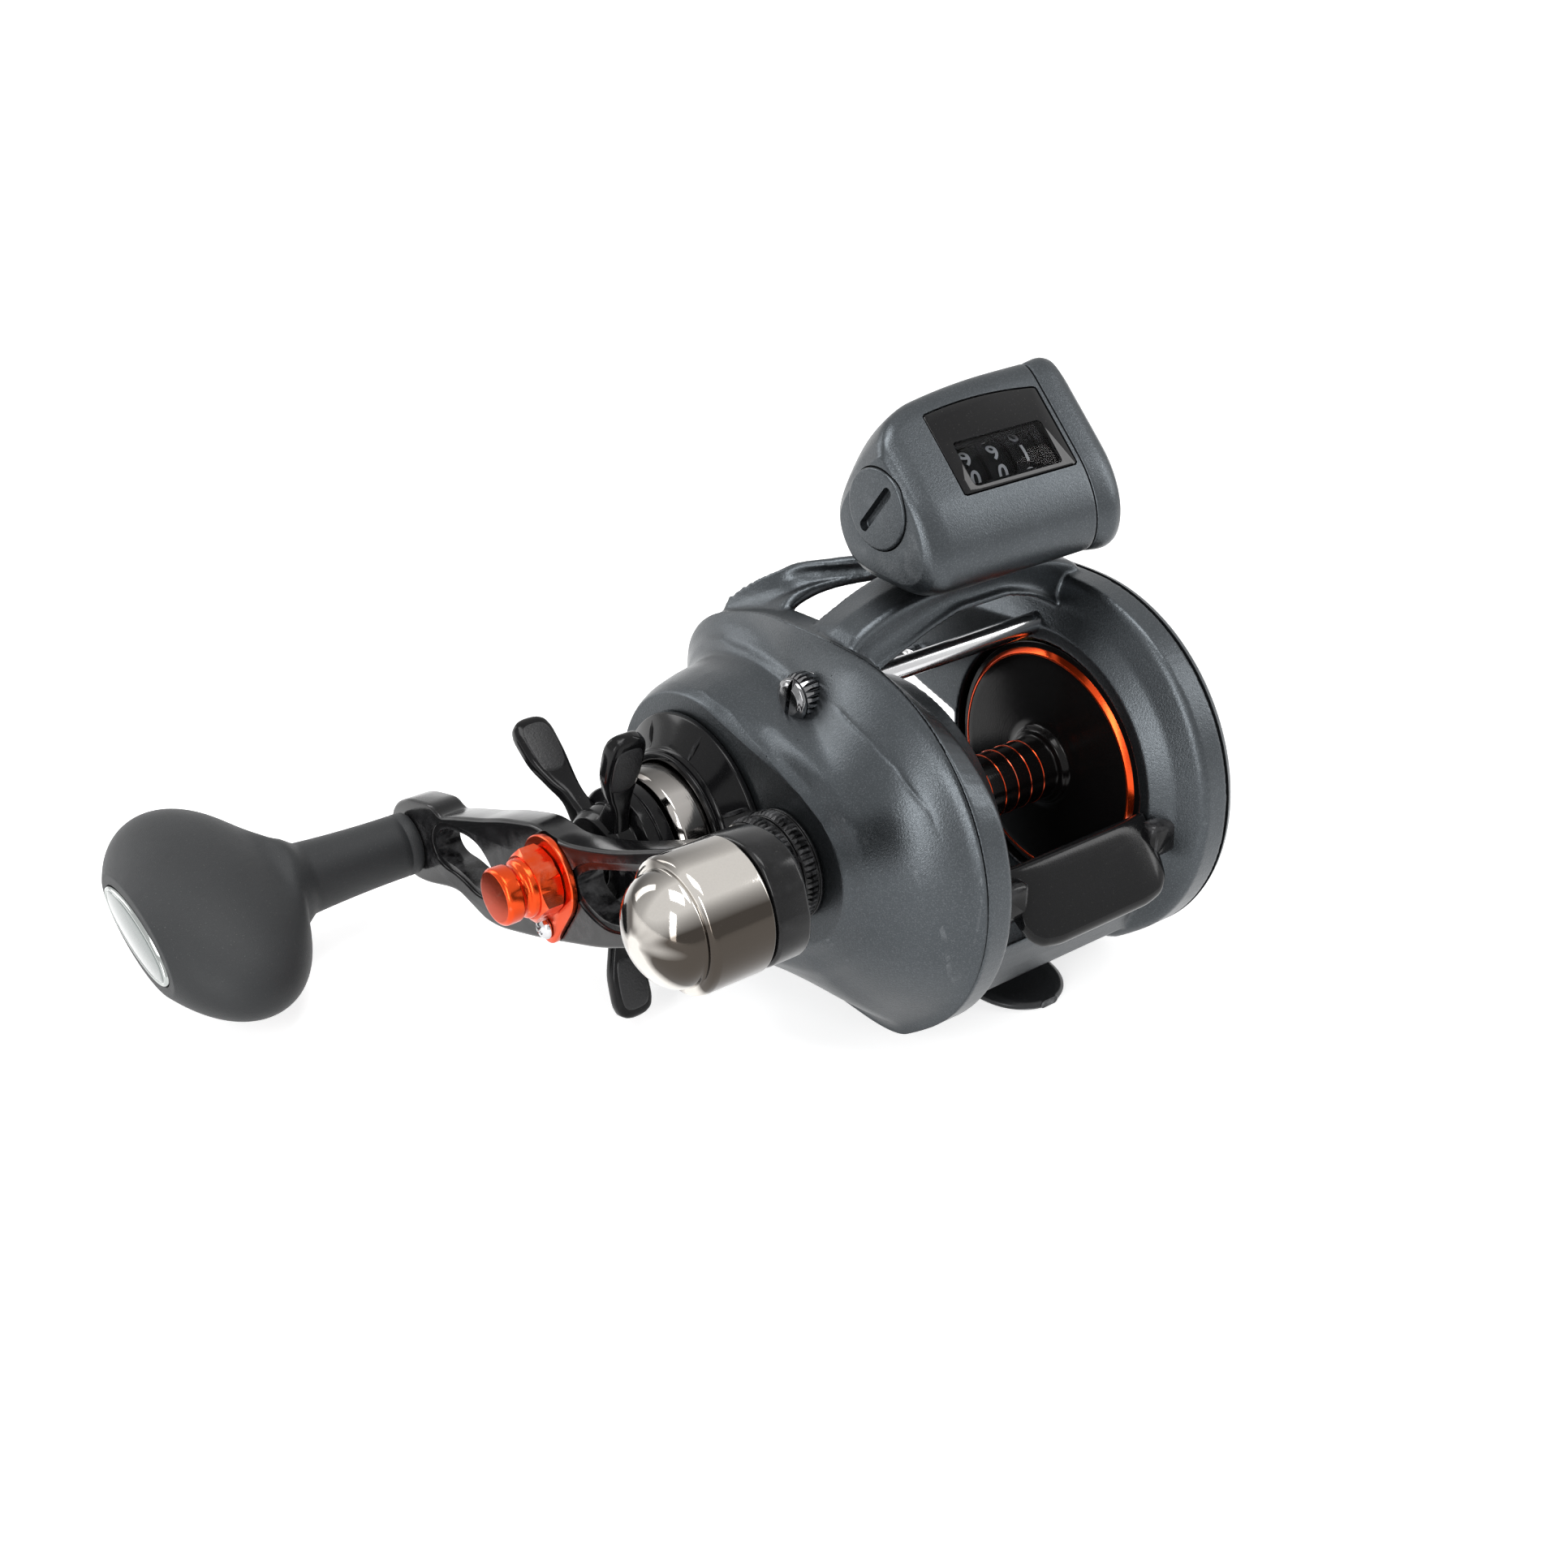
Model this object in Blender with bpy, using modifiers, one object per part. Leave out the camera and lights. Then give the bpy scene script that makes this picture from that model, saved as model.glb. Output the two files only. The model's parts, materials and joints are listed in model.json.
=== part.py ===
"""Low-profile baitcasting reel with a line counter, left-hand retrieve.

The reel stands on its foot: +Z up, +Y toward the rod tip, +X to the angler's right.
The origin is the middle of the foot's underside. The handle is on the -X side.
"""
import math

import bmesh
import bpy
from mathutils import Matrix, Vector
from mathutils.geometry import convex_hull_2d

MM = 0.001
GAP = 0.3 * MM                    # between touching neighbours
RUNNING = 0.2 * MM                # radial clearance of a shaft in its bore

# where the axes lie
SPOOL_HEIGHT = 34.0 * MM          # spool axis above the foot's underside
SPOOL_SETBACK = 10.0 * MM         # spool axis behind the foot's middle
DRIVE_ANGLE = math.radians(-9.1)  # from the spool axis to the handle's axis
ARM_ANGLE = math.radians(-17.5)   # the handle arm at rest, from +Y

# gears
GEAR_MODULE = 0.6 * MM
MAIN_TEETH = 71
PINION_TEETH = 13
WIND_TEETH = 24
WORM_TEETH = 24
WORM_ANGLE = math.radians(56.3)   # from the handle's axis to the level-wind worm
MAIN_GEAR_WIDTH = 3.0 * MM
WIND_GEAR_WIDTH = 1.4 * MM
PINION_LENGTH = 11.0 * MM
TOOTH_SHARE = 0.40                # tooth thickness on the pitch circle, of one pitch

# spool
FLANGE_RADIUS = 21.5 * MM
FLANGE_THICKNESS = 2.0 * MM
SPOOL_HALF_WIDTH = 15.8 * MM
ARBOR_RADIUS = 5.5 * MM
SPOOL_DISH = 3.4 * MM             # how far each flange dishes inwards at the arbor
SHAFT_RADIUS = 2.0 * MM
FLANGE_CLEARANCE = 0.8 * MM

# side plates
PLATE_RADIUS = 33.0 * MM          # round back of the side plates
PLATE_FRONT = 51.0 * MM           # their front edge, ahead of the spool axis
PLATE_BOTTOM = 31.6 * MM          # their flat bottom, below the spool axis
RING_INNER_X = 14.3 * MM
RING_EDGE_X = 19.4 * MM
RING_OUTER_X = 24.0 * MM
RING_FLARE = 8.4 * MM             # how far the inner face is smaller than the rim
BEARING_WALL_X = 16.8 * MM
PLATE_POCKET = 2.6 * MM
PLATE_LAND = 3.0 * MM

# side covers
COVER_WALL = 1.8 * MM
HANDLE_COVER_BULGE = 16.9 * MM
PALM_COVER_BULGE = 6.2 * MM
CAP_BOSS_RADIUS = 12.5 * MM
DRIVE_BOSS_RADIUS = 22.3 * MM
COVER_BROW = (43.5, 28.5, 16.0)   # middle, half width and run-out of the cover's low front, in degrees
COVER_BELLY = (255.0, 30.0, 40.0)   # the same of its flatter underside
BELLY_DROP = 0.10                 # how much flatter, as a share of the bulge

# level wind
WORM_RADIUS = 2.6 * MM
WORM_GROOVE = 0.7 * MM
WORM_PITCH = 8.0 * MM
GUIDE_HALF_WIDTH = 4.6 * MM
GUIDE_TRAVEL = 8.4 * MM
RAIL_RADIUS = 1.2 * MM

# bridge over the spool
ROD_RADIUS = 1.85 * MM
ROD_AHEAD = 5.0 * MM
ROD_ABOVE = 24.5 * MM
HUB_HALF_WIDTH = 6.0 * MM
HUB_TOP = 38.2 * MM
HUB_THICKNESS = 5.2 * MM
ARM_WALL = 3.2 * MM               # thickness of the straps in front of the counter

# foot
FOOT_LENGTH = 58.0 * MM
FOOT_WIDTH = 17.0 * MM
FOOT_THICKNESS = 2.6 * MM
DECK_BOTTOM = -SPOOL_HEIGHT + FOOT_THICKNESS + 2.7 * MM   # the frame's deck, over the foot
DECK_TOP = -FLANGE_RADIUS - 3.1 * MM                      # and under the spool

# line counter
DIGIT_AHEAD = 7.6 * MM
DIGIT_ABOVE = 51.6 * MM
DIGIT_RADIUS = 6.1 * MM
DIGIT_WIDTH = 5.2 * MM
DIGIT_PITCH = 5.7 * MM
DIGIT_MIDDLE_X = 3.2 * MM
COUNTER_LEFT_X = -18.0 * MM
COUNTER_SEAM_X = 17.0 * MM
COUNTER_RIGHT_X = 23.5 * MM
WINDOW_TILT = math.radians(43.2)  # the window's face leans back from upright
WINDOW_DISTANCE = 8.13 * MM       # window face from the digits' axis
WINDOW_THICKNESS = 1.2 * MM
WINDOW_WIDTH = 24.0 * MM
WINDOW_HEIGHT = 15.4 * MM
WINDOW_MIDDLE_X = 4.0 * MM
WINDOW_RAISE = 2.9 * MM           # its middle lies this far up the leaning face
DIAL_RADIUS = 6.6 * MM

# handle side controls
CAP_RADIUS = 9.2 * MM
CAP_LENGTH = 8.0 * MM
SLEEVE_RADIUS = 12.4 * MM
TRIM_RADIUS = 19.7 * MM
TRIM_NECK_RADIUS = 14.0 * MM
DRIVE_SHAFT_RADIUS = 4.0 * MM
STAR_RADIUS = 27.5 * MM
STAR_ARMS = 5
STAR_X = -60.3 * MM
STAR_PHASE = math.radians(37.0)
THUMB_SCREW_RADIUS = 3.7 * MM
THUMB_SCREW_SHANK = 1.5 * MM
CAP_THREAD_RADIUS = 6.8 * MM      # the threaded boss under the cast control cap

# handle
ARM_X = -64.0 * MM                # inner face of the arm
ARM_THICKNESS = 5.8 * MM
KNOB_REACH = 50.7 * MM
WEIGHT_REACH = 53.0 * MM
WEIGHT_RISE = 3.3 * MM            # it sits this much above the arm's middle line
WEIGHT_RADIUS = 10.2 * MM
KNOB_X = -109.1 * MM              # middle of the knob's oval swell
KNOB_HALF = (14.8 * MM, 25.3 * MM, 9.9 * MM)   # half its depth across X, its length and its width
KNOB_TILT = math.radians(15.0)    # its long way at rest, from +Y
KNOB_STEM_RADIUS = 5.7 * MM
KNOB_FLAT_X = -121.2 * MM         # where the swell is cut flat for its end plate
KNOB_PLATE = (12.2 * MM, 4.6 * MM)  # half length and half width of the oval end plate
SPINDLE_RADIUS = 2.3 * MM
RETAINER_DEPTH = 0.5 * MM
RETAINER_REACH = 9.5 * MM         # lock screw from the handle's axis
RETAINER_ANGLE = math.radians(-84.0)

# thumb bar
BAR_TRAVEL = 4.0 * MM
YOKE_TRAVEL = 2.0 * MM
BAR_HALF_WIDTH = 14.0 * MM
BAR_FRONT = -22.3 * MM
BAR_BACK = -32.0 * MM
TAB_BACK = -28.2 * MM
TAB_FRONT = -24.4 * MM
TAB_BOTTOM = -6.0 * MM
TAB_TOP = 0.2 * MM
TAB_END_X = 19.6 * MM
YOKE_GROOVE = 1.4 * MM
YOKE_POST_RADIUS = 1.1 * MM
YOKE_POST_SPAN = 10.5 * MM

# bearings and shafts
SPOOL_BEARING_RADIUS = 5.2 * MM
DRIVE_BEARING_RADIUS = 6.0 * MM
SLEEVE_BORE = 9.3 * MM
SHAFT_SLEEVE_RADIUS = 5.0 * MM
WORM_TAIL_RADIUS = 1.6 * MM
AXLE_RADIUS = 1.5 * MM

ROUND = 32                        # sides of a large turned piece
SMALL_ROUND = 16
OUTLINE_POINTS = 36
KNOB_SIDES = 28

ACROSS = Matrix(((0, 0, 1), (1, 0, 0), (0, 1, 0))).to_euler()   # local Z along world X

spool_axis = Vector((0.0, -SPOOL_SETBACK, SPOOL_HEIGHT))
drive_distance = GEAR_MODULE * (MAIN_TEETH + PINION_TEETH) / 2
drive_at = Vector((math.cos(DRIVE_ANGLE), math.sin(DRIVE_ANGLE))) * drive_distance
worm_distance = GEAR_MODULE * (WIND_TEETH + WORM_TEETH) / 2
worm_at = drive_at + Vector((math.cos(WORM_ANGLE), math.sin(WORM_ANGLE))) * worm_distance
digits_at = Vector((DIGIT_AHEAD, DIGIT_ABOVE))
middle = Vector((9.0, -1.0)) * MM   # centre that the side plate outlines are read from
origin_2d = Vector((0.0, 0.0))

rod_at = Vector((ROD_AHEAD, ROD_ABOVE))
rail_at = Vector((36.0, 15.0)) * MM
screw_at = Vector((9.0, 22.9)) * MM
yoke_posts = [Vector((0.0, -YOKE_POST_SPAN)), Vector((0.0, YOKE_POST_SPAN))]

# stations across the reel, as distances from its middle
COVER_TOP_X = RING_OUTER_X + GAP + HANDLE_COVER_BULGE
CAP_BOSS_X = COVER_TOP_X + 5.8 * MM
SCREW_HEAD_X = (29.0 * MM, 34.5 * MM)
SLEEVE_X = (39.0 * MM, 52.0 * MM)
HANDLE_BEARING_X = (BEARING_WALL_X + 0.6 * MM, BEARING_WALL_X + 3.8 * MM)
DRIVE_BEARING_X = (18.5 * MM, 21.2 * MM)
PALM_BOSS_X = 20.9 * MM
PALM_BEARING_X = (PALM_BOSS_X + 0.4 * MM, PALM_BOSS_X + 3.6 * MM)
BRAKE_X = 16.6 * MM
SPOOL_SHAFT_X = (COVER_TOP_X + CAP_LENGTH - 1.6 * MM, 27.0 * MM)
GEAR_PLATE_THICKNESS = 2.2 * MM
GEAR_PLATE_X = -RING_OUTER_X + PLATE_POCKET - GAP - GEAR_PLATE_THICKNESS / 2
WIND_GEAR_X = 25.2 * MM
MAIN_GEAR_X = 28.0 * MM
PINION_X = 25.6 * MM
YOKE_X = 34.9 * MM
ROD_END_X = 18.0 * MM
WORM_END_X = 18.0 * MM
WORM_CUT_X = GUIDE_TRAVEL + GUIDE_HALF_WIDTH + 0.4 * MM
WORM_TAIL_X = WIND_GEAR_X + WIND_GEAR_WIDTH / 2 + GAP
CAVITY_LEFT_X = -9.5 * MM
DIAL_DEPTH = 3.0 * MM
AXLE_X = (-12.0 * MM, 19.0 * MM)
ARM_OUT_X = ARM_THICKNESS - ARM_X
WEIGHT_FACE_X = ARM_X - ARM_THICKNESS
WEIGHT_STUD_X = WEIGHT_FACE_X + 4.0 * MM
SPINDLE_END_X = KNOB_FLAT_X + 8.0 * MM
KNOB_BORE_END_X = SPINDLE_END_X - MM
EYE_AHEAD = 8.6 * MM              # the line's eye, ahead of the worm
EYE_RADIUS = 4.1 * MM
FOOT_SCREWS = (-4.0 * MM, 22.0 * MM)
FOOT_SCREW_TOP = 26.5 * MM

parts = None
cutters = None


# ---------------------------------------------------------------- helpers

def clear_scene():
    for thing in list(bpy.data.objects):
        bpy.data.objects.remove(thing, do_unlink=True)
    for group in list(bpy.data.collections):
        bpy.data.collections.remove(group)


def make_collections():
    global parts, cutters
    parts = bpy.data.collections.new("baitcasting_reel")
    cutters = bpy.data.collections.new("cutters")
    for group in (parts, cutters):
        bpy.context.scene.collection.children.link(group)


def make_material(name, colour, roughness, metallic):
    material = bpy.data.materials.new(name)
    material.use_nodes = True
    shader = material.node_tree.nodes["Principled BSDF"]
    shader.inputs["Base Color"].default_value = (*colour, 1.0)
    shader.inputs["Roughness"].default_value = roughness
    shader.inputs["Metallic"].default_value = metallic
    material.diffuse_color = (*colour, 1.0)
    return material


def finish(obj, look):
    """Give a finished piece its own material and put it among the parts."""
    colour, roughness, metallic = look
    material = make_material(obj.name + "_finish", colour, roughness, metallic)
    obj.data.materials.clear()
    obj.data.materials.append(material)
    for group in list(obj.users_collection):
        group.objects.unlink(obj)
    parts.objects.link(obj)
    obj.display_type = 'TEXTURED'
    obj.hide_render = False
    return obj


def place(obj, x=0.0, at=origin_2d, across=True):
    """Put an object's origin at x across the reel and at (y, z) from the spool axis."""
    obj.location = spool_axis + Vector((x, at[0], at[1]))
    if across:
        obj.rotation_euler = ACROSS
    return obj


def add_object(name, mesh):
    obj = bpy.data.objects.new(name, mesh)
    cutters.objects.link(obj)
    obj.display_type = 'WIRE'
    obj.hide_render = True
    return obj


def mesh_from(name, build):
    """A mesh filled by a bmesh function, with its faces turned outwards."""
    mesh = bpy.data.meshes.new(name)
    bm = bmesh.new()
    build(bm)
    bmesh.ops.recalc_face_normals(bm, faces=bm.faces)
    bm.to_mesh(mesh)
    bm.free()
    return mesh


def smooth(obj, degrees=35):
    obj.data.shade_smooth()
    obj.data.set_sharp_from_angle(angle=math.radians(degrees))


def settle(obj):
    """Replace an object's data by its evaluated mesh, in place."""
    bpy.context.view_layer.update()
    evaluated = obj.evaluated_get(bpy.context.evaluated_depsgraph_get())
    mesh = bpy.data.meshes.new_from_object(evaluated)
    bm = bmesh.new()
    bm.from_mesh(mesh)
    bmesh.ops.remove_doubles(bm, verts=bm.verts, dist=0.004 * MM)
    bm.to_mesh(mesh)
    bm.free()
    if obj.type == 'CURVE':
        new = add_object(obj.name + "_mesh", mesh)
        new.matrix_world = obj.matrix_world
        name = obj.name
        bpy.data.objects.remove(obj)
        new.name = name
        return new
    obj.modifiers.clear()
    obj.data = mesh
    return obj


def turned(name, profile, sides=ROUND):
    """A solid of revolution about local Z from (radius, height) points, closed if it has a bore."""
    points = list(profile)
    area = 0.0
    for (r1, h1), (r2, h2) in zip(points, points[1:] + points[:1]):
        area += r1 * h2 - r2 * h1
    if area > 0:
        points.reverse()
    closed = min(r for r, h in points) > 1e-6
    mesh = bpy.data.meshes.new(name)
    edges = [(i, i + 1) for i in range(len(points) - 1)]
    if closed:
        edges.append((len(points) - 1, 0))
    mesh.from_pydata([(r, 0.0, h) for r, h in points], edges, [])
    obj = add_object(name, mesh)
    screw = obj.modifiers.new("turn", 'SCREW')
    screw.axis = 'Z'
    screw.angle = 2 * math.pi
    screw.steps = sides
    screw.render_steps = sides
    screw.use_merge_vertices = True
    screw.merge_threshold = 0.002 * MM
    settle(obj)
    smooth(obj)
    return obj


def flat(name, outlines, thickness):
    """A plate in local XY from an outer outline and any holes, centred on local Z = 0."""
    curve = bpy.data.curves.new(name, 'CURVE')
    curve.dimensions = '2D'
    curve.fill_mode = 'BOTH'
    curve.extrude = thickness / 2
    for outline in outlines:
        spline = curve.splines.new('POLY')
        spline.points.add(len(outline) - 1)
        for point, (x, y) in zip(spline.points, outline):
            point.co = (x, y, 0.0, 1.0)
        spline.use_cyclic_u = True
    obj = bpy.data.objects.new(name, curve)
    cutters.objects.link(obj)
    return settle(obj)


def circle(radius, centre=origin_2d, sides=ROUND, phase=0.0):
    points = []
    for i in range(sides):
        angle = phase + 2 * math.pi * i / sides
        points.append((centre[0] + radius * math.cos(angle), centre[1] + radius * math.sin(angle)))
    return points


def box(name, low, high, bevel=0.0, segments=1):
    """A box between two corners given from the spool axis, with bevelled edges."""
    low, high = Vector(low), Vector(high)

    def build(bm):
        bmesh.ops.create_cube(bm, size=1.0)
        bmesh.ops.scale(bm, vec=high - low, verts=bm.verts)
        if bevel:
            bmesh.ops.bevel(bm, geom=list(bm.edges), offset=bevel, segments=segments,
                            profile=0.5, affect='EDGES')
    obj = add_object(name, mesh_from(name, build))
    obj.location = spool_axis + (low + high) / 2
    return obj


def rod(name, radius, low_x, high_x, at=origin_2d, sides=SMALL_ROUND, taper=0.0):
    """A round bar along X."""
    length = high_x - low_x
    edge = min(taper, radius * 0.4)
    profile = [(0, length), (radius - edge, length), (radius, length - edge),
               (radius, edge), (radius - edge, 0), (0, 0)]
    if not edge:
        profile = [(0, length), (radius, length), (radius, 0), (0, 0)]
    return place(turned(name, profile, sides), low_x, at)


def tube(name, outer, inner, low_x, high_x, at=origin_2d, sides=ROUND):
    length = high_x - low_x
    profile = [(inner, length), (outer, length), (outer, 0), (inner, 0)]
    return place(turned(name, profile, sides), low_x, at)


def loft(name, rings, open_end=False):
    """A skin through equal rings of points from the spool axis, capped unless an end is open."""
    def build(bm):
        rows = [[bm.verts.new(p) for p in ring] for ring in rings]
        count = len(rings[0])
        for row, following in zip(rows, rows[1:]):
            for i in range(count):
                j = (i + 1) % count
                bm.faces.new((row[i], row[j], following[j], following[i]))
        if not open_end:
            bm.faces.new(rows[0])
        bm.faces.new(rows[-1])
    obj = add_object(name, mesh_from(name, build))
    obj.location = spool_axis
    smooth(obj)
    return obj


def combine(target, others, operation):
    for other in others:
        modifier = target.modifiers.new(operation.lower(), 'BOOLEAN')
        modifier.operation = operation
        modifier.solver = 'EXACT'
        modifier.object = other
        settle(target)
        bpy.data.objects.remove(other)
    return target


def join(target, *others):
    return combine(target, others, 'UNION')


def cut(target, *others):
    return combine(target, others, 'DIFFERENCE')


def solidify(obj, thickness):
    modifier = obj.modifiers.new("wall", 'SOLIDIFY')
    modifier.thickness = thickness
    modifier.offset = -1.0
    modifier.use_even_offset = True
    settle(obj)
    return obj


def turn_about(obj, x, at):
    """Move an object's origin to a joint's axis and leave its mesh where it is."""
    bpy.context.view_layer.update()
    target = Matrix.Translation(spool_axis + Vector((x, at[0], at[1])))
    obj.data.transform(target.inverted() @ obj.matrix_world)
    obj.matrix_world = target
    return obj


# ---------------------------------------------------------------- outlines

def round_corners(points, passes=2):
    for _ in range(passes):
        cut_points = []
        for (x1, y1), (x2, y2) in zip(points, points[1:] + points[:1]):
            cut_points.append((0.75 * x1 + 0.25 * x2, 0.75 * y1 + 0.25 * y2))
            cut_points.append((0.25 * x1 + 0.75 * x2, 0.25 * y1 + 0.75 * y2))
        points = cut_points
    return points


def rays(outline, centre=middle, count=OUTLINE_POINTS):
    """Distances from the centre to a star-shaped outline at equal angles."""
    distances = []
    for i in range(count):
        angle = 2 * math.pi * i / count
        direction = Vector((math.cos(angle), math.sin(angle)))
        best = 0.0
        for a, b in zip(outline, outline[1:] + outline[:1]):
            a, b = Vector(a) - centre, Vector(b) - centre
            edge = b - a
            cross = direction.x * edge.y - direction.y * edge.x
            if abs(cross) < 1e-15:
                continue
            reach = (a.x * edge.y - a.y * edge.x) / cross
            share = (a.x * direction.y - a.y * direction.x) / cross
            if reach > 0 and -1e-6 <= share <= 1 + 1e-6:
                best = max(best, reach)
        distances.append(best)
    return distances


def plate_outline():
    """The side plates: round at the back, flat below, a short upright front, a sloping brow."""
    front, bottom, back = PLATE_FRONT, -PLATE_BOTTOM, PLATE_RADIUS
    points = []
    for i in range(13):
        angle = math.radians(88 + 148 * i / 12)
        points.append((back * math.cos(angle), back * math.sin(angle)))
    points += [(-12.5 * MM, bottom), (4 * MM, bottom), (front - 14 * MM, bottom)]
    points += [(front - 3 * MM, bottom + 5.5 * MM), (front, bottom + 15 * MM)]
    points += [(front, 10 * MM), (front - 1.2 * MM, 17.8 * MM), (front - 8.4 * MM, 24 * MM)]
    points += [(front - 18 * MM, back - 5.4 * MM), (24 * MM, back - 2.6 * MM), (12 * MM, back - 0.8 * MM)]
    return round_corners(points, 1)


def boss_outline():
    """The plateau on the handle side: one hull round the cast cap and the drive boss."""
    spots = circle(CAP_BOSS_RADIUS, sides=48) + circle(DRIVE_BOSS_RADIUS, drive_at, sides=48)
    return [spots[i] for i in convex_hull_2d(spots)]


plate_rays = rays(plate_outline())
boss_rays = rays(boss_outline())
palm_rays = rays(circle(15.0 * MM, (7.0 * MM, 0.0), 48))


def outline_ring(x, reaches):
    """Points of one ring at x, at the given distance from the outlines' centre for each angle."""
    ring = []
    for i, reach in enumerate(reaches):
        angle = 2 * math.pi * i / len(reaches)
        ring.append((x, middle.x + reach * math.cos(angle), middle.y + reach * math.sin(angle)))
    return ring


def blend(first, second, share):
    return [a + (b - a) * share for a, b in zip(first, second)]


def inset(reaches, amount):
    return [reach - amount for reach in reaches]


def gear_outline(teeth, phase, share=TOOTH_SHARE):
    """Straight-flanked teeth on the pitch circle, one tooth centred on the phase angle."""
    pitch_radius = GEAR_MODULE * teeth / 2
    root = pitch_radius - 1.2 * GEAR_MODULE
    tip = pitch_radius + 0.9 * GEAR_MODULE
    step = 2 * math.pi / teeth
    points = []
    for k in range(teeth):
        centre = phase + k * step
        for radius, half in ((root, 0.30), (tip, share * 0.32)):
            points.append((radius, centre - half * step))
        for radius, half in ((tip, share * 0.32), (root, 0.30)):
            points.append((radius, centre + half * step))
    return [(r * math.cos(a), r * math.sin(a)) for r, a in points]


# ---------------------------------------------------------------- looks

GUNMETAL = ((0.105, 0.118, 0.128), 0.38, 0.75)
FRAME_BLACK = ((0.022, 0.023, 0.025), 0.35, 0.4)
GLOSS_BLACK = ((0.012, 0.012, 0.013), 0.12, 0.3)
RUBBER = ((0.042, 0.045, 0.047), 0.62, 0.0)
ORANGE = ((0.78, 0.10, 0.015), 0.22, 0.85)
NICKEL = ((0.72, 0.68, 0.63), 0.10, 1.0)
STEEL = ((0.62, 0.62, 0.63), 0.22, 1.0)
DARK_CHROME = ((0.16, 0.16, 0.17), 0.10, 1.0)
BRASS = ((0.78, 0.58, 0.27), 0.3, 1.0)
CARBON = ((0.03, 0.03, 0.032), 0.6, 0.0)
WHITE = ((0.85, 0.86, 0.86), 0.4, 0.0)
GLASS_BLACK = ((0.01, 0.01, 0.011), 0.05, 0.0)
EMBLEM_GREY = ((0.42, 0.47, 0.46), 0.2, 0.3)


# ---------------------------------------------------------------- frame

def side_ring(side):
    """One side of the frame: a flared plate with the spool's bore in it."""
    steps = [(RING_INNER_X, RING_FLARE), (RING_INNER_X + 2.4 * MM, RING_FLARE * 0.58),
             (RING_EDGE_X - 0.8 * MM, 0.7 * MM), (RING_EDGE_X, 0.0), (RING_OUTER_X, 0.0)]
    rings = [outline_ring(side * x, inset(plate_rays, amount)) for x, amount in steps]
    body = loft("side_ring", rings)
    bore = FLANGE_RADIUS + FLANGE_CLEARANCE
    depth = RING_OUTER_X + MM if side > 0 else BEARING_WALL_X
    reach = sorted((side * (RING_INNER_X - MM), side * depth))
    return cut(body, rod("bore", bore, *reach, sides=40))


def arm_section(front, rear, thickness, scoop):
    """Eight points of an arm's section in (y, z), from its front edge to its rear edge, scooped on top."""
    along = rear - front
    reach = along.length
    along = along.normalized()
    up = Vector((along.y, -along.x))
    half = thickness / 2
    shape = [(0.0, 0.4 * half), (0.12, half), (0.36, half - scoop), (0.70, half - scoop),
             (0.92, half), (1.0, 0.2 * half), (0.92, -half), (0.12, -half)]
    return [front + along * (share * reach) + up * rise for share, rise in shape]


def front_arm(side):
    """A strap that runs wide off the plate's brow and narrows and tips up towards the hub."""
    hub, brow = HUB_TOP / MM, PLATE_FRONT / MM
    face = RING_OUTER_X / MM
    # x, front edge (y, z), rear edge (y, z), scoop
    stations = ((face - 0.1, (brow - 10.0, 22.6), (23.4, 28.4), 0.0),
                (face - 1.0, (brow - 9.6, 24.6), (24.2, 29.0), 0.3),
                (face - 2.5, (brow - 14.4, 29.6), (24.6, 29.8), 0.9),
                (face - 4.5, (brow - 19.0, 33.2), (24.8, 30.4), 1.2),
                (face - 7.0, (brow - 21.4, hub - 3.0), (24.8, 30.8), 1.2),
                (face - 10.0, (brow - 24.4, hub - 2.0), (24.2, 31.4), 1.0),
                (8.0, (brow - 29.2, hub - 1.2), (20.8, 32.6), 0.4),
                (4.0, (18.0, hub - 1.8), (16.4, 33.4), 0.0))
    rings = []
    for x, front, rear, scoop in stations:
        section = arm_section(Vector(front) * MM, Vector(rear) * MM, ARM_WALL, scoop * MM)
        rings.append([(side * x * MM, y, z) for y, z in section])
    return loft("front_arm", rings)


def rear_arch():
    """The arch from plate to plate behind the counter: a flat band with a hollowed rear face."""
    hub, face = HUB_TOP / MM, RING_OUTER_X / MM
    # x, then the heights of the front edge, crest, crease and lip
    half = ((face - 0.1, 30.4, 31.9, 30.4, 23.6), (face - 1.4, 31.9, 33.9, 33.2, 24.6),
            (face - 4.6, 33.6, 35.5, 35.0, 26.6), (face - 9.4, 36.0, 37.0, 36.5, 29.4),
            (face - 14.4, hub - 0.9, hub - 0.3, hub - 1.1, 31.6), (4.0, hub - 0.5, hub, hub - 0.9, 32.8))
    rows = [(-x, *heights) for x, *heights in half] + list(reversed(half))
    rings = []
    for x, front, crest, crease, lip in rows:
        middle_z = lip + 0.4 * (crease - lip)
        section = [(13.2, lip + 0.6), (14.0, front), (12.8, front + 0.5), (8.0, crest), (3.4, crease + 0.3),
                   (2.5, crease - 0.4), (3.6, middle_z), (1.8, lip + 0.3), (2.4, lip)]
        rings.append([(x * MM, y * MM, z * MM) for y, z in section])
    return loft("rear_arch", rings)


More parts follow.
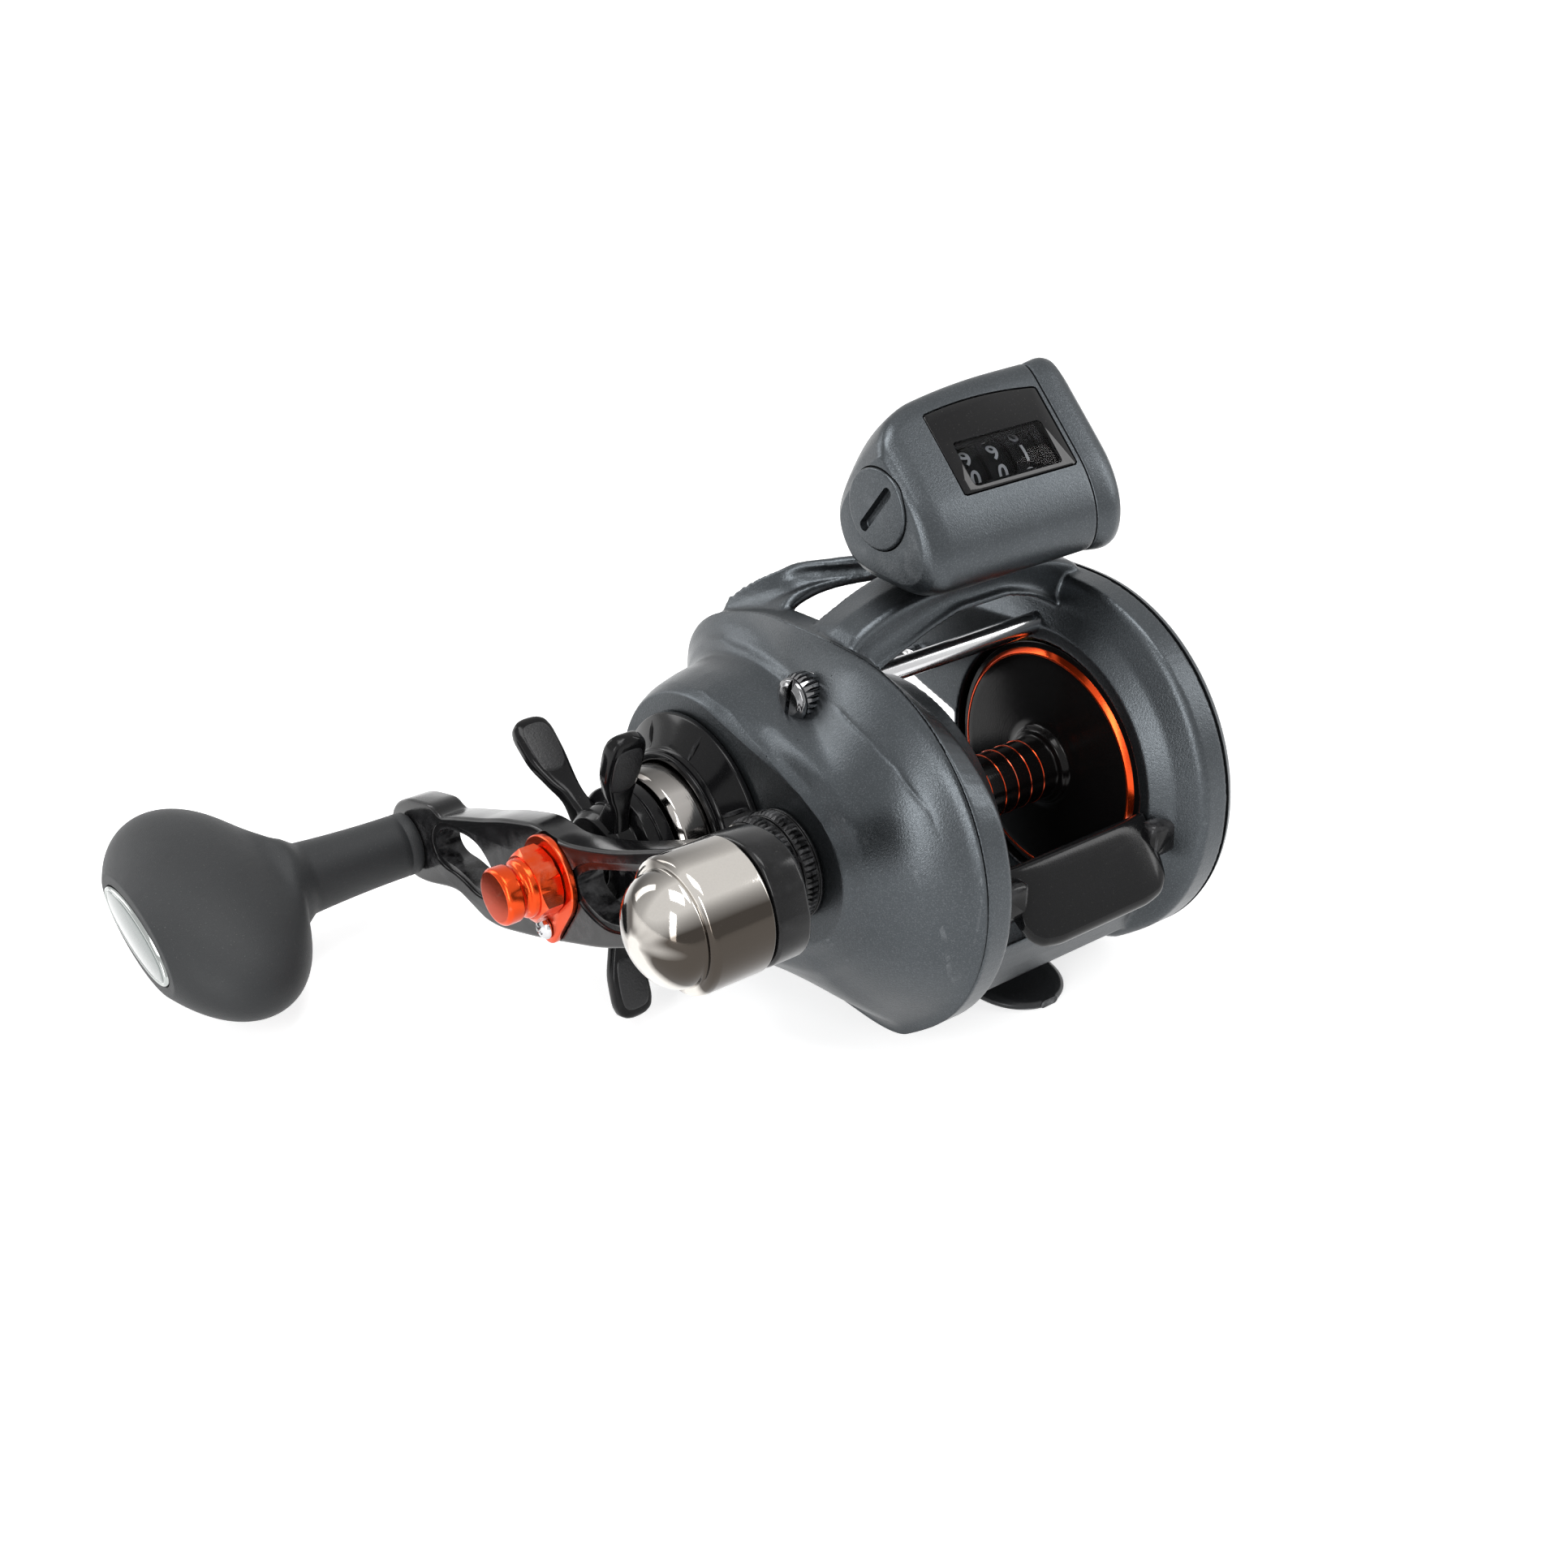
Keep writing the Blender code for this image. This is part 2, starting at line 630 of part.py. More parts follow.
def rear_saddle():
    """The concave bar under the thumb bar, from plate to plate."""
    inner = FLANGE_RADIUS + 1.8 * MM
    section = []
    for i in range(6):
        angle = math.radians(215 + 9 * i)
        section.append((inner * math.cos(angle), inner * math.sin(angle)))
    back = -PLATE_RADIUS
    section += [(-8 * MM, DECK_BOTTOM + 0.7 * MM), (back + 19 * MM, DECK_BOTTOM + 0.3 * MM),
                (back + 14.8 * MM, -25.7 * MM),
                (back + 12.8 * MM, -21.5 * MM), (back + 11.2 * MM, -17.6 * MM),
                (back + 10.4 * MM, -14.9 * MM)]
    reach = RING_EDGE_X - MM
    rings = [[(x, y, z) for y, z in section] for x in (-reach, reach)]
    return loft("rear_saddle", rings)


def frame():
    """Both side plates, the deck, the bars between them and the bridge over the top, in one casting."""
    reach = RING_EDGE_X - MM
    body = side_ring(-1)
    edge = min(0.8 * MM, 0.3 * (DECK_TOP - DECK_BOTTOM))
    deck = box("deck", (-reach, -13 * MM, DECK_BOTTOM), (reach, 36 * MM, DECK_TOP), edge)
    nose = box("nose", (-reach, 34 * MM, DECK_BOTTOM + 0.5 * MM), (reach, 41 * MM, -17 * MM), 2.0 * MM)
    under = -SPOOL_HEIGHT + FOOT_THICKNESS + GAP
    stalk = box("stalk", (-8 * MM, -11 * MM, under), (8 * MM, 29 * MM, DECK_BOTTOM + 2.7 * MM), edge)
    hub = box("hub", (-HUB_HALF_WIDTH, 5 * MM, HUB_TOP - HUB_THICKNESS),
              (HUB_HALF_WIDTH, 20 * MM, HUB_TOP - 0.1 * MM), 1.0 * MM, 2)
    join(body, side_ring(1), deck, nose, stalk, rear_saddle(), rear_arch(), hub, front_arm(-1),
         front_arm(1))

    pocket_x = (-RING_OUTER_X - MM, -RING_OUTER_X + PLATE_POCKET)
    pocket = loft("pocket", [outline_ring(x, inset(plate_rays, PLATE_LAND)) for x in pocket_x])
    outside = -RING_OUTER_X - MM
    tools = [pocket,
             rod("spool_bearing_hole", SPOOL_BEARING_RADIUS + GAP, outside, -BEARING_WALL_X + MM),
             rod("drive_bearing_hole", DRIVE_BEARING_RADIUS + GAP, outside, -DRIVE_BEARING_X[0] + GAP,
                 drive_at),
             rod("screw_hole", THUMB_SCREW_SHANK + GAP, outside, -RING_OUTER_X + 5.5 * MM, screw_at),
             rod("worm_hole", WORM_RADIUS + GAP, outside, WORM_END_X + GAP, worm_at),
             rod("rod_holes", ROD_RADIUS + GAP, -ROD_END_X - GAP, ROD_END_X + GAP, rod_at),
             rod("rail_holes", RAIL_RADIUS + GAP, -ROD_END_X - GAP, ROD_END_X + GAP, rail_at)]
    for side in (-1, 1):
        low, high = sorted((side * (BAR_HALF_WIDTH + GAP), side * (TAB_END_X + GAP)))
        tools.append(box("tab_slot", (low, TAB_BACK - GAP, TAB_BOTTOM - BAR_TRAVEL - GAP),
                         (high, TAB_FRONT + GAP, TAB_TOP + GAP)))
    for y in FOOT_SCREWS:
        tools.append(upright("foot_screw_hole", 1.5 * MM, -SPOOL_HEIGHT, -FOOT_SCREW_TOP, y))
    cut(body, *tools)
    body.name = "frame"
    smooth(body, 32)
    return finish(body, GUNMETAL)


def upright(name, radius, low, high, y, x=0.0, sides=SMALL_ROUND):
    """A round bar along Z at (x, y) from the spool axis."""
    obj = turned(name, [(0, high - low), (radius, high - low), (radius, 0), (0, 0)], sides)
    obj.location = spool_axis + Vector((x, y, low))
    return obj


def reel_foot():
    """The foot that slides under a rod's reel seat hoods: a long plate, thinner at its round ends."""
    half, wide = FOOT_LENGTH / 2, FOOT_WIDTH / 2
    centre = SPOOL_SETBACK
    rings = []
    for share in (-1.0, -0.95, -0.84, -0.6, 0.6, 0.84, 0.95, 1.0):
        end = max(0.0, abs(share) - 0.6) / 0.4
        width = wide * math.sqrt(max(0.06, 1.0 - end ** 2.6))
        thick = FOOT_THICKNESS * (1.0 - 0.45 * end)
        y = centre + share * half
        bottom = -SPOOL_HEIGHT
        rings.append([(-width, y, bottom), (width, y, bottom), (width, y, bottom + thick * 0.55),
                      (width * 0.75, y, bottom + thick), (-width * 0.75, y, bottom + thick),
                      (-width, y, bottom + thick * 0.55)])
    body = loft("reel_foot", rings)
    tools = []
    for y in FOOT_SCREWS:
        tools.append(upright("hole", 1.5 * MM, -SPOOL_HEIGHT - 2 * MM, -SPOOL_HEIGHT + 5 * MM, y))
        tools.append(upright("seat", 2.7 * MM, -SPOOL_HEIGHT - MM, -SPOOL_HEIGHT + 1.3 * MM, y, sides=20))
    cut(body, *tools)
    smooth(body)
    finish(body, FRAME_BLACK)


def foot_screws():
    for i, y in enumerate(FOOT_SCREWS):
        bottom = -SPOOL_HEIGHT + 0.1 * MM
        top = -FOOT_SCREW_TOP - bottom - GAP
        screw = turned("foot_screw_%d" % (i + 1),
                       [(0, top), (1.2 * MM, top), (1.2 * MM, 1.0 * MM), (2.4 * MM, 1.0 * MM),
                        (2.4 * MM, 0.2 * MM), (2.2 * MM, 0), (0, 0)], SMALL_ROUND)
        screw.location = spool_axis + Vector((0, y, bottom))
        finish(screw, STEEL)


# ---------------------------------------------------------------- covers and fixed pieces

def sector_weight(i, sector):
    """1 at a ring's point i inside the sector, falling smoothly to 0 past its run-out."""
    angle = math.degrees(2 * math.pi * i / OUTLINE_POINTS)
    away = abs((angle - sector[0] + 180.0) % 360.0 - 180.0) - sector[1]
    share = min(1.0, max(0.0, 1.0 - away / sector[2]))
    return share * share * (3.0 - 2.0 * share)


def handle_cover_rings(shape):
    """Rings of the cover from rows of (share of the way in, height, height under the brow)."""
    rings = []
    for share, height, low_height in shape:
        ring = outline_ring(0.0, blend(plate_rays, boss_rays, share))
        points = []
        for i, (_, y, z) in enumerate(ring):
            rise = height + (low_height - height) * sector_weight(i, COVER_BROW)
            rise -= BELLY_DROP * 4 * height * (1 - height) * sector_weight(i, COVER_BELLY)
            points.append((-RING_OUTER_X - GAP - HANDLE_COVER_BULGE * rise, y, z))
        rings.append(points)
    return rings


def cover_shell(side, rings):
    """A wall following the rings, open at the frame, its rim cut flat there."""
    shell = solidify(loft("cover", rings, open_end=True), COVER_WALL)
    rim = RING_OUTER_X + GAP
    low, high = sorted((side * (rim - 4 * MM), side * rim))
    far = 60 * MM
    return cut(shell, box("below_the_rim", (low, -far, -far), (high, far, far)))


def handle_side_cover():
    """The bulged cover over the gears, with the bosses of the cast cap, drive tube and thumb screw."""
    rings = handle_cover_rings(((0.0, 0.0, 0.0), (0.015, 0.12, 0.02), (0.08, 0.30, 0.05), (0.20, 0.51, 0.09),
                                (0.36, 0.69, 0.15), (0.52, 0.81, 0.21), (0.62, 0.87, 0.28),
                                (0.73, 0.93, 0.64), (0.87, 0.98, 0.91), (1.0, 1.0, 1.0)))
    body = cover_shell(-1, rings)
    top = COVER_TOP_X
    boss = rod("screw_boss", THUMB_SCREW_RADIUS + 2.2 * MM, -top, -RING_OUTER_X - GAP * 2, screw_at, 24)
    combine(boss, [loft("dome", rings)], 'INTERSECT')
    join(body, rod("cap_boss", CAP_THREAD_RADIUS, -CAP_BOSS_X, -top + 0.6 * MM, sides=24), boss)
    cut(body, rod("shaft_hole", SHAFT_RADIUS + 1.2 * MM, -CAP_BOSS_X - MM, -top + 4 * MM),
        rod("drive_hole", SLEEVE_RADIUS + GAP, -top - MM, -top + 4 * MM, drive_at, ROUND),
        rod("screw_pocket", THUMB_SCREW_RADIUS + 0.5 * MM, -top, -SCREW_HEAD_X[0] + GAP, screw_at, 24),
        rod("screw_way", THUMB_SCREW_SHANK + GAP, -top, -RING_OUTER_X + MM, screw_at))
    body.name = "handle_side_cover"
    smooth(body, 30)
    finish(body, GUNMETAL)


def palm_side_cover():
    """The palm side's cover: a lower dome, with the spool's far bearing in a boss inside."""
    shape = ((0.0, 0.0), (0.015, 0.14), (0.07, 0.32), (0.2, 0.53), (0.45, 0.78), (0.75, 0.94), (1.0, 1.0))
    rings = []
    for share, height in shape:
        x = RING_OUTER_X + GAP + PALM_COVER_BULGE * height
        rings.append(outline_ring(x, blend(plate_rays, palm_rays, share)))
    body = cover_shell(1, rings)
    inner = RING_OUTER_X + PALM_COVER_BULGE - 0.6 * MM
    join(body, rod("bearing_boss", SPOOL_BEARING_RADIUS + 2 * MM, PALM_BOSS_X, inner, sides=24))
    cut(body, rod("bearing_seat", SPOOL_BEARING_RADIUS + GAP, PALM_BOSS_X - MM, PALM_BEARING_X[1] + GAP,
                  sides=24),
        rod("shaft_way", SHAFT_RADIUS + MM, PALM_BOSS_X, SPOOL_SHAFT_X[1] + GAP))
    body.name = "palm_side_cover"
    smooth(body, 30)
    finish(body, GUNMETAL)


def gear_plate():
    """The inner plate that closes the frame under the gears, with the yoke's two guide posts."""
    outline = []
    for i, reach in enumerate(inset(plate_rays, PLATE_LAND + GAP)):
        angle = 2 * math.pi * i / OUTLINE_POINTS
        outline.append((middle.x + reach * math.cos(angle), middle.y + reach * math.sin(angle)))
    holes = [circle(SHAFT_RADIUS + 1.2 * MM, sides=SMALL_ROUND),
             circle(DRIVE_SHAFT_RADIUS + GAP, drive_at, SMALL_ROUND),
             circle(WORM_RADIUS + GAP, worm_at, SMALL_ROUND),
             circle(THUMB_SCREW_SHANK + GAP, screw_at, 12)]
    plate = place(flat("gear_plate", [outline] + holes, GEAR_PLATE_THICKNESS), GEAR_PLATE_X)
    for at in yoke_posts:
        join(plate, rod("post", YOKE_POST_RADIUS, -YOKE_X - YOKE_TRAVEL - 1.1 * MM, GEAR_PLATE_X, at, 12))
    finish(plate, STEEL)


def bearings():
    """The ball bearings, each as its ring."""
    finish(tube("spool_bearing_handle_side", SPOOL_BEARING_RADIUS, SHAFT_RADIUS + RUNNING,
                -HANDLE_BEARING_X[1], -HANDLE_BEARING_X[0], sides=24), STEEL)
    finish(tube("spool_bearing_palm_side", SPOOL_BEARING_RADIUS, SHAFT_RADIUS + RUNNING,
                PALM_BEARING_X[0], PALM_BEARING_X[1], sides=24), STEEL)
    finish(tube("drive_bearing", DRIVE_BEARING_RADIUS, DRIVE_SHAFT_RADIUS + RUNNING,
                -DRIVE_BEARING_X[1], -DRIVE_BEARING_X[0], drive_at, 24), STEEL)
    finish(tube("anti_reverse_bearing", SLEEVE_BORE - GAP, SHAFT_SLEEVE_RADIUS + RUNNING,
                -SLEEVE_X[1] + 2.2 * MM, -COVER_TOP_X, drive_at, 24), STEEL)


def brake_plate():
    """The brake drum on its plate, seated in the frame's open side."""
    bore = FLANGE_RADIUS + FLANGE_CLEARANCE - GAP
    drum = 14.2 * MM
    profile = [(SPOOL_BEARING_RADIUS + 2.3 * MM, 3.9 * MM), (bore, 3.9 * MM), (bore, 2.6 * MM),
               (drum, 2.6 * MM), (drum, 0), (drum - 1.2 * MM, 0), (drum - 1.2 * MM, 2.6 * MM),
               (SPOOL_BEARING_RADIUS + 2.3 * MM, 2.6 * MM)]
    finish(place(turned("brake_plate", profile), BRAKE_X), BRASS)


def bridge_rods():
    finish(rod("top_rod", ROD_RADIUS, -ROD_END_X, ROD_END_X, rod_at, taper=0.3 * MM), STEEL)
    finish(rod("guide_rail", RAIL_RADIUS, -ROD_END_X, ROD_END_X, rail_at, 12), STEEL)


def drive_tube():
    """The polished tube that the drive shaft comes out through, and the black cone round its root."""
    out, back = SLEEVE_X[1], SLEEVE_X[0]
    profile = [(SHAFT_SLEEVE_RADIUS + GAP, out), (SLEEVE_RADIUS - 0.8 * MM, out),
               (SLEEVE_RADIUS, out - 0.8 * MM), (SLEEVE_RADIUS, back), (SLEEVE_BORE, back),
               (SLEEVE_BORE, out - 1.9 * MM), (SHAFT_SLEEVE_RADIUS + GAP, out - 1.9 * MM)]
    finish(place(turned("drive_tube", [(r, -x) for r, x in profile]), 0.0, drive_at), DARK_CHROME)
    base = COVER_TOP_X + GAP
    inner = SLEEVE_RADIUS + GAP
    cone = [(inner, base + 5.1 * MM), (TRIM_NECK_RADIUS, base + 5.1 * MM),
            (TRIM_NECK_RADIUS + 0.3 * MM, base + 4.4 * MM), (TRIM_RADIUS - 1.6 * MM, base + 1.9 * MM),
            (TRIM_RADIUS, base + 1.0 * MM), (TRIM_RADIUS, base), (inner, base)]
    trim = place(turned("drive_trim", [(r, -x) for r, x in cone], 40), 0.0, drive_at)
    cut(trim, rod("cap_scallop", CAP_RADIUS + 0.7 * MM, -base - 7 * MM, -base + MM, sides=32))
    finish(trim, GLOSS_BLACK)


# ---------------------------------------------------------------- line counter

def counter_section(scale, crest=1.0):
    """The counter's outline in (y, z) about the digits' axis: a face leaning back, a round nose."""
    face = WINDOW_DISTANCE
    up = Vector((math.cos(WINDOW_TILT), math.sin(WINDOW_TILT)))
    out = Vector((-up.y, up.x))
    centre = digits_at
    points = [centre + out * face + up * (14.6 * MM * crest), centre + out * face + up * (7.0 * MM * crest),
              centre + out * face - up * (1.6 * MM), centre + out * (face - 0.2 * MM) - up * (9.0 * MM)]
    points += [Vector(p) * MM for p in ((-7.4, 48.0), (-8.2, 44.8), (-6.6, 41.4), (-2.6, 39.2))]
    seat = HUB_TOP + GAP
    points += [Vector((2 * MM, seat)), Vector((13 * MM, seat))]
    for ahead, above, share in ((17.5, 42.0, 0.0), (20.4, 48.0, 0.2), (20.6, 54.5, 0.6), (18.6, 61.0, 0.9),
                                (15.4, 65.4, 1.0)):
        point = Vector((ahead, above)) * MM
        points.append(point - up * (14.6 * MM * (1.0 - crest) * share))
    return [centre + (p - centre) * scale for p in points]


def counter_loft(name, stations):
    rings = [[(x, p.x, p.y) for p in counter_section(scale, crest)] for x, scale, crest in stations]
    return loft(name, rings)


def window_box(name, width, height, low, high, raise_by=0.0):
    """A box in the window's leaning frame, between two distances from the digits' axis."""
    def build(bm):
        bmesh.ops.create_cube(bm, size=1.0)
        bmesh.ops.scale(bm, vec=(width, height, high - low), verts=bm.verts)
        bmesh.ops.translate(bm, vec=(0, raise_by, (high + low) / 2), verts=bm.verts)
    obj = add_object(name, mesh_from(name, build))
    obj.location = spool_axis + Vector((WINDOW_MIDDLE_X, digits_at.x, digits_at.y))
    obj.rotation_euler = (WINDOW_TILT, 0.0, 0.0)
    return obj


def counter_housing():
    """The counter's body, hollow round the digit wheels, open at the window and at its right end."""
    left = COUNTER_LEFT_X
    body = counter_loft("housing", [(left, 0.84, 0.50), (left + 1.4 * MM, 0.93, 0.62),
                                    (left + 4.4 * MM, 0.99, 0.76), (left + 10 * MM, 1.0, 0.88),
                                    (COUNTER_SEAM_X - 8 * MM, 1.0, 0.99), (COUNTER_SEAM_X, 1.0, 1.0)])
    wide = DIGIT_RADIUS + MM
    cut(body, rod("digit_cavity", wide, CAVITY_LEFT_X, COUNTER_SEAM_X + MM, digits_at, 24),
        rod("dial_seat", DIAL_RADIUS + GAP, left - MM, left + DIAL_DEPTH + GAP, digits_at, 24),
        rod("axle_hole", AXLE_RADIUS + GAP, left, COUNTER_SEAM_X + MM, digits_at, 12),
        window_box("window_seat", WINDOW_WIDTH + 2 * GAP, WINDOW_HEIGHT + 2 * GAP,
                   WINDOW_DISTANCE - WINDOW_THICKNESS - GAP, WINDOW_DISTANCE + 6 * MM, WINDOW_RAISE),
        window_box("window_way", WINDOW_WIDTH - 4 * MM, 9 * MM, DIGIT_RADIUS * 0.5, WINDOW_DISTANCE))
    body.name = "counter_housing"
    smooth(body, 30)
    finish(body, GUNMETAL)


def counter_end_cap():
    seam, right = COUNTER_SEAM_X + GAP, COUNTER_RIGHT_X
    body = counter_loft("end_cap", [(seam, 1.0, 1.0), (right - 2 * MM, 0.995, 0.99),
                                    (right - 0.7 * MM, 0.95, 0.98), (right, 0.87, 0.96)])
    cut(body, rod("axle_end", AXLE_RADIUS + GAP, seam - MM, AXLE_X[1] + GAP, digits_at, 12))
    body.name = "counter_end_cap"
    smooth(body, 30)
    finish(body, GUNMETAL)


def counter_window():
    glass = window_box("counter_window", WINDOW_WIDTH, WINDOW_HEIGHT,
                       WINDOW_DISTANCE - WINDOW_THICKNESS, WINDOW_DISTANCE, WINDOW_RAISE)
    bevel = glass.modifiers.new("edge", 'BEVEL')
    bevel.width = 0.3 * MM
    bevel.segments = 1
    finish(glass, GLASS_BLACK)


def reset_dial():
    """The slotted dial flush with the counter's left end, which sets the digits back."""
    left = COUNTER_LEFT_X
    dial = rod("reset_dial", DIAL_RADIUS, left - 0.5 * MM, left + DIAL_DEPTH, digits_at, 32, 0.4 * MM)
    slot = box("slot", (left - 2 * MM, -5.4 * MM, -0.9 * MM), (left + 0.9 * MM, 5.4 * MM, 0.9 * MM))
    slot.location += Vector((0, digits_at.x, digits_at.y))
    slot.rotation_euler = (math.radians(128), 0, 0)
    cut(dial, slot)
    turn_about(dial, left, digits_at)
    smooth(dial)
    finish(dial, GUNMETAL)


def digit_wheels():
    for i, name in enumerate(("digit_wheel_hundreds", "digit_wheel_tens", "digit_wheel_units")):
        centre = DIGIT_MIDDLE_X + (i - 1) * DIGIT_PITCH
        finish(tube(name, DIGIT_RADIUS, AXLE_RADIUS + RUNNING, centre - DIGIT_WIDTH / 2,
                    centre + DIGIT_WIDTH / 2, digits_at, 30), CARBON)


def counter_axle():
    finish(rod("counter_axle", AXLE_RADIUS, AXLE_X[0], AXLE_X[1], digits_at, 12), STEEL)


# ---------------------------------------------------------------- spool and gears

def spool():
    wide, rim = SPOOL_HALF_WIDTH, FLANGE_RADIUS
    flange = wide - FLANGE_THICKNESS
    bore = SHAFT_RADIUS + GAP
    half = [(bore, wide - 0.6 * MM), (rim - 6 * MM, wide - 0.6 * MM), (rim - 1.6 * MM, wide),
            (rim - 0.2 * MM, wide - 0.2 * MM), (rim, wide - 0.6 * MM), (rim, flange + 0.6 * MM),
            (rim - 0.6 * MM, flange), (rim - 3 * MM, flange - 0.3 * MM),
            (rim * 0.55, flange - SPOOL_DISH * 0.5), (ARBOR_RADIUS + 1.6 * MM, flange - SPOOL_DISH * 0.82),
            (ARBOR_RADIUS, flange - SPOOL_DISH - 1.2 * MM)]
    profile = half + [(r, -h) for r, h in reversed(half)]
    body = place(turned("spool", profile, 32))
    finish(body, GLOSS_BLACK)
    finish(rod("spool_shaft", SHAFT_RADIUS, -SPOOL_SHAFT_X[0], SPOOL_SHAFT_X[1], sides=SMALL_ROUND,
               taper=0.4 * MM), STEEL)
    hub = FLANGE_RADIUS * 0.42
    profile = [(bore, 1.8 * MM), (hub, 1.8 * MM), (hub + 2.4 * MM, 1.2 * MM), (hub + 2.4 * MM, 0),
               (hub - 4 * MM, 0), (bore, 0)]
    finish(place(turned("brake_rotor", profile, 24), wide + GAP), STEEL)


def gear(name, teeth, phase, bore, width, x, at, look, web=0.0):
    """A spur gear across X, with an optional ring of lightening holes."""
    outlines = [gear_outline(teeth, phase), circle(bore, sides=SMALL_ROUND)]
    if web:
        for k in range(6):
            angle = k * math.pi / 3
            outlines.append(circle(web * 0.2, (web * math.cos(angle), web * math.sin(angle)), 8))
    return finish(place(flat(name, outlines, width), x, at), look)


def drive_gears():
    bore = DRIVE_SHAFT_RADIUS + GAP
    gear("main_gear", MAIN_TEETH, DRIVE_ANGLE + math.pi + math.pi / MAIN_TEETH, bore,
         MAIN_GEAR_WIDTH, -MAIN_GEAR_X, drive_at, BRASS, 13 * MM)
    gear("level_wind_drive_gear", WIND_TEETH, WORM_ANGLE, bore, WIND_GEAR_WIDTH, -WIND_GEAR_X,
         drive_at, WHITE)
    gear("worm_gear", WORM_TEETH, WORM_ANGLE + math.pi + math.pi / WORM_TEETH, WORM_TAIL_RADIUS + GAP,
         WIND_GEAR_WIDTH, -WIND_GEAR_X, worm_at, WHITE)


def pinion():
    """The long pinion that slides on the spool shaft, with the groove that the yoke holds."""
    body = place(flat("pinion", [gear_outline(PINION_TEETH, DRIVE_ANGLE),
                                 circle(SHAFT_RADIUS + RUNNING + 0.1 * MM, sides=SMALL_ROUND)],
                      PINION_LENGTH), -PINION_X - PINION_LENGTH / 2)
    root = GEAR_MODULE * PINION_TEETH / 2 - 1.3 * GEAR_MODULE
    ring_inner = SHAFT_RADIUS + RUNNING + 0.1 * MM
    groove = tube("groove", root + 4 * MM, root, -YOKE_X - YOKE_GROOVE / 2, -YOKE_X + YOKE_GROOVE / 2)
    assert root > ring_inner
    cut(body, groove)
    finish(body, BRASS)


def clutch_yoke():
    """The fork that lifts the pinion off the spool, on two guide posts."""
    span = YOKE_POST_SPAN
    throat = GEAR_MODULE * PINION_TEETH / 2 - 1.3 * GEAR_MODULE + RUNNING
    edge = span + 2.6 * MM
    outline = [(-6 * MM, -4 * MM), (-4.2 * MM, -edge), (3.4 * MM, -edge), (4.6 * MM, -span),
               (3.2 * MM, -4 * MM), (3.2 * MM, 4 * MM), (4.6 * MM, span), (3.4 * MM, edge),
               (-4.2 * MM, edge), (-6 * MM, 4 * MM)]
    wide = YOKE_GROOVE - 2 * RUNNING
    yoke = place(flat("clutch_yoke", [outline], wide), -YOKE_X)
    tools = [rod("throat", throat, -YOKE_X - wide, -YOKE_X + wide, sides=24),
             box("mouth", (-YOKE_X - wide, 0.0, -throat), (-YOKE_X + wide, 6 * MM, throat))]
    for at in yoke_posts:
        tools.append(rod("post_hole", YOKE_POST_RADIUS + RUNNING, -YOKE_X - wide, -YOKE_X + wide, at, 12))
    cut(yoke, *tools)
    finish(yoke, STEEL)


def drive_train():
    """What turns with the handle inside the cover: shaft, ratchet, drag stack and sleeve."""
    r = DRIVE_SHAFT_RADIUS
    profile = [(0, ARM_OUT_X + 0.4 * MM), (r * 0.7, ARM_OUT_X + 0.4 * MM), (r * 0.7, -ARM_X - MM),
               (r, -ARM_X - MM), (r, DRIVE_BEARING_X[0] + GAP), (0, DRIVE_BEARING_X[0] + GAP)]
    finish(place(turned("drive_shaft", [(a, -x) for a, x in profile], 20), 0.0, drive_at), STEEL)
    gap = 0.35 * MM
    x = MAIN_GEAR_X + MAIN_GEAR_WIDTH / 2 + gap
    bore = r + GAP
    finish(tube("drag_washer", 15.5 * MM, bore, -x - 0.9 * MM, -x, drive_at, 24), CARBON)
    x += 0.9 * MM + gap
    finish(tube("pressure_plate", 14.5 * MM, bore, -x - 1.1 * MM, -x, drive_at, 24), STEEL)
    x += 1.1 * MM + gap
    finish(tube("shaft_sleeve", SHAFT_SLEEVE_RADIUS, r + 0.25 * MM, -SLEEVE_X[1] - 0.2 * MM, -x,
                drive_at, 20), STEEL)


def worm_shaft():
    """The level wind's worm: crossed right- and left-hand grooves round a bar."""
    low, high = -WORM_CUT_X, WORM_CUT_X
    stations, sides = 36, 10
    rings = []

    def ring_at(x, radius_of):
        points = []
        for k in range(sides):
            angle = 2 * math.pi * k / sides
            radius = radius_of(x, angle)
            points.append((x, worm_at.x + radius * math.cos(angle), worm_at.y + radius * math.sin(angle)))
        return points

    def grooved(x, angle):
        deepest = 0.0
        for hand in (1, -1):
            lead = (x / WORM_PITCH * hand - angle / (2 * math.pi)) % 1.0
            away = min(lead, 1.0 - lead) / 0.12
            deepest = max(deepest, 1.0 - away * away)
        return WORM_RADIUS - WORM_GROOVE * max(0.0, deepest)

    rings.append(ring_at(-WORM_TAIL_X, lambda x, angle: WORM_TAIL_RADIUS))
    rings.append(ring_at(-WIND_GEAR_X + WIND_GEAR_WIDTH / 2 + GAP, lambda x, angle: WORM_TAIL_RADIUS))
    rings.append(ring_at(-WIND_GEAR_X + WIND_GEAR_WIDTH / 2 + GAP + 0.2 * MM, lambda x, angle: WORM_RADIUS))
    for i in range(stations + 1):
        rings.append(ring_at(low + (high - low) * i / stations, grooved))
    rings.append(ring_at(WORM_END_X, lambda x, angle: WORM_RADIUS))
    shaft = loft("worm_shaft", rings)
    turn_about(shaft, 0.0, worm_at)
    finish(shaft, STEEL)


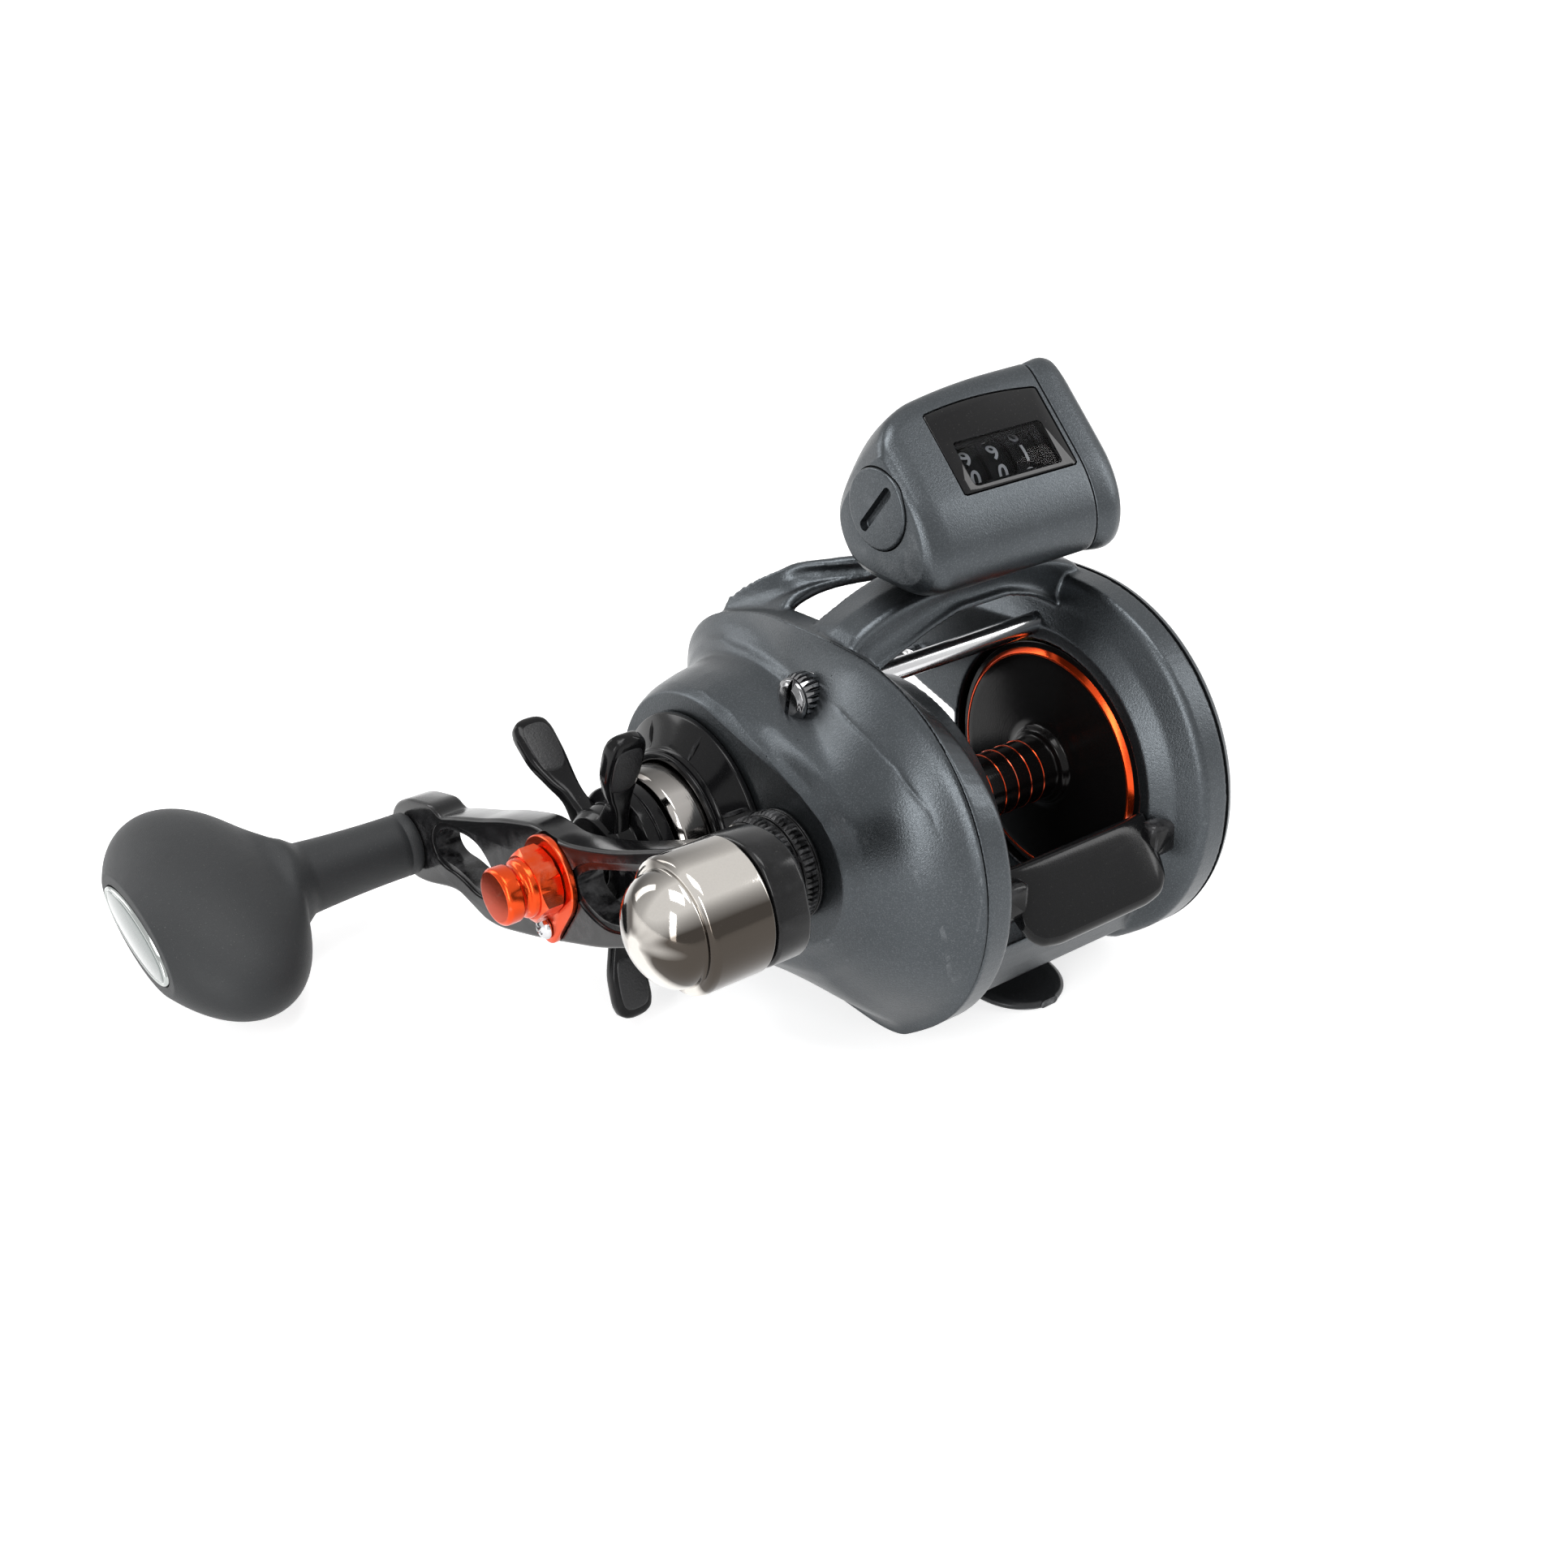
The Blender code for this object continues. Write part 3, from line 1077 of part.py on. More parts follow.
def line_guide():
    """The carriage on the worm, with the line's eye standing in front of it."""
    half = GUIDE_HALF_WIDTH
    y, z = worm_at
    low = z - 4.4 * MM
    body = box("carriage", (-half, y - 4.6 * MM, low), (half, y + 4.6 * MM, z + 4.2 * MM), 0.8 * MM)
    neck = box("neck", (-half, y + 3.4 * MM, low), (half, y + EYE_AHEAD + 1.2 * MM, z - 2.2 * MM), 0.4 * MM)
    post = box("post", (-half, rail_at.x - 2.4 * MM, z + 2 * MM),
               (half, rail_at.x + 2.4 * MM, rail_at.y + 2.2 * MM), 0.6 * MM)
    plate = place(flat("eye_plate", [circle(EYE_RADIUS + 1.3 * MM, sides=24)], 2.2 * MM), 0.0, across=False)
    plate.rotation_euler = (math.pi / 2, 0, 0)
    plate.location = spool_axis + Vector((0, y + EYE_AHEAD, z + 1.4 * MM))
    join(body, neck, post, plate)
    eye = turned("eye_hole", [(0, 8 * MM), (EYE_RADIUS + GAP, 8 * MM), (EYE_RADIUS + GAP, 0), (0, 0)], 24)
    eye.rotation_euler = (math.pi / 2, 0, 0)
    eye.location = spool_axis + Vector((0, y + EYE_AHEAD + 4 * MM, z + 1.4 * MM))
    cut(body, rod("worm_bore", WORM_RADIUS + RUNNING, -half - MM, half + MM, worm_at),
        rod("rail_bore", RAIL_RADIUS + RUNNING, -half - MM, half + MM, rail_at, 12), eye)
    body.name = "line_guide"
    smooth(body)
    finish(body, GLOSS_BLACK)
    inner, outer, deep = EYE_RADIUS - 1.0 * MM, EYE_RADIUS, 1.5 * MM
    profile = [(inner, 0.6 * MM), (inner + 0.5 * MM, deep), (outer, deep), (outer, -deep),
               (inner + 0.5 * MM, -deep), (inner, -0.6 * MM)]
    ring = turned("guide_insert", profile, 24)
    ring.rotation_euler = (math.pi / 2, 0, 0)
    ring.location = spool_axis + Vector((0, y + EYE_AHEAD, z + 1.4 * MM))
    finish(ring, STEEL)


# ---------------------------------------------------------------- controls

def cast_control_cap():
    """The knurled cap on the spool axis: a closed cup over the cover's threaded boss."""
    base = COVER_TOP_X + GAP
    end = base + CAP_LENGTH
    inner = CAP_THREAD_RADIUS + RUNNING
    profile = [(0, end - 1.2 * MM), (inner, end - 1.2 * MM), (inner, base), (CAP_RADIUS, base),
               (CAP_RADIUS, base + 3.4 * MM), (CAP_RADIUS - 0.5 * MM, base + 3.7 * MM),
               (CAP_RADIUS - 0.2 * MM, base + 4.0 * MM), (CAP_RADIUS - 0.4 * MM, end - 1.6 * MM),
               (CAP_RADIUS - 1.6 * MM, end - 0.4 * MM), (CAP_RADIUS - 3 * MM, end), (0, end)]
    finish(place(turned("cast_control_cap", [(r, -x) for r, x in profile], 28)), GLOSS_BLACK)


def cover_thumb_screw():
    low, high = SCREW_HEAD_X
    r, shank = THUMB_SCREW_RADIUS, THUMB_SCREW_SHANK
    profile = [(0, high), (r - 0.6 * MM, high), (r, high - 0.6 * MM), (r, low), (shank, low),
               (shank, RING_OUTER_X - 5.0 * MM), (0, RING_OUTER_X - 5.0 * MM)]
    screw = place(turned("cover_thumb_screw", [(a, -x) for a, x in profile], 24), 0.0, screw_at)
    slot = box("slot", (-high - MM, -5 * MM, -0.5 * MM), (-high + 1.0 * MM, 5 * MM, 0.5 * MM))
    slot.location += Vector((0, screw_at.x, screw_at.y))
    slot.rotation_euler = (math.radians(100), 0, 0)
    cut(screw, slot)
    turn_about(screw, 0.0, screw_at)
    smooth(screw)
    finish(screw, DARK_CHROME)


def star_drag():
    """The drag star: a stepped hub and five paddles."""
    start = SLEEVE_X[1] + 0.5 * MM
    out = -STAR_X + 1.6 * MM
    bore = DRIVE_SHAFT_RADIUS + GAP
    profile = [(bore, out), (7.4 * MM, out), (8.6 * MM, out - 1.2 * MM), (8.8 * MM, start + 5.2 * MM),
               (SLEEVE_RADIUS - 2.8 * MM, start + 4.6 * MM), (SLEEVE_RADIUS - 1.6 * MM, start + 3.4 * MM),
               (SLEEVE_RADIUS - 1.2 * MM, start), (bore, start)]
    hub = place(turned("star_drag", [(r, -x) for r, x in profile], ROUND), 0.0, drive_at)
    # share of the reach, half width across X, half thickness, shift along X
    stations = ((0.24, 2.0, 3.2, 1.0), (0.42, 1.7, 1.9, 0.9), (0.56, 2.5, 1.6, 0.4), (0.74, 3.4, 1.9, 0.0),
                (0.90, 3.5, 2.0, 0.0), (0.975, 2.7, 1.6, 0.0), (1.0, 1.4, 0.9, 0.0))
    paddles = []
    for k in range(STAR_ARMS):
        angle = STAR_PHASE + 2 * math.pi * k / STAR_ARMS
        out_way = Vector((0.0, math.cos(angle), math.sin(angle)))
        side_way = Vector((0.0, -math.sin(angle), math.cos(angle)))
        rings = []
        for share, wide, thick, shift in stations:
            centre = Vector((STAR_X + shift * MM, drive_at.x, drive_at.y)) + out_way * (share * STAR_RADIUS)
            ring = []
            for a, b in ((1, 0.4), (0.6, 1), (-0.6, 1), (-1, 0.4),
                         (-1, -0.4), (-0.6, -1), (0.6, -1), (1, -0.4)):
                ring.append(centre + Vector((a * wide * MM, 0, 0)) + side_way * (b * thick * MM))
            rings.append(ring)
        paddles.append(loft("paddle", rings))
    join(hub, *paddles)
    turn_about(hub, 0.0, drive_at)
    smooth(hub, 40)
    finish(hub, GLOSS_BLACK)


def thumb_bar():
    """The clutch bar behind the spool: a leaning plate with a tab running in each side plate."""
    section = ((0.0, -0.2), (0.13, 0.9), (0.30, 0.6), (0.98, -8.6), (1.0, -10.4), (0.87, -11.7),
               (0.45, -9.0), (0.02, -6.4))
    front, back = BAR_FRONT, BAR_BACK
    half = BAR_HALF_WIDTH
    rings = []
    for x, share in ((-half, 0.72), (-half * 0.94, 0.86), (-half * 0.8, 0.96), (-half * 0.55, 1.0),
                     (half * 0.55, 1.0), (half * 0.8, 0.96), (half * 0.94, 0.86), (half, 0.72)):
        ring = []
        for reach, z in section:
            ring.append((x, front + (back - front) * reach * share, z * share * MM if z < 0 else z * MM))
        rings.append(ring)
    bar = loft("thumb_bar", rings)
    for side in (-1, 1):
        low, high = sorted((side * (half - 2 * MM), side * TAB_END_X))
        join(bar, box("tab", (low, TAB_BACK, TAB_BOTTOM), (high, TAB_FRONT, TAB_TOP)))
    smooth(bar, 40)
    finish(bar, GLOSS_BLACK)


# ---------------------------------------------------------------- handle

def arm_point(u, v):
    """A point on the arm's plane, u along the arm toward the knob and v across it, as (y, z)."""
    along = Vector((math.cos(ARM_ANGLE), math.sin(ARM_ANGLE)))
    across = Vector((-math.sin(ARM_ANGLE), math.cos(ARM_ANGLE)))
    return drive_at + along * u + across * v


knob_at = arm_point(KNOB_REACH, 0.0)
weight_at = arm_point(-WEIGHT_REACH, WEIGHT_RISE)


def handle_arm():
    """The power handle: two rails with windows between the knob's boss, hub and counterweight."""
    knob, weight = KNOB_REACH / MM, -WEIGHT_REACH / MM
    # u, lower edge, upper edge
    edges = ((weight - 9.8, 0.7, 5.9), (weight - 8.4, -2.9, 9.5), (weight - 4.6, -5.7, 12.3),
             (weight, -6.7, 13.2), (weight + 6, -6.6, 12.2), (weight + 12, -7.4, 10.0),
             (-31, -8.1, 8.3), (-20, -9.1, 6.9), (-13, -10.2, 6.5), (-8, -10.8, 6.4),
             (-4, -11.1, 6.7), (0, -11.4, 7.8), (4, -11.7, 8.6), (knob - 37.7, -12.2, 8.3),
             (knob - 28.7, -12.4, 7.4), (knob - 23.3, -11.8, 7.0), (knob - 18.2, -9.5, 6.6),
             (knob - 13.7, -7.6, 6.2), (knob - 10.5, -7.4, 8.0),
             (knob - 3, -7.6, 8.2), (knob + 2, -7.2, 7.4), (knob + 5.6, -5.2, 5.4), (knob + 7.6, -2.2, 2.4))
    rings = []
    for u, low, high in edges:
        ring = []
        for v, x in ((low, 0.25), (low, 0.75), (low + 0.9, 1.0), (high - 0.9, 1.0), (high, 0.75),
                     (high, 0.25), (high - 0.9, 0.0), (low + 0.9, 0.0)):
            y, z = arm_point(u * MM, v * MM)
            ring.append((ARM_X - ARM_THICKNESS * x, y, z))
        rings.append(ring)
    body = loft("handle_arm", rings)

    def window(points):
        outline = [tuple(arm_point(u * MM, v * MM)) for u, v in round_corners(points, 1)]
        return place(flat("window", [outline], 40 * MM), ARM_X)
    knob_window = window([(knob - 29.2, -4.6), (knob - 28.3, -0.9), (knob - 24.2, 3.4), (knob - 13, 4.2),
                          (knob - 8.6, 1.4), (knob - 9.6, -2.2), (knob - 16, -3.4), (knob - 23.2, -7.2)])
    weight_window = window([(-6.6, -2.0), (-8.2, 2.4), (-25.8, 4.2), (weight + 15, 5.6),
                            (weight + 12.6, 2.6), (weight + 15, -2.6), (-19, -5.8), (-12.7, -5.7)])
    seat = place(flat("seat", [retainer_outline(GAP)], 2 * RETAINER_DEPTH), -ARM_OUT_X, drive_at)
    cut(body, knob_window, weight_window, seat,
        rod("shaft_hole", DRIVE_SHAFT_RADIUS * 0.7 + GAP, -ARM_OUT_X - MM, ARM_X + MM, drive_at),
        rod("knob_hole", SPINDLE_RADIUS + GAP, -ARM_OUT_X - MM, ARM_X + MM, knob_at),
        rod("weight_hole", 2.6 * MM + GAP, -ARM_OUT_X - MM, WEIGHT_STUD_X + GAP, weight_at, 12),
        rod("screw_hole", 0.9 * MM + GAP, -ARM_OUT_X - MM, -ARM_OUT_X + RETAINER_DEPTH + 3 * MM,
            retainer_screw_at(), 12))
    body.name = "handle_arm"
    smooth(body, 35)
    finish(body, GLOSS_BLACK)


def retainer_screw_at():
    return drive_at + Vector((math.cos(RETAINER_ANGLE), math.sin(RETAINER_ANGLE))) * RETAINER_REACH


def retainer_outline(margin=0.0):
    """A teardrop round the nut and its lock screw, about the drive axis."""
    small = retainer_screw_at() - drive_at
    spots = circle(7.4 * MM + margin, sides=28) + circle(2.9 * MM + margin, small, 16)
    return [spots[i] for i in convex_hull_2d(spots)]


def handle_fittings():
    """The orange retainer and nut, the lock screw, the knob's spindle and the counterweight."""
    seat = ARM_OUT_X - RETAINER_DEPTH + GAP
    thick = 1.2 * MM
    small = retainer_screw_at() - drive_at
    plate = flat("nut_retainer", [retainer_outline(), circle(3.1 * MM, sides=SMALL_ROUND),
                                  circle(0.9 * MM + GAP, small, 12)], thick)
    finish(place(plate, -seat - thick / 2, drive_at), ORANGE)

    base = seat + thick + 0.25 * MM
    hexagon = circle(6.3 * MM, sides=6, phase=math.radians(12))
    nut = place(flat("hexagon", [hexagon], 4.0 * MM), -base - 2.0 * MM, drive_at)
    profile = [(0, base + 9.4 * MM), (4.4 * MM, base + 9.4 * MM), (4.8 * MM, base + 9.0 * MM),
               (4.8 * MM, base + 6.6 * MM), (4.1 * MM, base + 6.0 * MM), (4.1 * MM, base + 5.4 * MM),
               (4.9 * MM, base + 4.9 * MM), (5.1 * MM, base + 3.0 * MM), (0, base + 3.0 * MM)]
    join(nut, place(turned("cap", [(r, -x) for r, x in profile], 24), 0.0, drive_at))
    cut(nut, rod("bore", DRIVE_SHAFT_RADIUS * 0.7 + GAP, -base - 3.2 * MM, -base + MM, drive_at))
    nut.name = "handle_nut"
    smooth(nut)
    finish(nut, ORANGE)

    head = seat + thick + 0.1 * MM
    profile = [(0, head + 1.5 * MM), (1.0 * MM, head + 1.3 * MM), (1.8 * MM, head + 0.7 * MM),
               (2.0 * MM, head), (0.9 * MM, head), (0.9 * MM, head - 3.6 * MM), (0, head - 3.6 * MM)]
    finish(place(turned("retainer_screw", [(r, -x) for r, x in profile], SMALL_ROUND), 0.0,
                 retainer_screw_at()), STEEL)

    inner = -ARM_X - 1.2 * MM
    tip = -SPINDLE_END_X
    profile = [(0, tip), (SPINDLE_RADIUS, tip), (SPINDLE_RADIUS, -ARM_X - 0.1 * MM),
               (3.8 * MM, -ARM_X - GAP), (3.2 * MM, inner), (0, inner)]
    finish(place(turned("knob_spindle", [(r, -x) for r, x in profile], SMALL_ROUND), 0.0, knob_at), STEEL)

    face = -WEIGHT_FACE_X + GAP
    r = WEIGHT_RADIUS
    dome = r - 1.7 * MM
    shoulder = face + 10.6 * MM
    profile = [(0, -WEIGHT_STUD_X), (2.6 * MM, -WEIGHT_STUD_X), (2.6 * MM, face), (r - 0.5 * MM, face),
               (r, face + 0.5 * MM), (r, shoulder - 1.0 * MM), (r - 0.9 * MM, shoulder), (dome, shoulder)]
    for i in range(1, 6):
        angle = math.radians(18 * i)
        profile.append((dome * math.cos(angle), shoulder + 6.2 * MM * math.sin(angle)))
    profile[-1] = (0, profile[-1][1])
    finish(place(turned("counterweight", [(a, -x) for a, x in profile], 28), 0.0, weight_at), NICKEL)


def oval_ring(x, long, short):
    """An ellipse about the knob's axis at x, its long way along the knob's tilt."""
    along = Vector((0.0, math.cos(KNOB_TILT), math.sin(KNOB_TILT)))
    across = Vector((0.0, -math.sin(KNOB_TILT), math.cos(KNOB_TILT)))
    centre = Vector((x, knob_at.x, knob_at.y))
    ring = []
    for i in range(KNOB_SIDES):
        angle = 2 * math.pi * i / KNOB_SIDES
        ring.append(centre + along * (long * math.cos(angle)) + across * (short * math.sin(angle)))
    return ring


def knob_reach(x):
    """The knob's half length and half width at x: a round stem that runs into the oval swell."""
    deep, long, wide = KNOB_HALF
    stem = KNOB_STEM_RADIUS + 0.3 * MM
    share = 1.0 - ((x - KNOB_X) / deep) ** 2
    swell = math.sqrt(max(0.0, share))
    flare = 2.4 * MM * math.exp(-(((x - KNOB_X) - deep * 0.98) / (2.6 * MM)) ** 2)
    return [((stem + flare) ** 4 + (reach * swell) ** 4) ** 0.25 for reach in (long, wide)]


def handle_knob():
    """The power knob: a round stem that swells into an oval, cut flat for its end plate."""
    start = -ARM_OUT_X - 0.4 * MM
    stem = KNOB_STEM_RADIUS
    rings = [oval_ring(start, stem - 0.3 * MM, stem - 0.3 * MM), oval_ring(start - 0.6 * MM, stem, stem),
             oval_ring(start - 14 * MM, stem + 0.3 * MM, stem + 0.3 * MM)]
    first = KNOB_X + KNOB_HALF[0] + 3.0 * MM
    for share in (0.0, 0.08, 0.14, 0.20, 0.27, 0.36, 0.47, 0.60, 0.72, 0.82, 0.90, 0.96, 1.0):
        x = first + (KNOB_FLAT_X - first) * share
        rings.append(oval_ring(x, *knob_reach(x)))
    knob = loft("handle_knob", rings)
    bore = SPINDLE_RADIUS + RUNNING
    cut(knob, rod("bore", bore, KNOB_BORE_END_X, start + MM, knob_at),
        oval("recess", KNOB_PLATE[0] + GAP, KNOB_PLATE[1] + GAP, KNOB_FLAT_X + 1.2 * MM, KNOB_FLAT_X - MM))
    turn_about(knob, 0.0, knob_at)
    smooth(knob, 45)
    finish(knob, RUBBER)
    outer = KNOB_FLAT_X - 0.5 * MM
    rings = [oval_ring(KNOB_FLAT_X + 0.9 * MM, *KNOB_PLATE), oval_ring(outer, *KNOB_PLATE),
             oval_ring(outer - 0.5 * MM, KNOB_PLATE[0] * 0.9, KNOB_PLATE[1] * 0.86),
             oval_ring(outer - 0.8 * MM, KNOB_PLATE[0] * 0.6, KNOB_PLATE[1] * 0.5)]
    plate = loft("knob_end_plate", rings)
    turn_about(plate, 0.0, knob_at)
    finish(plate, EMBLEM_GREY)


def oval(name, long, short, low_x, high_x):
    return loft(name, [oval_ring(low_x, long, short), oval_ring(high_x, long, short)])


def main():
    clear_scene()
    make_collections()
    frame()
    reel_foot()
    foot_screws()
    handle_side_cover()
    palm_side_cover()
    gear_plate()
    bearings()
    brake_plate()
    bridge_rods()
    drive_tube()
    counter_housing()
    counter_end_cap()
    counter_window()
    reset_dial()
    digit_wheels()
    counter_axle()
    spool()
    drive_gears()
    pinion()
    clutch_yoke()
    drive_train()
    worm_shaft()
    line_guide()
    cast_control_cap()
    cover_thumb_screw()
    star_drag()
    thumb_bar()
    handle_arm()
    handle_fittings()
    handle_knob()


main()
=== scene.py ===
import json
import math

import bmesh
import bpy
import numpy as np
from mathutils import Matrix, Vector
from mathutils.geometry import convex_hull_2d


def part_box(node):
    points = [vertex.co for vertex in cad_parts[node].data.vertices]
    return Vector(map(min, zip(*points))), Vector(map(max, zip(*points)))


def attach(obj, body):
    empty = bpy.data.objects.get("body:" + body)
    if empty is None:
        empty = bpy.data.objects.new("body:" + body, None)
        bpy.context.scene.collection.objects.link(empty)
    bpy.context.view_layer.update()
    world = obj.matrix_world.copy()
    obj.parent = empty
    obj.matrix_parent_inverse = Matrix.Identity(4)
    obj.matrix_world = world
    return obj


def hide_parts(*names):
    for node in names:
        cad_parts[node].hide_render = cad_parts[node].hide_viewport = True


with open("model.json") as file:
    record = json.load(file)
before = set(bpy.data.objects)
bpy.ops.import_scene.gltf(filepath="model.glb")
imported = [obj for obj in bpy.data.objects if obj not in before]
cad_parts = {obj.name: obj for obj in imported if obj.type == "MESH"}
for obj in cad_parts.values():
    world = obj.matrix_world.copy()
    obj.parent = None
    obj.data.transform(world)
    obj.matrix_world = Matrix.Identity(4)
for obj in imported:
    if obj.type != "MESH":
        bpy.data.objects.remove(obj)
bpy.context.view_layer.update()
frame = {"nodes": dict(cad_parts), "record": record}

mm = 0.001


def middleOf(node):
    low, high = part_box(node)
    return (low + high) / 2


spoolMiddle = middleOf("spool")


def axisOf(node):
    # (y, z) of a turned node, in millimetres from the spool's axis
    away = (middleOf(node) - spoolMiddle) / mm
    return np.array((away.y, away.z))


driveAxis = axisOf("drive_tube")
knobAxis = axisOf("knob_spindle")
weightAxis = axisOf("counterweight")
digitAxis = axisOf("digit_wheel_tens")
screwAxis = axisOf("cover_thumb_screw")
wormAxis = axisOf("worm_gear")
rodAxis = axisOf("top_rod")
railAxis = axisOf("guide_rail")
spoolAxis = np.array((0.0, 0.0))


def reachOf(node):
    # lowest and highest x of a node, in millimetres
    low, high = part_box(node)
    return low.x / mm, high.x / mm


# shapes: everything is built in millimetres from the middle of the spool

def headings(turn):
    # where an angle points, and the way to its left
    way = np.array((math.cos(turn), math.sin(turn)))
    return way, np.array((-way[1], way[0]))


def around(count, turn):
    # equal headings, the first at turn degrees
    return [headings(math.radians(turn) + 2 * math.pi * k / count) for k in range(count)]


def layer(x, flat, along="x"):
    # points from flat pairs and their place along the axis that the pairs leave out
    return np.insert(np.asarray(flat, float), "xyz".index(along), x, axis=1)


def newObject(name, data):
    obj = bpy.data.objects.new(name, data)
    bpy.context.scene.collection.objects.link(obj)
    return obj


def meshObject(name, points, faces):
    mesh = bpy.data.meshes.new(name)
    spots = np.asarray(points, float) * mm + np.array(spoolMiddle)
    mesh.from_pydata(spots.tolist(), [], faces)
    return faceOutwards(newObject(name, mesh))


def faceOutwards(obj, merge=0.002):
    work = bmesh.new()
    work.from_mesh(obj.data)
    bmesh.ops.remove_doubles(work, verts=work.verts, dist=merge * mm)
    bmesh.ops.recalc_face_normals(work, faces=work.faces)
    work.to_mesh(obj.data)
    work.free()
    return obj


def loftRings(name, rings, first="flat", last="flat", joined=False):
    # a skin through equal rings; each end is flat, round (a pole) or open, or the rings join up
    rings = [np.asarray(ring, float) for ring in rings]
    count, rows = len(rings[0]), len(rings)
    points = [tuple(p) for ring in rings for p in ring]
    faces = []
    for row in range(rows if joined else rows - 1):
        a, b = row * count, ((row + 1) % rows) * count
        for i in range(count):
            j = (i + 1) % count
            faces.append((a + i, a + j, b + j, b + i))
    for end, row in ((first, 0), (last, rows - 1)):
        if joined or end == "open":
            continue
        start = row * count
        if end == "flat":
            faces.append(tuple(range(start, start + count)))
        else:
            points.append(tuple(rings[row].mean(axis=0)))
            for i in range(count):
                faces.append((start + i, start + (i + 1) % count, len(points) - 1))
    return meshObject(name, points, faces)


def roundProfile(points, radius, closed=False, steps=4):
    # each corner of a profile becomes a small curve
    points = [np.array(p, float) for p in points]
    made = []
    count = len(points)
    for i, corner in enumerate(points):
        if not closed and i in (0, count - 1):
            made.append(tuple(corner))
            continue
        before, after = points[i - 1] - corner, points[(i + 1) % count] - corner
        one, two = np.linalg.norm(before), np.linalg.norm(after)
        reach = min(radius, 0.42 * one, 0.42 * two)
        start, stop = corner + before / one * reach, corner + after / two * reach
        for k in range(steps + 1):
            t = k / steps
            made.append(tuple((1 - t) ** 2 * start + 2 * t * (1 - t) * corner + t * t * stop))
    return made


def roundPairs(radius, axis, sides):
    # radius is one number, or one for each pair
    spin = np.arange(sides) * 2 * math.pi / sides
    return np.stack((axis[0] + radius * np.cos(spin), axis[1] + radius * np.sin(spin)), 1)


def turnedPiece(name, profile, axis, sides=96, along="x"):
    # (x, radius) points turned about an axis across the reel, or (y or z, radius) about one along y or z
    closed = min(r for x, r in profile) > 1e-6
    rings = [layer(x, roundPairs(max(r, 1e-5), axis, sides), along) for x, r in profile]
    return loftRings(name, rings, joined=closed)


def chaikin(points, passes=2):
    for _ in range(passes):
        made = []
        for p, q in zip(points, points[1:] + points[:1]):
            p, q = np.array(p, float), np.array(q, float)
            made += [tuple(0.75 * p + 0.25 * q), tuple(0.25 * p + 0.75 * q)]
        points = made
    return points


def circle(radius, centre=(0.0, 0.0), sides=64, phase=0.0):
    spin = phase + np.arange(sides) * 2 * math.pi / sides
    return [(centre[0] + radius * math.cos(a), centre[1] + radius * math.sin(a)) for a in spin]


def hull(points):
    return [points[i] for i in convex_hull_2d([Vector(p) for p in points])]


def slotOutline(axis, turn, reach, half, sides):
    # round-ended, its turn in degrees
    way = headings(math.radians(turn))[0] * reach
    return hull(circle(half, axis + way, sides) + circle(half, axis - way, sides))


def grown(outline, amount):
    # an outline moved out along its own normals
    points = np.array(outline, float)
    edge = np.roll(points, -1, 0) - np.roll(points, 1, 0)
    normal = np.stack((edge[:, 1], -edge[:, 0]), 1)
    normal /= np.linalg.norm(normal, axis=1)[:, None]
    turn = np.sum(points[:, 0] * np.roll(points[:, 1], -1) - np.roll(points[:, 0], -1) * points[:, 1])
    return (points + normal * (amount if turn > 0 else -amount)).tolist()


def evenly(outline, count):
    # a closed outline read at equal steps of its length
    points = np.array(list(outline) + [outline[0]], float)
    run = np.concatenate(([0], np.cumsum(np.linalg.norm(np.diff(points, axis=0), axis=1))))
    at = np.arange(count) * run[-1] / count
    return np.stack([np.interp(at, run, points[:, k]) for k in range(points.shape[1])], 1).tolist()


def slab(name, outline, low, high, edge=0.3, steps=3):
    # a plate across x with rounded edges
    rings = []
    for x, way in ((low, 1), (high, -1)):
        turns = [k / steps * math.pi / 2 for k in range(steps + 1)]
        for a in (turns if way > 0 else reversed(turns)):
            rings.append(layer(x + way * edge * (1 - math.cos(a)), grown(outline, -edge * (1 - math.sin(a)))))
    return loftRings(name, rings)


def block(name, low, high, edge=0.4):
    xs, ys, zs = zip(low, high)
    obj = meshObject(name, [(x, y, z) for x in xs for y in ys for z in zs],
                     [(0, 1, 3, 2), (4, 6, 7, 5), (0, 4, 5, 1), (2, 3, 7, 6), (0, 2, 6, 4), (1, 5, 7, 3)])
    if edge:
        work = bmesh.new()
        work.from_mesh(obj.data)
        bmesh.ops.bevel(work, geom=list(work.edges), offset=edge * mm, segments=3, profile=0.5,
                        affect='EDGES')
        work.to_mesh(obj.data)
        work.free()
    return obj


def bar(name, radius, low, high, axis, sides=48, along="x"):
    return turnedPiece(name, [(low, 0), (low, radius), (high, radius), (high, 0)], axis, sides, along)


def holes(rows):
    # (radius, low, high, axis), with sides where they are not 48
    return [bar("hole", *row) for row in rows]


def settle(obj):
    # modifiers become the mesh
    bpy.context.view_layer.update()
    mesh = bpy.data.meshes.new_from_object(obj.evaluated_get(bpy.context.evaluated_depsgraph_get()))
    obj.modifiers.clear()
    obj.data = mesh
    return obj


def carve(obj, tools, operation="DIFFERENCE", solver="MANIFOLD"):
    for tool in tools:
        modifier = obj.modifiers.new("carve", "BOOLEAN")
        modifier.operation, modifier.solver, modifier.object = operation, solver, tool
        settle(obj)
        bpy.data.objects.remove(tool)
    return faceOutwards(obj, 0.0005)


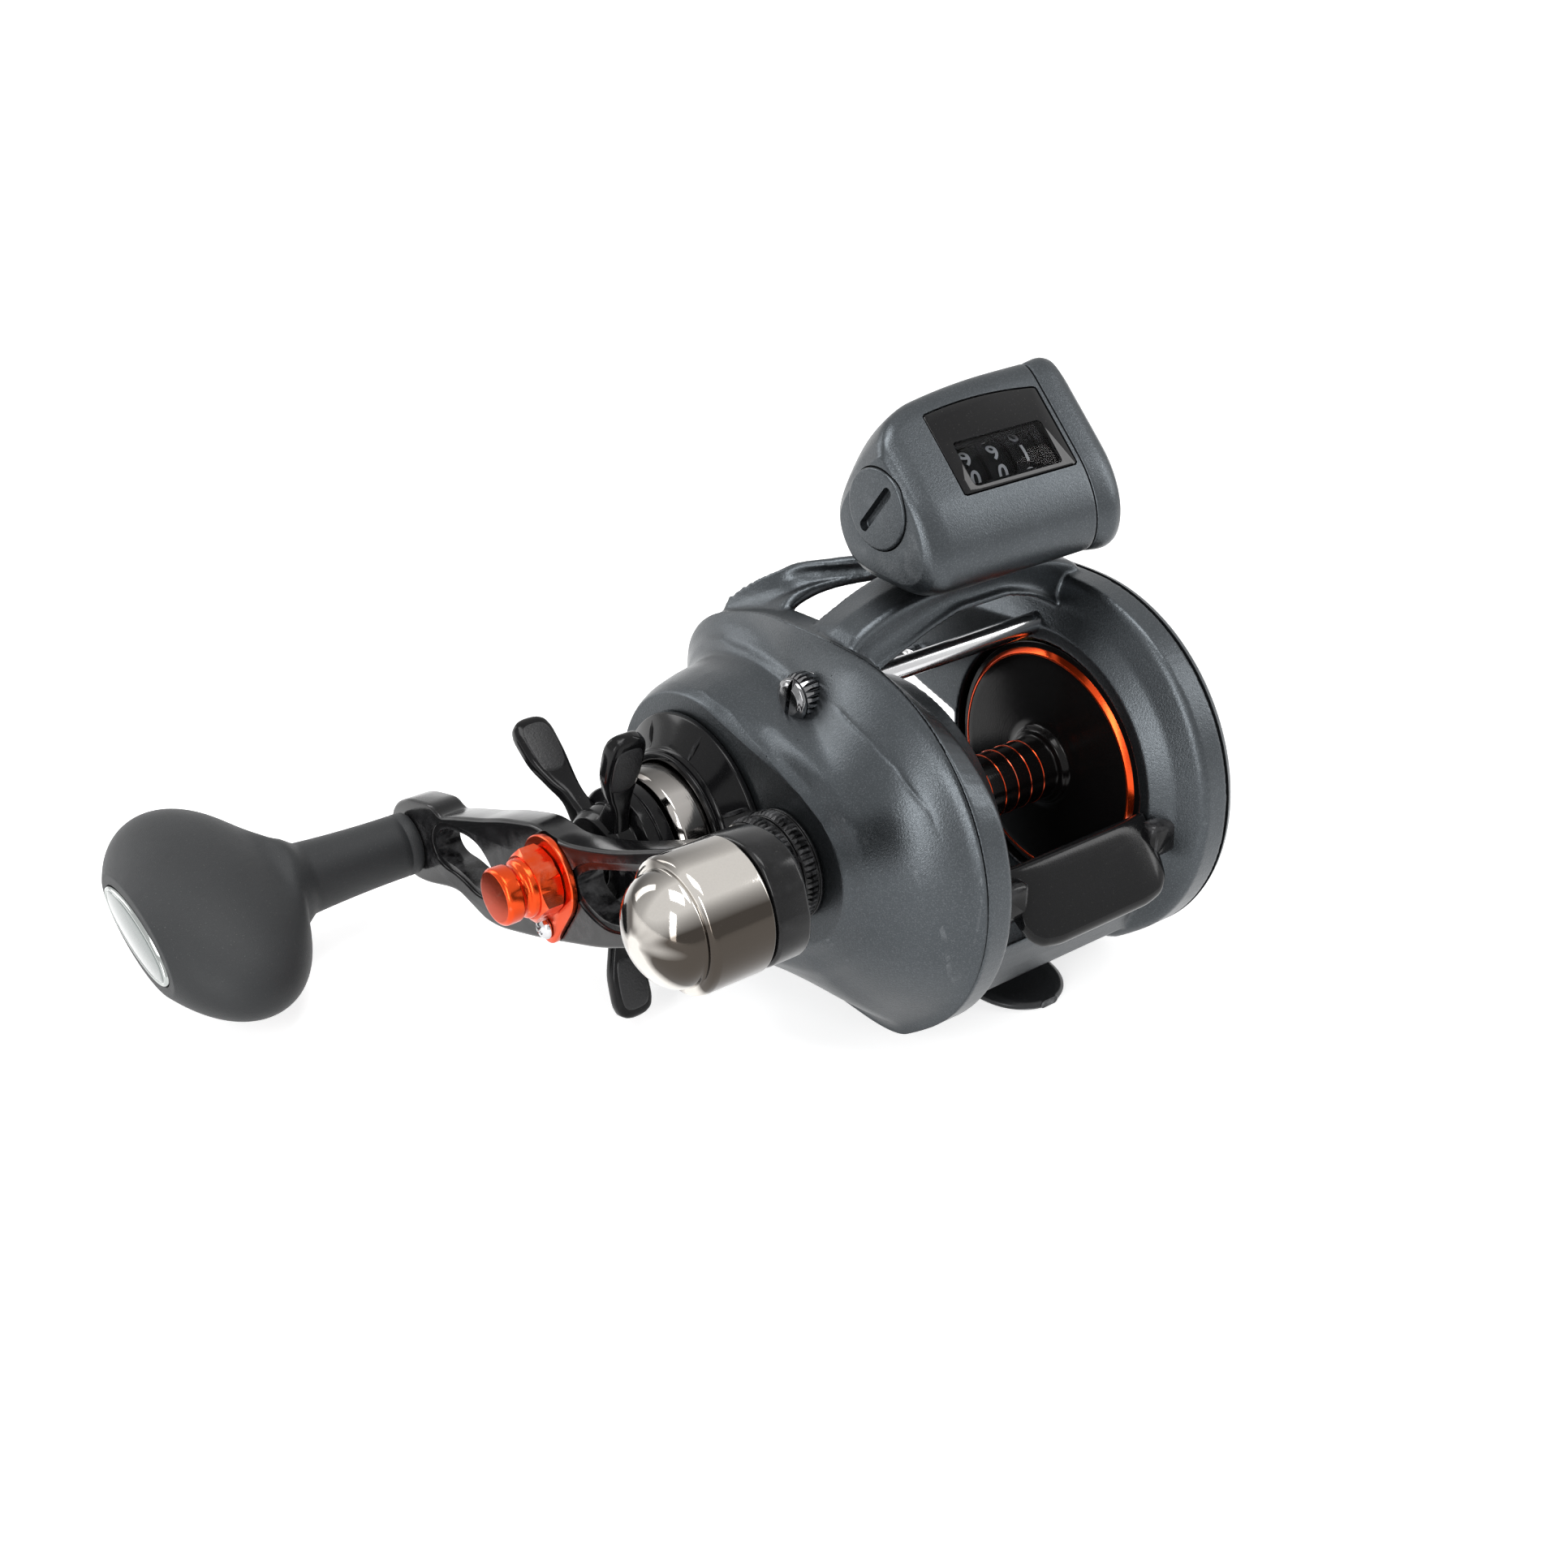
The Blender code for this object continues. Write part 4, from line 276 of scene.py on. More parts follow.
def cast(obj, voxel, rounds, most=190000):
    # melts overlapping shells into one casting with soft inside corners
    remesh = obj.modifiers.new("melt", "REMESH")
    remesh.mode, remesh.voxel_size = "VOXEL", voxel * mm
    smooth = obj.modifiers.new("soften", "SMOOTH")
    smooth.factor, smooth.iterations = 0.5, rounds
    settle(obj)
    triangles = 2 * len(obj.data.polygons)
    if triangles > most:
        thin = obj.modifiers.new("thin", "DECIMATE")
        thin.ratio = most / triangles
        settle(obj)
    return obj


def joinShells(name, shells):
    work = bmesh.new()
    for shell in shells:
        work.from_mesh(shell.data)
        bpy.data.objects.remove(shell)
    mesh = bpy.data.meshes.new(name)
    work.to_mesh(mesh)
    work.free()
    return newObject(name, mesh)


def smoothCurve(xs, ys):
    # a curve through points that never overshoots them
    xs, ys = np.array(xs, float), np.array(ys, float)
    step = np.diff(xs)
    slope = np.diff(ys) / step
    lean = np.zeros(len(xs))
    for i in range(1, len(xs) - 1):
        if slope[i - 1] * slope[i] > 0:
            one, two = 2 * step[i] + step[i - 1], step[i] + 2 * step[i - 1]
            lean[i] = (one + two) / (one / slope[i - 1] + two / slope[i])
    lean[0], lean[-1] = slope[0], slope[-1]

    def at(x):
        x = np.clip(np.asarray(x, float), xs[0], xs[-1])
        i = np.clip(np.searchsorted(xs, x, side="right") - 1, 0, len(xs) - 2)
        t = (x - xs[i]) / step[i]
        return ((2 * t ** 3 - 3 * t ** 2 + 1) * ys[i] + (t ** 3 - 2 * t ** 2 + t) * step[i] * lean[i]
                + (3 * t ** 2 - 2 * t ** 3) * ys[i + 1] + (t ** 3 - t ** 2) * step[i] * lean[i + 1])
    return at


def curvesThrough(rows):
    # one smooth curve for each column after the first
    columns = np.array(rows, float).T
    order = np.argsort(columns[0])
    return [smoothCurve(columns[0][order], column[order]) for column in columns[1:]]


bodyOf = {node: body for body, nodes in frame["record"]["behaviour"]["bodies"].items() for node in nodes}
looks = {}


def finishPiece(obj, look, node, sharp=35, extra=False):
    # an extra piece stands beside the one that replaces the node
    obj.data.materials.clear()
    obj.data.materials.append(looks[look])
    obj.data.shade_smooth()
    obj.data.set_sharp_from_angle(angle=math.radians(sharp))
    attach(obj, bodyOf[node])
    if not extra:
        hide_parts(node)
    return obj


def refinedCopy(name, node, width, angle, segments):
    # a CAD node with its edges broken
    obj = faceOutwards(newObject(name, frame["nodes"][node].data.copy()), 0.004)
    work = bmesh.new()
    work.from_mesh(obj.data)
    bmesh.ops.dissolve_limit(work, angle_limit=math.radians(1.0), verts=work.verts, edges=work.edges)
    work.to_mesh(obj.data)
    work.free()
    bevel = obj.modifiers.new("edge", "BEVEL")
    bevel.width, bevel.segments = width * mm, segments
    bevel.limit_method, bevel.angle_limit = "ANGLE", math.radians(angle)
    bevel.use_clamp_overlap = True
    return settle(obj)


# materials: shared effects first

def addNode(tree, kind, inputs=(), **settings):
    made = tree.nodes.new(kind)
    for key, value in settings.items():
        setattr(made, key, value)
    for key, value in dict(inputs).items():
        if isinstance(value, bpy.types.NodeSocket):
            tree.links.new(value, made.inputs[key])
        else:
            made.inputs[key].default_value = value
    return made


def feed(tree, kind, inputs=(), **settings):
    return addNode(tree, kind, inputs, **settings).outputs[0]


def sums(tree, operation, a, b=0.0, clamp=False):
    return feed(tree, "ShaderNodeMath", {0: a, 1: b}, operation=operation, use_clamp=clamp)


def ranged(tree, value, low, high, toLow=0.0, toHigh=1.0):
    return feed(tree, "ShaderNodeMapRange", {"Value": value, "From Min": low, "From Max": high,
                                             "To Min": toLow, "To Max": toHigh})


def mixed(tree, share, a, b):
    return addNode(tree, "ShaderNodeMix", {0: share, 6: a, 7: b}, data_type="RGBA").outputs[2]


def shaderGroup(name, inputs, output):
    # plain numbers go in, and endGroup sends one result out
    tree = bpy.data.node_groups.new(name, "ShaderNodeTree")
    for label, value in inputs.items():
        socket = tree.interface.new_socket(name=label, in_out="INPUT", socket_type="NodeSocketFloat")
        socket.default_value = value
    tree.interface.new_socket(name=output, in_out="OUTPUT", socket_type="NodeSocketFloat")
    return tree, tree.nodes.new("NodeGroupInput").outputs


def endGroup(tree, value):
    tree.links.new(value, tree.nodes.new("NodeGroupOutput").inputs[0])
    return tree


def objectPlace(tree):
    return addNode(tree, "ShaderNodeTexCoord").outputs["Object"]


def perSize(tree, size):
    # a texture scale from a size in millimetres
    return sums(tree, "DIVIDE", 1 / mm, size)


def noiseOf(tree, place, scale, detail=2.0, roughness=0.5):
    return feed(tree, "ShaderNodeTexNoise", {"Vector": place, "Scale": scale, "Detail": detail,
                                             "Roughness": roughness})


def fromAxis(tree, given):
    # x, and y and z from an axis across the reel
    split = addNode(tree, "ShaderNodeSeparateXYZ", {0: objectPlace(tree)}).outputs
    return split["X"], sums(tree, "SUBTRACT", split["Y"], given["Ahead"]), \
        sums(tree, "SUBTRACT", split["Z"], given["Above"])


def grainHeight():
    # cast or sprayed grain
    tree, given = shaderGroup("grainHeight", {"Grain Size": 0.3}, "Height")
    return endGroup(tree, noiseOf(tree, objectPlace(tree), perSize(tree, given["Grain Size"]), 3.0, 0.6))


def grainTone():
    # the same grain's shade, with a slower drift of tone
    tree, given = shaderGroup("grainTone", {"Grain Size": 0.3, "Tone": 0.1}, "Tone")
    place, scale = objectPlace(tree), perSize(tree, given["Grain Size"])
    fine = noiseOf(tree, place, scale, 3.0, 0.6)
    slow = noiseOf(tree, place, sums(tree, "MULTIPLY", scale, 0.02), 2.0)
    both = sums(tree, "ADD", sums(tree, "MULTIPLY", sums(tree, "SUBTRACT", fine, 0.5), 1.2),
                sums(tree, "SUBTRACT", slow, 0.5))
    return endGroup(tree, sums(tree, "ADD", sums(tree, "MULTIPLY", both, given["Tone"]), 0.5, True))


def metalFlake():
    # small bright flakes in a sprayed coat
    tree, given = shaderGroup("metalFlake", {"Flake Size": 0.12, "Amount": 0.5}, "Mask")
    cells = addNode(tree, "ShaderNodeTexVoronoi", {"Vector": objectPlace(tree),
                                                   "Scale": perSize(tree, given["Flake Size"])}, feature="F1")
    pick = feed(tree, "ShaderNodeSeparateColor", {0: cells.outputs["Color"]})
    return endGroup(tree, sums(tree, "MULTIPLY", ranged(tree, pick, 0.72, 1.0), given["Amount"]))


def edgeWear():
    # paint rubbed thin on outer edges, broken up by noise
    tree, given = shaderGroup("edgeWear", {"Amount": 0.4, "Patch Size": 3.0}, "Mask")
    edge = ranged(tree, addNode(tree, "ShaderNodeNewGeometry").outputs["Pointiness"], 0.52, 0.60)
    noise = noiseOf(tree, objectPlace(tree), perSize(tree, given["Patch Size"]), 4.0, 0.65)
    patch = ranged(tree, noise, 0.42, 0.66)
    return endGroup(tree, sums(tree, "MULTIPLY", sums(tree, "MULTIPLY", edge, patch), given["Amount"], True))


def surfaceDust():
    # specks that lie where a surface looks up
    tree, given = shaderGroup("surfaceDust", {"Amount": 0.2, "Speck Size": 0.5}, "Mask")
    normal = addNode(tree, "ShaderNodeNewGeometry").outputs["Normal"]
    up = addNode(tree, "ShaderNodeSeparateXYZ", {0: normal}).outputs["Z"]
    noise = noiseOf(tree, objectPlace(tree), perSize(tree, given["Speck Size"]), 4.0, 0.7)
    specks = ranged(tree, noise, 0.62, 0.74)
    lying = sums(tree, "MULTIPLY", ranged(tree, up, -0.2, 0.9), specks)
    return endGroup(tree, sums(tree, "MULTIPLY", lying, given["Amount"], True))


def softScuffs():
    # a roughness that wanders between two values, with faint rub marks
    tree, given = shaderGroup("softScuffs", {"Lowest": 0.2, "Highest": 0.3, "Size": 6.0}, "Roughness")
    place, scale = objectPlace(tree), perSize(tree, given["Size"])
    long = feed(tree, "ShaderNodeMapping", {"Vector": place, "Scale": (0.25, 1.0, 3.0),
                                            "Rotation": (0.4, 0.3, 0.7)})
    rub = ranged(tree, noiseOf(tree, long, sums(tree, "MULTIPLY", scale, 4.0), 2.0), 0.55, 0.8)
    both = sums(tree, "ADD", sums(tree, "MULTIPLY", noiseOf(tree, place, scale, 3.0, 0.6), 0.75),
                sums(tree, "MULTIPLY", rub, 0.35), True)
    span = sums(tree, "SUBTRACT", given["Highest"], given["Lowest"])
    return endGroup(tree, sums(tree, "ADD", sums(tree, "MULTIPLY", both, span), given["Lowest"]))


def turnedMarks():
    # fine rings left by a lathe about an axis across the reel
    tree, given = shaderGroup("turnedMarks", {"Ahead": 0.0, "Above": 0.0, "Ring Size": 0.25}, "Height")
    x, y, z = fromAxis(tree, given)
    away = sums(tree, "SQRT", sums(tree, "ADD", sums(tree, "MULTIPLY", y, y), sums(tree, "MULTIPLY", z, z)))
    flat = feed(tree, "ShaderNodeCombineXYZ", {0: away, 1: x, 2: 0.0})
    return endGroup(tree, noiseOf(tree, flat, perSize(tree, given["Ring Size"]), 2.0, 0.7))


def burnishedBands():
    # broad bands of painted reflection that run along a polished round part, in another colour than the metal
    inputs = {"Ahead": 0.0, "Above": 0.0, "Bands": 1.2, "Share": 0.5, "Seed": 0.0}
    tree, given = shaderGroup("burnishedBands", inputs, "Mask")
    x, y, z = fromAxis(tree, given)
    across = feed(tree, "ShaderNodeCombineXYZ", {0: y, 1: z, 2: 0.0})
    away = addNode(tree, "ShaderNodeVectorMath", {0: across}, operation="LENGTH").outputs["Value"]
    reach = sums(tree, "DIVIDE", given["Bands"], sums(tree, "ADD", away, 0.004))
    spread = feed(tree, "ShaderNodeVectorMath", {0: across, "Scale": reach}, operation="SCALE")
    drift = feed(tree, "ShaderNodeCombineXYZ", {0: given["Seed"], 1: 0.0, 2: sums(tree, "MULTIPLY", x, 9.0)})
    place = feed(tree, "ShaderNodeVectorMath", {0: spread, 1: drift}, operation="ADD")
    low, high = (sums(tree, sign, given["Share"], 0.07) for sign in ("SUBTRACT", "ADD"))
    return endGroup(tree, ranged(tree, noiseOf(tree, place, 1.0, 1.5, 0.5), low, high))


heightGroup, toneGroup, flakeGroup, wearGroup = grainHeight(), grainTone(), metalFlake(), edgeWear()
dustGroup, scuffGroup, turnedGroup, reflectionBandGroup = surfaceDust(), softScuffs(), turnedMarks(), burnishedBands()


def placed(tree, group, inputs, axis=None):
    # a shared effect's result, read from an axis across the reel where it has one
    node = tree.nodes.new("ShaderNodeGroup")
    node.node_tree = group
    if axis is not None:
        inputs.update({"Ahead": spoolMiddle.y + axis[0] * mm, "Above": spoolMiddle.z + axis[1] * mm})
    for key, value in inputs.items():
        node.inputs[key].default_value = value
    return node.outputs[0]


def makeLook(name, colour, roughness=(0.25, 0.35), metallic=0.0, tone=0.15, grain=(0.3, 0.05), flake=None,
             wear=None, dust=(0.15, 0.5), turned=None, coat=None, sheen=0.0, ior=1.5, scuff=6.0, specular=0.5,
             bands=None):
    # grain: (size, bump strength); flake: (size, amount, colour); wear: (amount, colour)
    # turned: (axis, size, bump strength); bands: painted reflection bands, (axis, how many, share, seed,
    # colour)
    look = bpy.data.materials.new(name)
    look.use_nodes = True
    tree = look.node_tree
    shader = tree.nodes["Principled BSDF"].inputs
    dark = tuple(c * (1 - tone) for c in colour) + (1.0,)
    light = tuple(min(1.0, c * (1 + tone)) for c in colour) + (1.0,)
    shade = mixed(tree, placed(tree, toneGroup, {"Grain Size": grain[0], "Tone": 0.9}), dark, light)
    layers = []
    # bands: painted reflection streaks mixed into the base colour
    if bands:
        axis, many, share, seed, paintedReflectionColour = bands
        layers.append((placed(tree, reflectionBandGroup, {"Bands": many, "Share": share, "Seed": seed}, axis), paintedReflectionColour))
    if flake:
        layers.append((placed(tree, flakeGroup, {"Flake Size": flake[0], "Amount": flake[1]}), flake[2]))
    if wear:
        layers.append((placed(tree, wearGroup, {"Amount": wear[0], "Patch Size": 3.0}), wear[1]))
    dusty = placed(tree, dustGroup, {"Amount": dust[0], "Speck Size": dust[1]})
    for mask, over in layers + [(dusty, (0.32, 0.31, 0.29))]:
        shade = mixed(tree, mask, shade, (*over, 1.0))
    tree.links.new(shade, shader["Base Color"])
    scuffed = placed(tree, scuffGroup, {"Lowest": roughness[0], "Highest": roughness[1], "Size": scuff})
    tree.links.new(sums(tree, "ADD", scuffed, sums(tree, "MULTIPLY", dusty, 0.5), True), shader["Roughness"])
    bump = feed(tree, "ShaderNodeBump", {"Height": placed(tree, heightGroup, {"Grain Size": grain[0]}),
                                         "Strength": grain[1], "Distance": 0.0002})
    if turned:
        axis, size, strength = turned
        bump = feed(tree, "ShaderNodeBump", {"Height": placed(tree, turnedGroup, {"Ring Size": size}, axis),
                                             "Strength": strength, "Distance": 0.0002, "Normal": bump})
    tree.links.new(bump, shader["Normal"])
    values = {"Metallic": metallic, "IOR": ior, "Specular IOR Level": specular}
    if coat:
        values.update({"Coat Weight": coat[0], "Coat Roughness": coat[1]})
    if sheen:
        values.update({"Sheen Weight": sheen, "Sheen Roughness": 0.4})
    for label, value in values.items():
        shader[label].default_value = value
    return look


silver = (0.46, 0.48, 0.50)
gunmetal = {"colour": (0.060, 0.067, 0.073), "roughness": (0.28, 0.38), "metallic": 0.88, "tone": 0.16,
            "grain": (0.32, 0.22), "flake": (0.14, 0.22, (0.20, 0.215, 0.23)), "wear": (0.10, silver),
            "dust": (0.08, 0.5)}
glossBlack = {"colour": (0.005, 0.005, 0.0055), "roughness": (0.12, 0.20), "metallic": 0.0, "tone": 0.3,
              "grain": (0.5, 0.03), "wear": (0.3, (0.20, 0.20, 0.21)), "dust": (0.10, 0.45), "specular": 0.16}
satinBlack = {"colour": (0.030, 0.031, 0.033), "roughness": (0.30, 0.42), "metallic": 0.5, "tone": 0.2,
              "grain": (0.3, 0.25), "wear": (0.4, silver), "dust": (0.2, 0.4)}
orangeMetal = {"colour": (0.66, 0.062, 0.010), "roughness": (0.16, 0.26), "metallic": 0.9, "tone": 0.12,
               "grain": (0.2, 0.06), "wear": (0.3, (0.85, 0.60, 0.45)), "dust": (0.12, 0.3)}
brightSteel = {"colour": (0.60, 0.60, 0.61), "roughness": (0.12, 0.24), "metallic": 1.0, "tone": 0.08,
               "grain": (0.25, 0.03), "dust": (0.08, 0.3)}
softRubber = {"colour": (0.020, 0.0215, 0.023), "roughness": (0.50, 0.64), "metallic": 0.0, "tone": 0.18,
              "grain": (0.22, 0.30), "dust": (0.25, 0.3), "sheen": 0.05, "specular": 0.35}
machinedBrass = {"colour": (0.66, 0.47, 0.20), "roughness": (0.22, 0.36), "metallic": 1.0, "tone": 0.12,
                 "grain": (0.3, 0.08)}
whiteNylon = {"colour": (0.74, 0.75, 0.74), "roughness": (0.38, 0.5), "tone": 0.05, "grain": (0.4, 0.08)}
carbonMat = {"colour": (0.028, 0.028, 0.030), "roughness": (0.5, 0.65), "tone": 0.35, "grain": (0.25, 0.35)}


# the side plates' outlines, read as rays from one middle

outlines = {"middle": (9.0, -1.0), "back": 33.0, "bottom": 31.6, "front": 51.0, "capBoss": 12.5,
            "driveBoss": 22.3,  # radii of the plateau round the cast cap and the drive tube
            # crowd: above 1, more of a cover's rings lie near its rim
            "rays": 480, "castRays": 144, "crowd": 1.35}
plateMiddle = np.array(outlines["middle"])


def plateOutline(rounded=True):
    # round at the back, flat below, a short upright front, a sloping brow
    front, bottom, back = outlines["front"], -outlines["bottom"], outlines["back"]
    points = [(back * math.cos(a), back * math.sin(a)) for a in np.radians(np.linspace(88, 236, 13))]
    points += [(-12.5, bottom), (4, bottom), (front - 14, bottom), (front - 3, bottom + 5.5),
               (front, bottom + 15), (front, 10), (front - 1.2, 17.8), (front - 8.4, 24),
               (front - 18, back - 5.4), (24, back - 2.6), (12, back - 0.8)]
    return chaikin(points, 4) if rounded else points


def palmOutline():
    # as the handle side, but cut in at the front between the level wind's end and the nose
    front, bottom = outlines["front"], -outlines["bottom"]
    points = plateOutline(False)
    start, stop = points.index((front - 14, bottom)), points.index((front, 10))
    cut = [(front - 19, bottom), (front - 11, bottom + 4), (front - 9.5, -20.5), (34, -14.5), (29, -9.5),
           (28.2, -3), (30, 2.2), (41, 4.6), (front - 1, 7), (front, 9.5)]
    return chaikin(points[:start] + cut + points[stop + 1:], 3)


def raysTo(outline, count):
    # how far the outline is from the middle at equal angles
    points = np.array(outline) - plateMiddle
    angle = np.unwrap(np.arctan2(points[:, 1], points[:, 0]))
    reach = np.linalg.norm(points, axis=1)
    if angle[-1] < angle[0]:
        angle, reach = angle[::-1], reach[::-1]
    angle = np.concatenate((angle - 2 * math.pi, angle, angle + 2 * math.pi))
    reach = np.concatenate((reach, reach, reach))
    return np.interp(np.arange(count) * 2 * math.pi / count, angle, reach)


def bossOutline():
    # one plateau round the cast cap and the drive tube
    outline = hull(circle(outlines["capBoss"], sides=120) + circle(outlines["driveBoss"], driveAxis, 160))
    return evenly(outline, 720)


def ringAt(x, reach):
    spin = np.arange(len(reach)) * 2 * math.pi / len(reach)
    return np.stack((np.broadcast_to(x, reach.shape), plateMiddle[0] + reach * np.cos(spin),
                     plateMiddle[1] + reach * np.sin(spin)), 1)


def roundCurve(rows, count):
    # a curve over the angle round the plate, -180 to 180 degrees
    angles = (np.arange(count) * 360.0 / count + 180.0) % 360.0 - 180.0
    return curvesThrough(rows)[0](angles)


def sectorWeight(count, sector):
    # 1 inside the sector, falling smoothly to 0 past its run-out, in degrees
    angle = np.arange(count) * 360.0 / count
    away = np.abs((angle - sector[0] + 180.0) % 360.0 - 180.0) - sector[1]
    share = np.clip(1.0 - away / sector[2], 0.0, 1.0)
    return share * share * (3.0 - 2.0 * share)


def lineDistance(points, line):
    # how far (y, z) points are from a line of (y, z) points, and where along it, 0 to 1
    line = np.array(line, float)
    best = np.full(points.shape[:-1], 1e9)
    where = np.zeros(points.shape[:-1])
    for i, (a, b) in enumerate(zip(line, line[1:])):
        way = b - a
        t = np.clip(((points - a) @ way) / (way @ way), 0, 1)
        away = np.linalg.norm(points - (a + t[..., None] * way), axis=-1)
        closer = away < best
        best = np.where(closer, away, best)
        where = np.where(closer, (i + t) / (len(line) - 1), where)
    return best, where


# the frame: side plates, deck, saddle, bridge arch and front straps in one casting

castSizes = {"voxel": 0.36, "soften": 3, "bore": 22.3, "bearingWall": 16.8,
             # (x, step in from the outline, share of the handle side's shift, share of the notch)
             "sides": ((24.0, 0.0, 1, 0), (19.4, 0.0, 1, 1), (18.6, 0.75, 1, 1), (16.7, 4.87, 0.92, 0.6),
                       (14.3, 8.4, 0.63, 0)),
             "shift": 4.6, "shiftRound": ((-180, 1), (-75, 1), (-45, 0.3), (-25, 0), (20, 0), (50, 0.3),
                                          (80, 0.85), (105, 1), (180, 1)),
             "notch": ((-180, 0), (80, 0), (100, 3.0), (121, 4.8), (132, 3.4), (143, 1.8), (160, 0),
                       (180, 0)),
             "nearSide": -21.2, "farSide": 18.4,
             "deck": (-28.7, -24.6), "nose": (34.0, 41.0, -28.2, -17.0), "hub": (6.0, 5.0, 20.0, 33.0, 38.1),
             # (radius, first and last angle) of the hollow
             "saddle": (23.3, 215, 260),
             # (x, share of the shift, step in from the outline, share of the notch)
             "pocket": ((-21.4, 0.44, 3.0, 1), (-24.0, 1, 3.0, 0.3)), "boreEdge": 0.9,
             "strapWall": 3.2, "stalk": ((-8, -11, -31.1), (8, 29, -26)),
             # (radius, low, high, axis)
             "holes": ((2.9, -26, 18.3, wormAxis), (2.15, -23.0, 18.3, rodAxis), (1.5, -19.5, 18.3, railAxis),
                       (5.5, -26, -15.8, spoolAxis), (6.3, -26, -18.2, driveAxis),
                       (1.8, -26, -18.5, screwAxis)),
             "barSlots": ((-22.0, -14.3), (14.3, 19.9)), "footScrews": (1.6, (-4.0, 22.0))}
strapRows = ((23.9, 41, 22.6, 23.4, 28.4, 0), (23, 41.4, 24.6, 24.2, 29.0, 0.3),
             (21.5, 36.6, 29.6, 24.6, 29.8, 0.9), (19.5, 32, 33.2, 24.8, 30.4, 1.2),
             (17, 29.6, 35.2, 24.8, 30.8, 1.2), (14, 26.6, 36.2, 24.2, 31.4, 1.0),
             (8, 21.8, 37.0, 20.8, 32.6, 0.4), (4, 18, 36.4, 16.4, 33.4, 0))
archRows = ((23.9, 30.4, 31.9, 30.4, 23.6), (22.6, 31.9, 33.9, 33.2, 24.6), (19.4, 33.6, 35.5, 35.0, 26.6),
            (14.6, 36.0, 37.0, 36.5, 29.4), (9.6, 37.3, 37.9, 37.1, 31.6), (4.0, 37.7, 38.2, 37.3, 32.8),
            (-4.0, 37.7, 38.2, 37.3, 32.8), (-9.6, 37.3, 37.9, 37.1, 31.6), (-15.4, 36.0, 37.0, 36.5, 29.6),
            (-21.4, 33.8, 35.5, 35.0, 27.2), (-25.4, 31.9, 33.7, 33.0, 25.4), (-27.6, 30.0, 31.5, 30.6, 24.4))
castCount = outlines["castRays"]
castRays = raysTo(plateOutline(), castCount)
palmRays = raysTo(palmOutline(), castCount)
boreRays = raysTo(circle(castSizes["bore"], sides=720), castCount)
outerX = castSizes["sides"][0][0]
innerX, _, innerShare, _ = castSizes["sides"][-1]


def shiftRound(count):
    # how much further out the handle side stands, round the plate
    return castSizes["shift"] * roundCurve(castSizes["shiftRound"], count)


def sideRing(side):
    # the handle side stands further out at the back and is cut away under the arch
    near = max(-side, 0)
    shift, notch = near * shiftRound(castCount), near * roundCurve(castSizes["notch"], castCount)
    rays = palmRays if side > 0 else castRays
    skin = [ringAt(side * (x + shift * part), np.maximum(rays - less - notch * cut,
                                                         boreRays + castSizes["boreEdge"]))
            for x, less, part, cut in castSizes["sides"]]
    if side > 0:
        return loftRings("side", skin + [ringAt(innerX, boreRays), ringAt(outerX, boreRays)], joined=True)
    pocket = [ringAt(x - shift * part, castRays - less - notch * cut)
              for x, part, less, cut in castSizes["pocket"]]
    return loftRings("side", pocket + skin + [ringAt(-innerX - shift * innerShare, boreRays),
                                              ringAt(-castSizes["bearingWall"], boreRays)])


def frontStrap(side):
    # runs wide off the plate's brow, then narrows and tips up towards the middle
    curves = curvesThrough(strapRows)
    rings = []
    for x in np.linspace(23.9, 4.0, 34):
        a, b, c, d, scoop = (float(curve(x)) for curve in curves)
        front, rear, half = np.array((a, b)), np.array((c, d)), castSizes["strapWall"] / 2
        way = (rear - front) / np.linalg.norm(rear - front)
        up, reach = np.array((way[1], -way[0])), np.linalg.norm(rear - front)
        edge = half / reach
        shape = [(edge * (1 - math.cos(a)), half * math.sin(a)) for a in np.linspace(-1.4, 1.4, 7)]
        shape += [(0.36, half - scoop), (0.66, half - scoop)]
        shape += [(1 - edge * (1 - math.cos(a)), half * math.sin(a)) for a in np.linspace(1.4, -1.4, 7)]
        rings.append(layer(side * x, [front + way * share * reach + up * rise for share, rise in shape]))
    return loftRings("strap", rings)


def rearArch():
    # a flat band with a hollowed rear face and a thin lip round its opening
    curves = curvesThrough(archRows)
    rings = []
    for x in np.linspace(archRows[-1][0], archRows[0][0], 74):
        front, crest, crease, lip = (float(curve(x)) for curve in curves)
        hollow = lip + 0.4 * (crease - lip)
        rings.append(layer(x, ((13.2, lip + 0.6), (14.0, front), (12.8, front + 0.5), (8.0, crest),
                               (3.6, crease + 0.3), (2.7, crease - 0.4), (2.9, hollow + 1.2), (2.9, hollow),
                               (2.5, lip + 1.3), (1.7, lip + 0.8), (1.7, lip + 0.1))))
    return loftRings("arch", rings)


def rearSaddle():
    # the hollow bar under the thumb bar
    low, ends = castSizes["deck"][0], (castSizes["nearSide"], castSizes["farSide"])
    radius, start, stop = castSizes["saddle"]
    section = [(radius * math.cos(a), radius * math.sin(a)) for a in np.radians(np.linspace(start, stop, 14))]
    tail = [(-8, low + 0.7), (-14, low + 0.3), (-18.2, -25.7), (-20.2, -21.5), (-21.8, -17.6), (-22.6, -14.9)]
    return loftRings("saddle", [layer(x, section + tail) for x in ends])


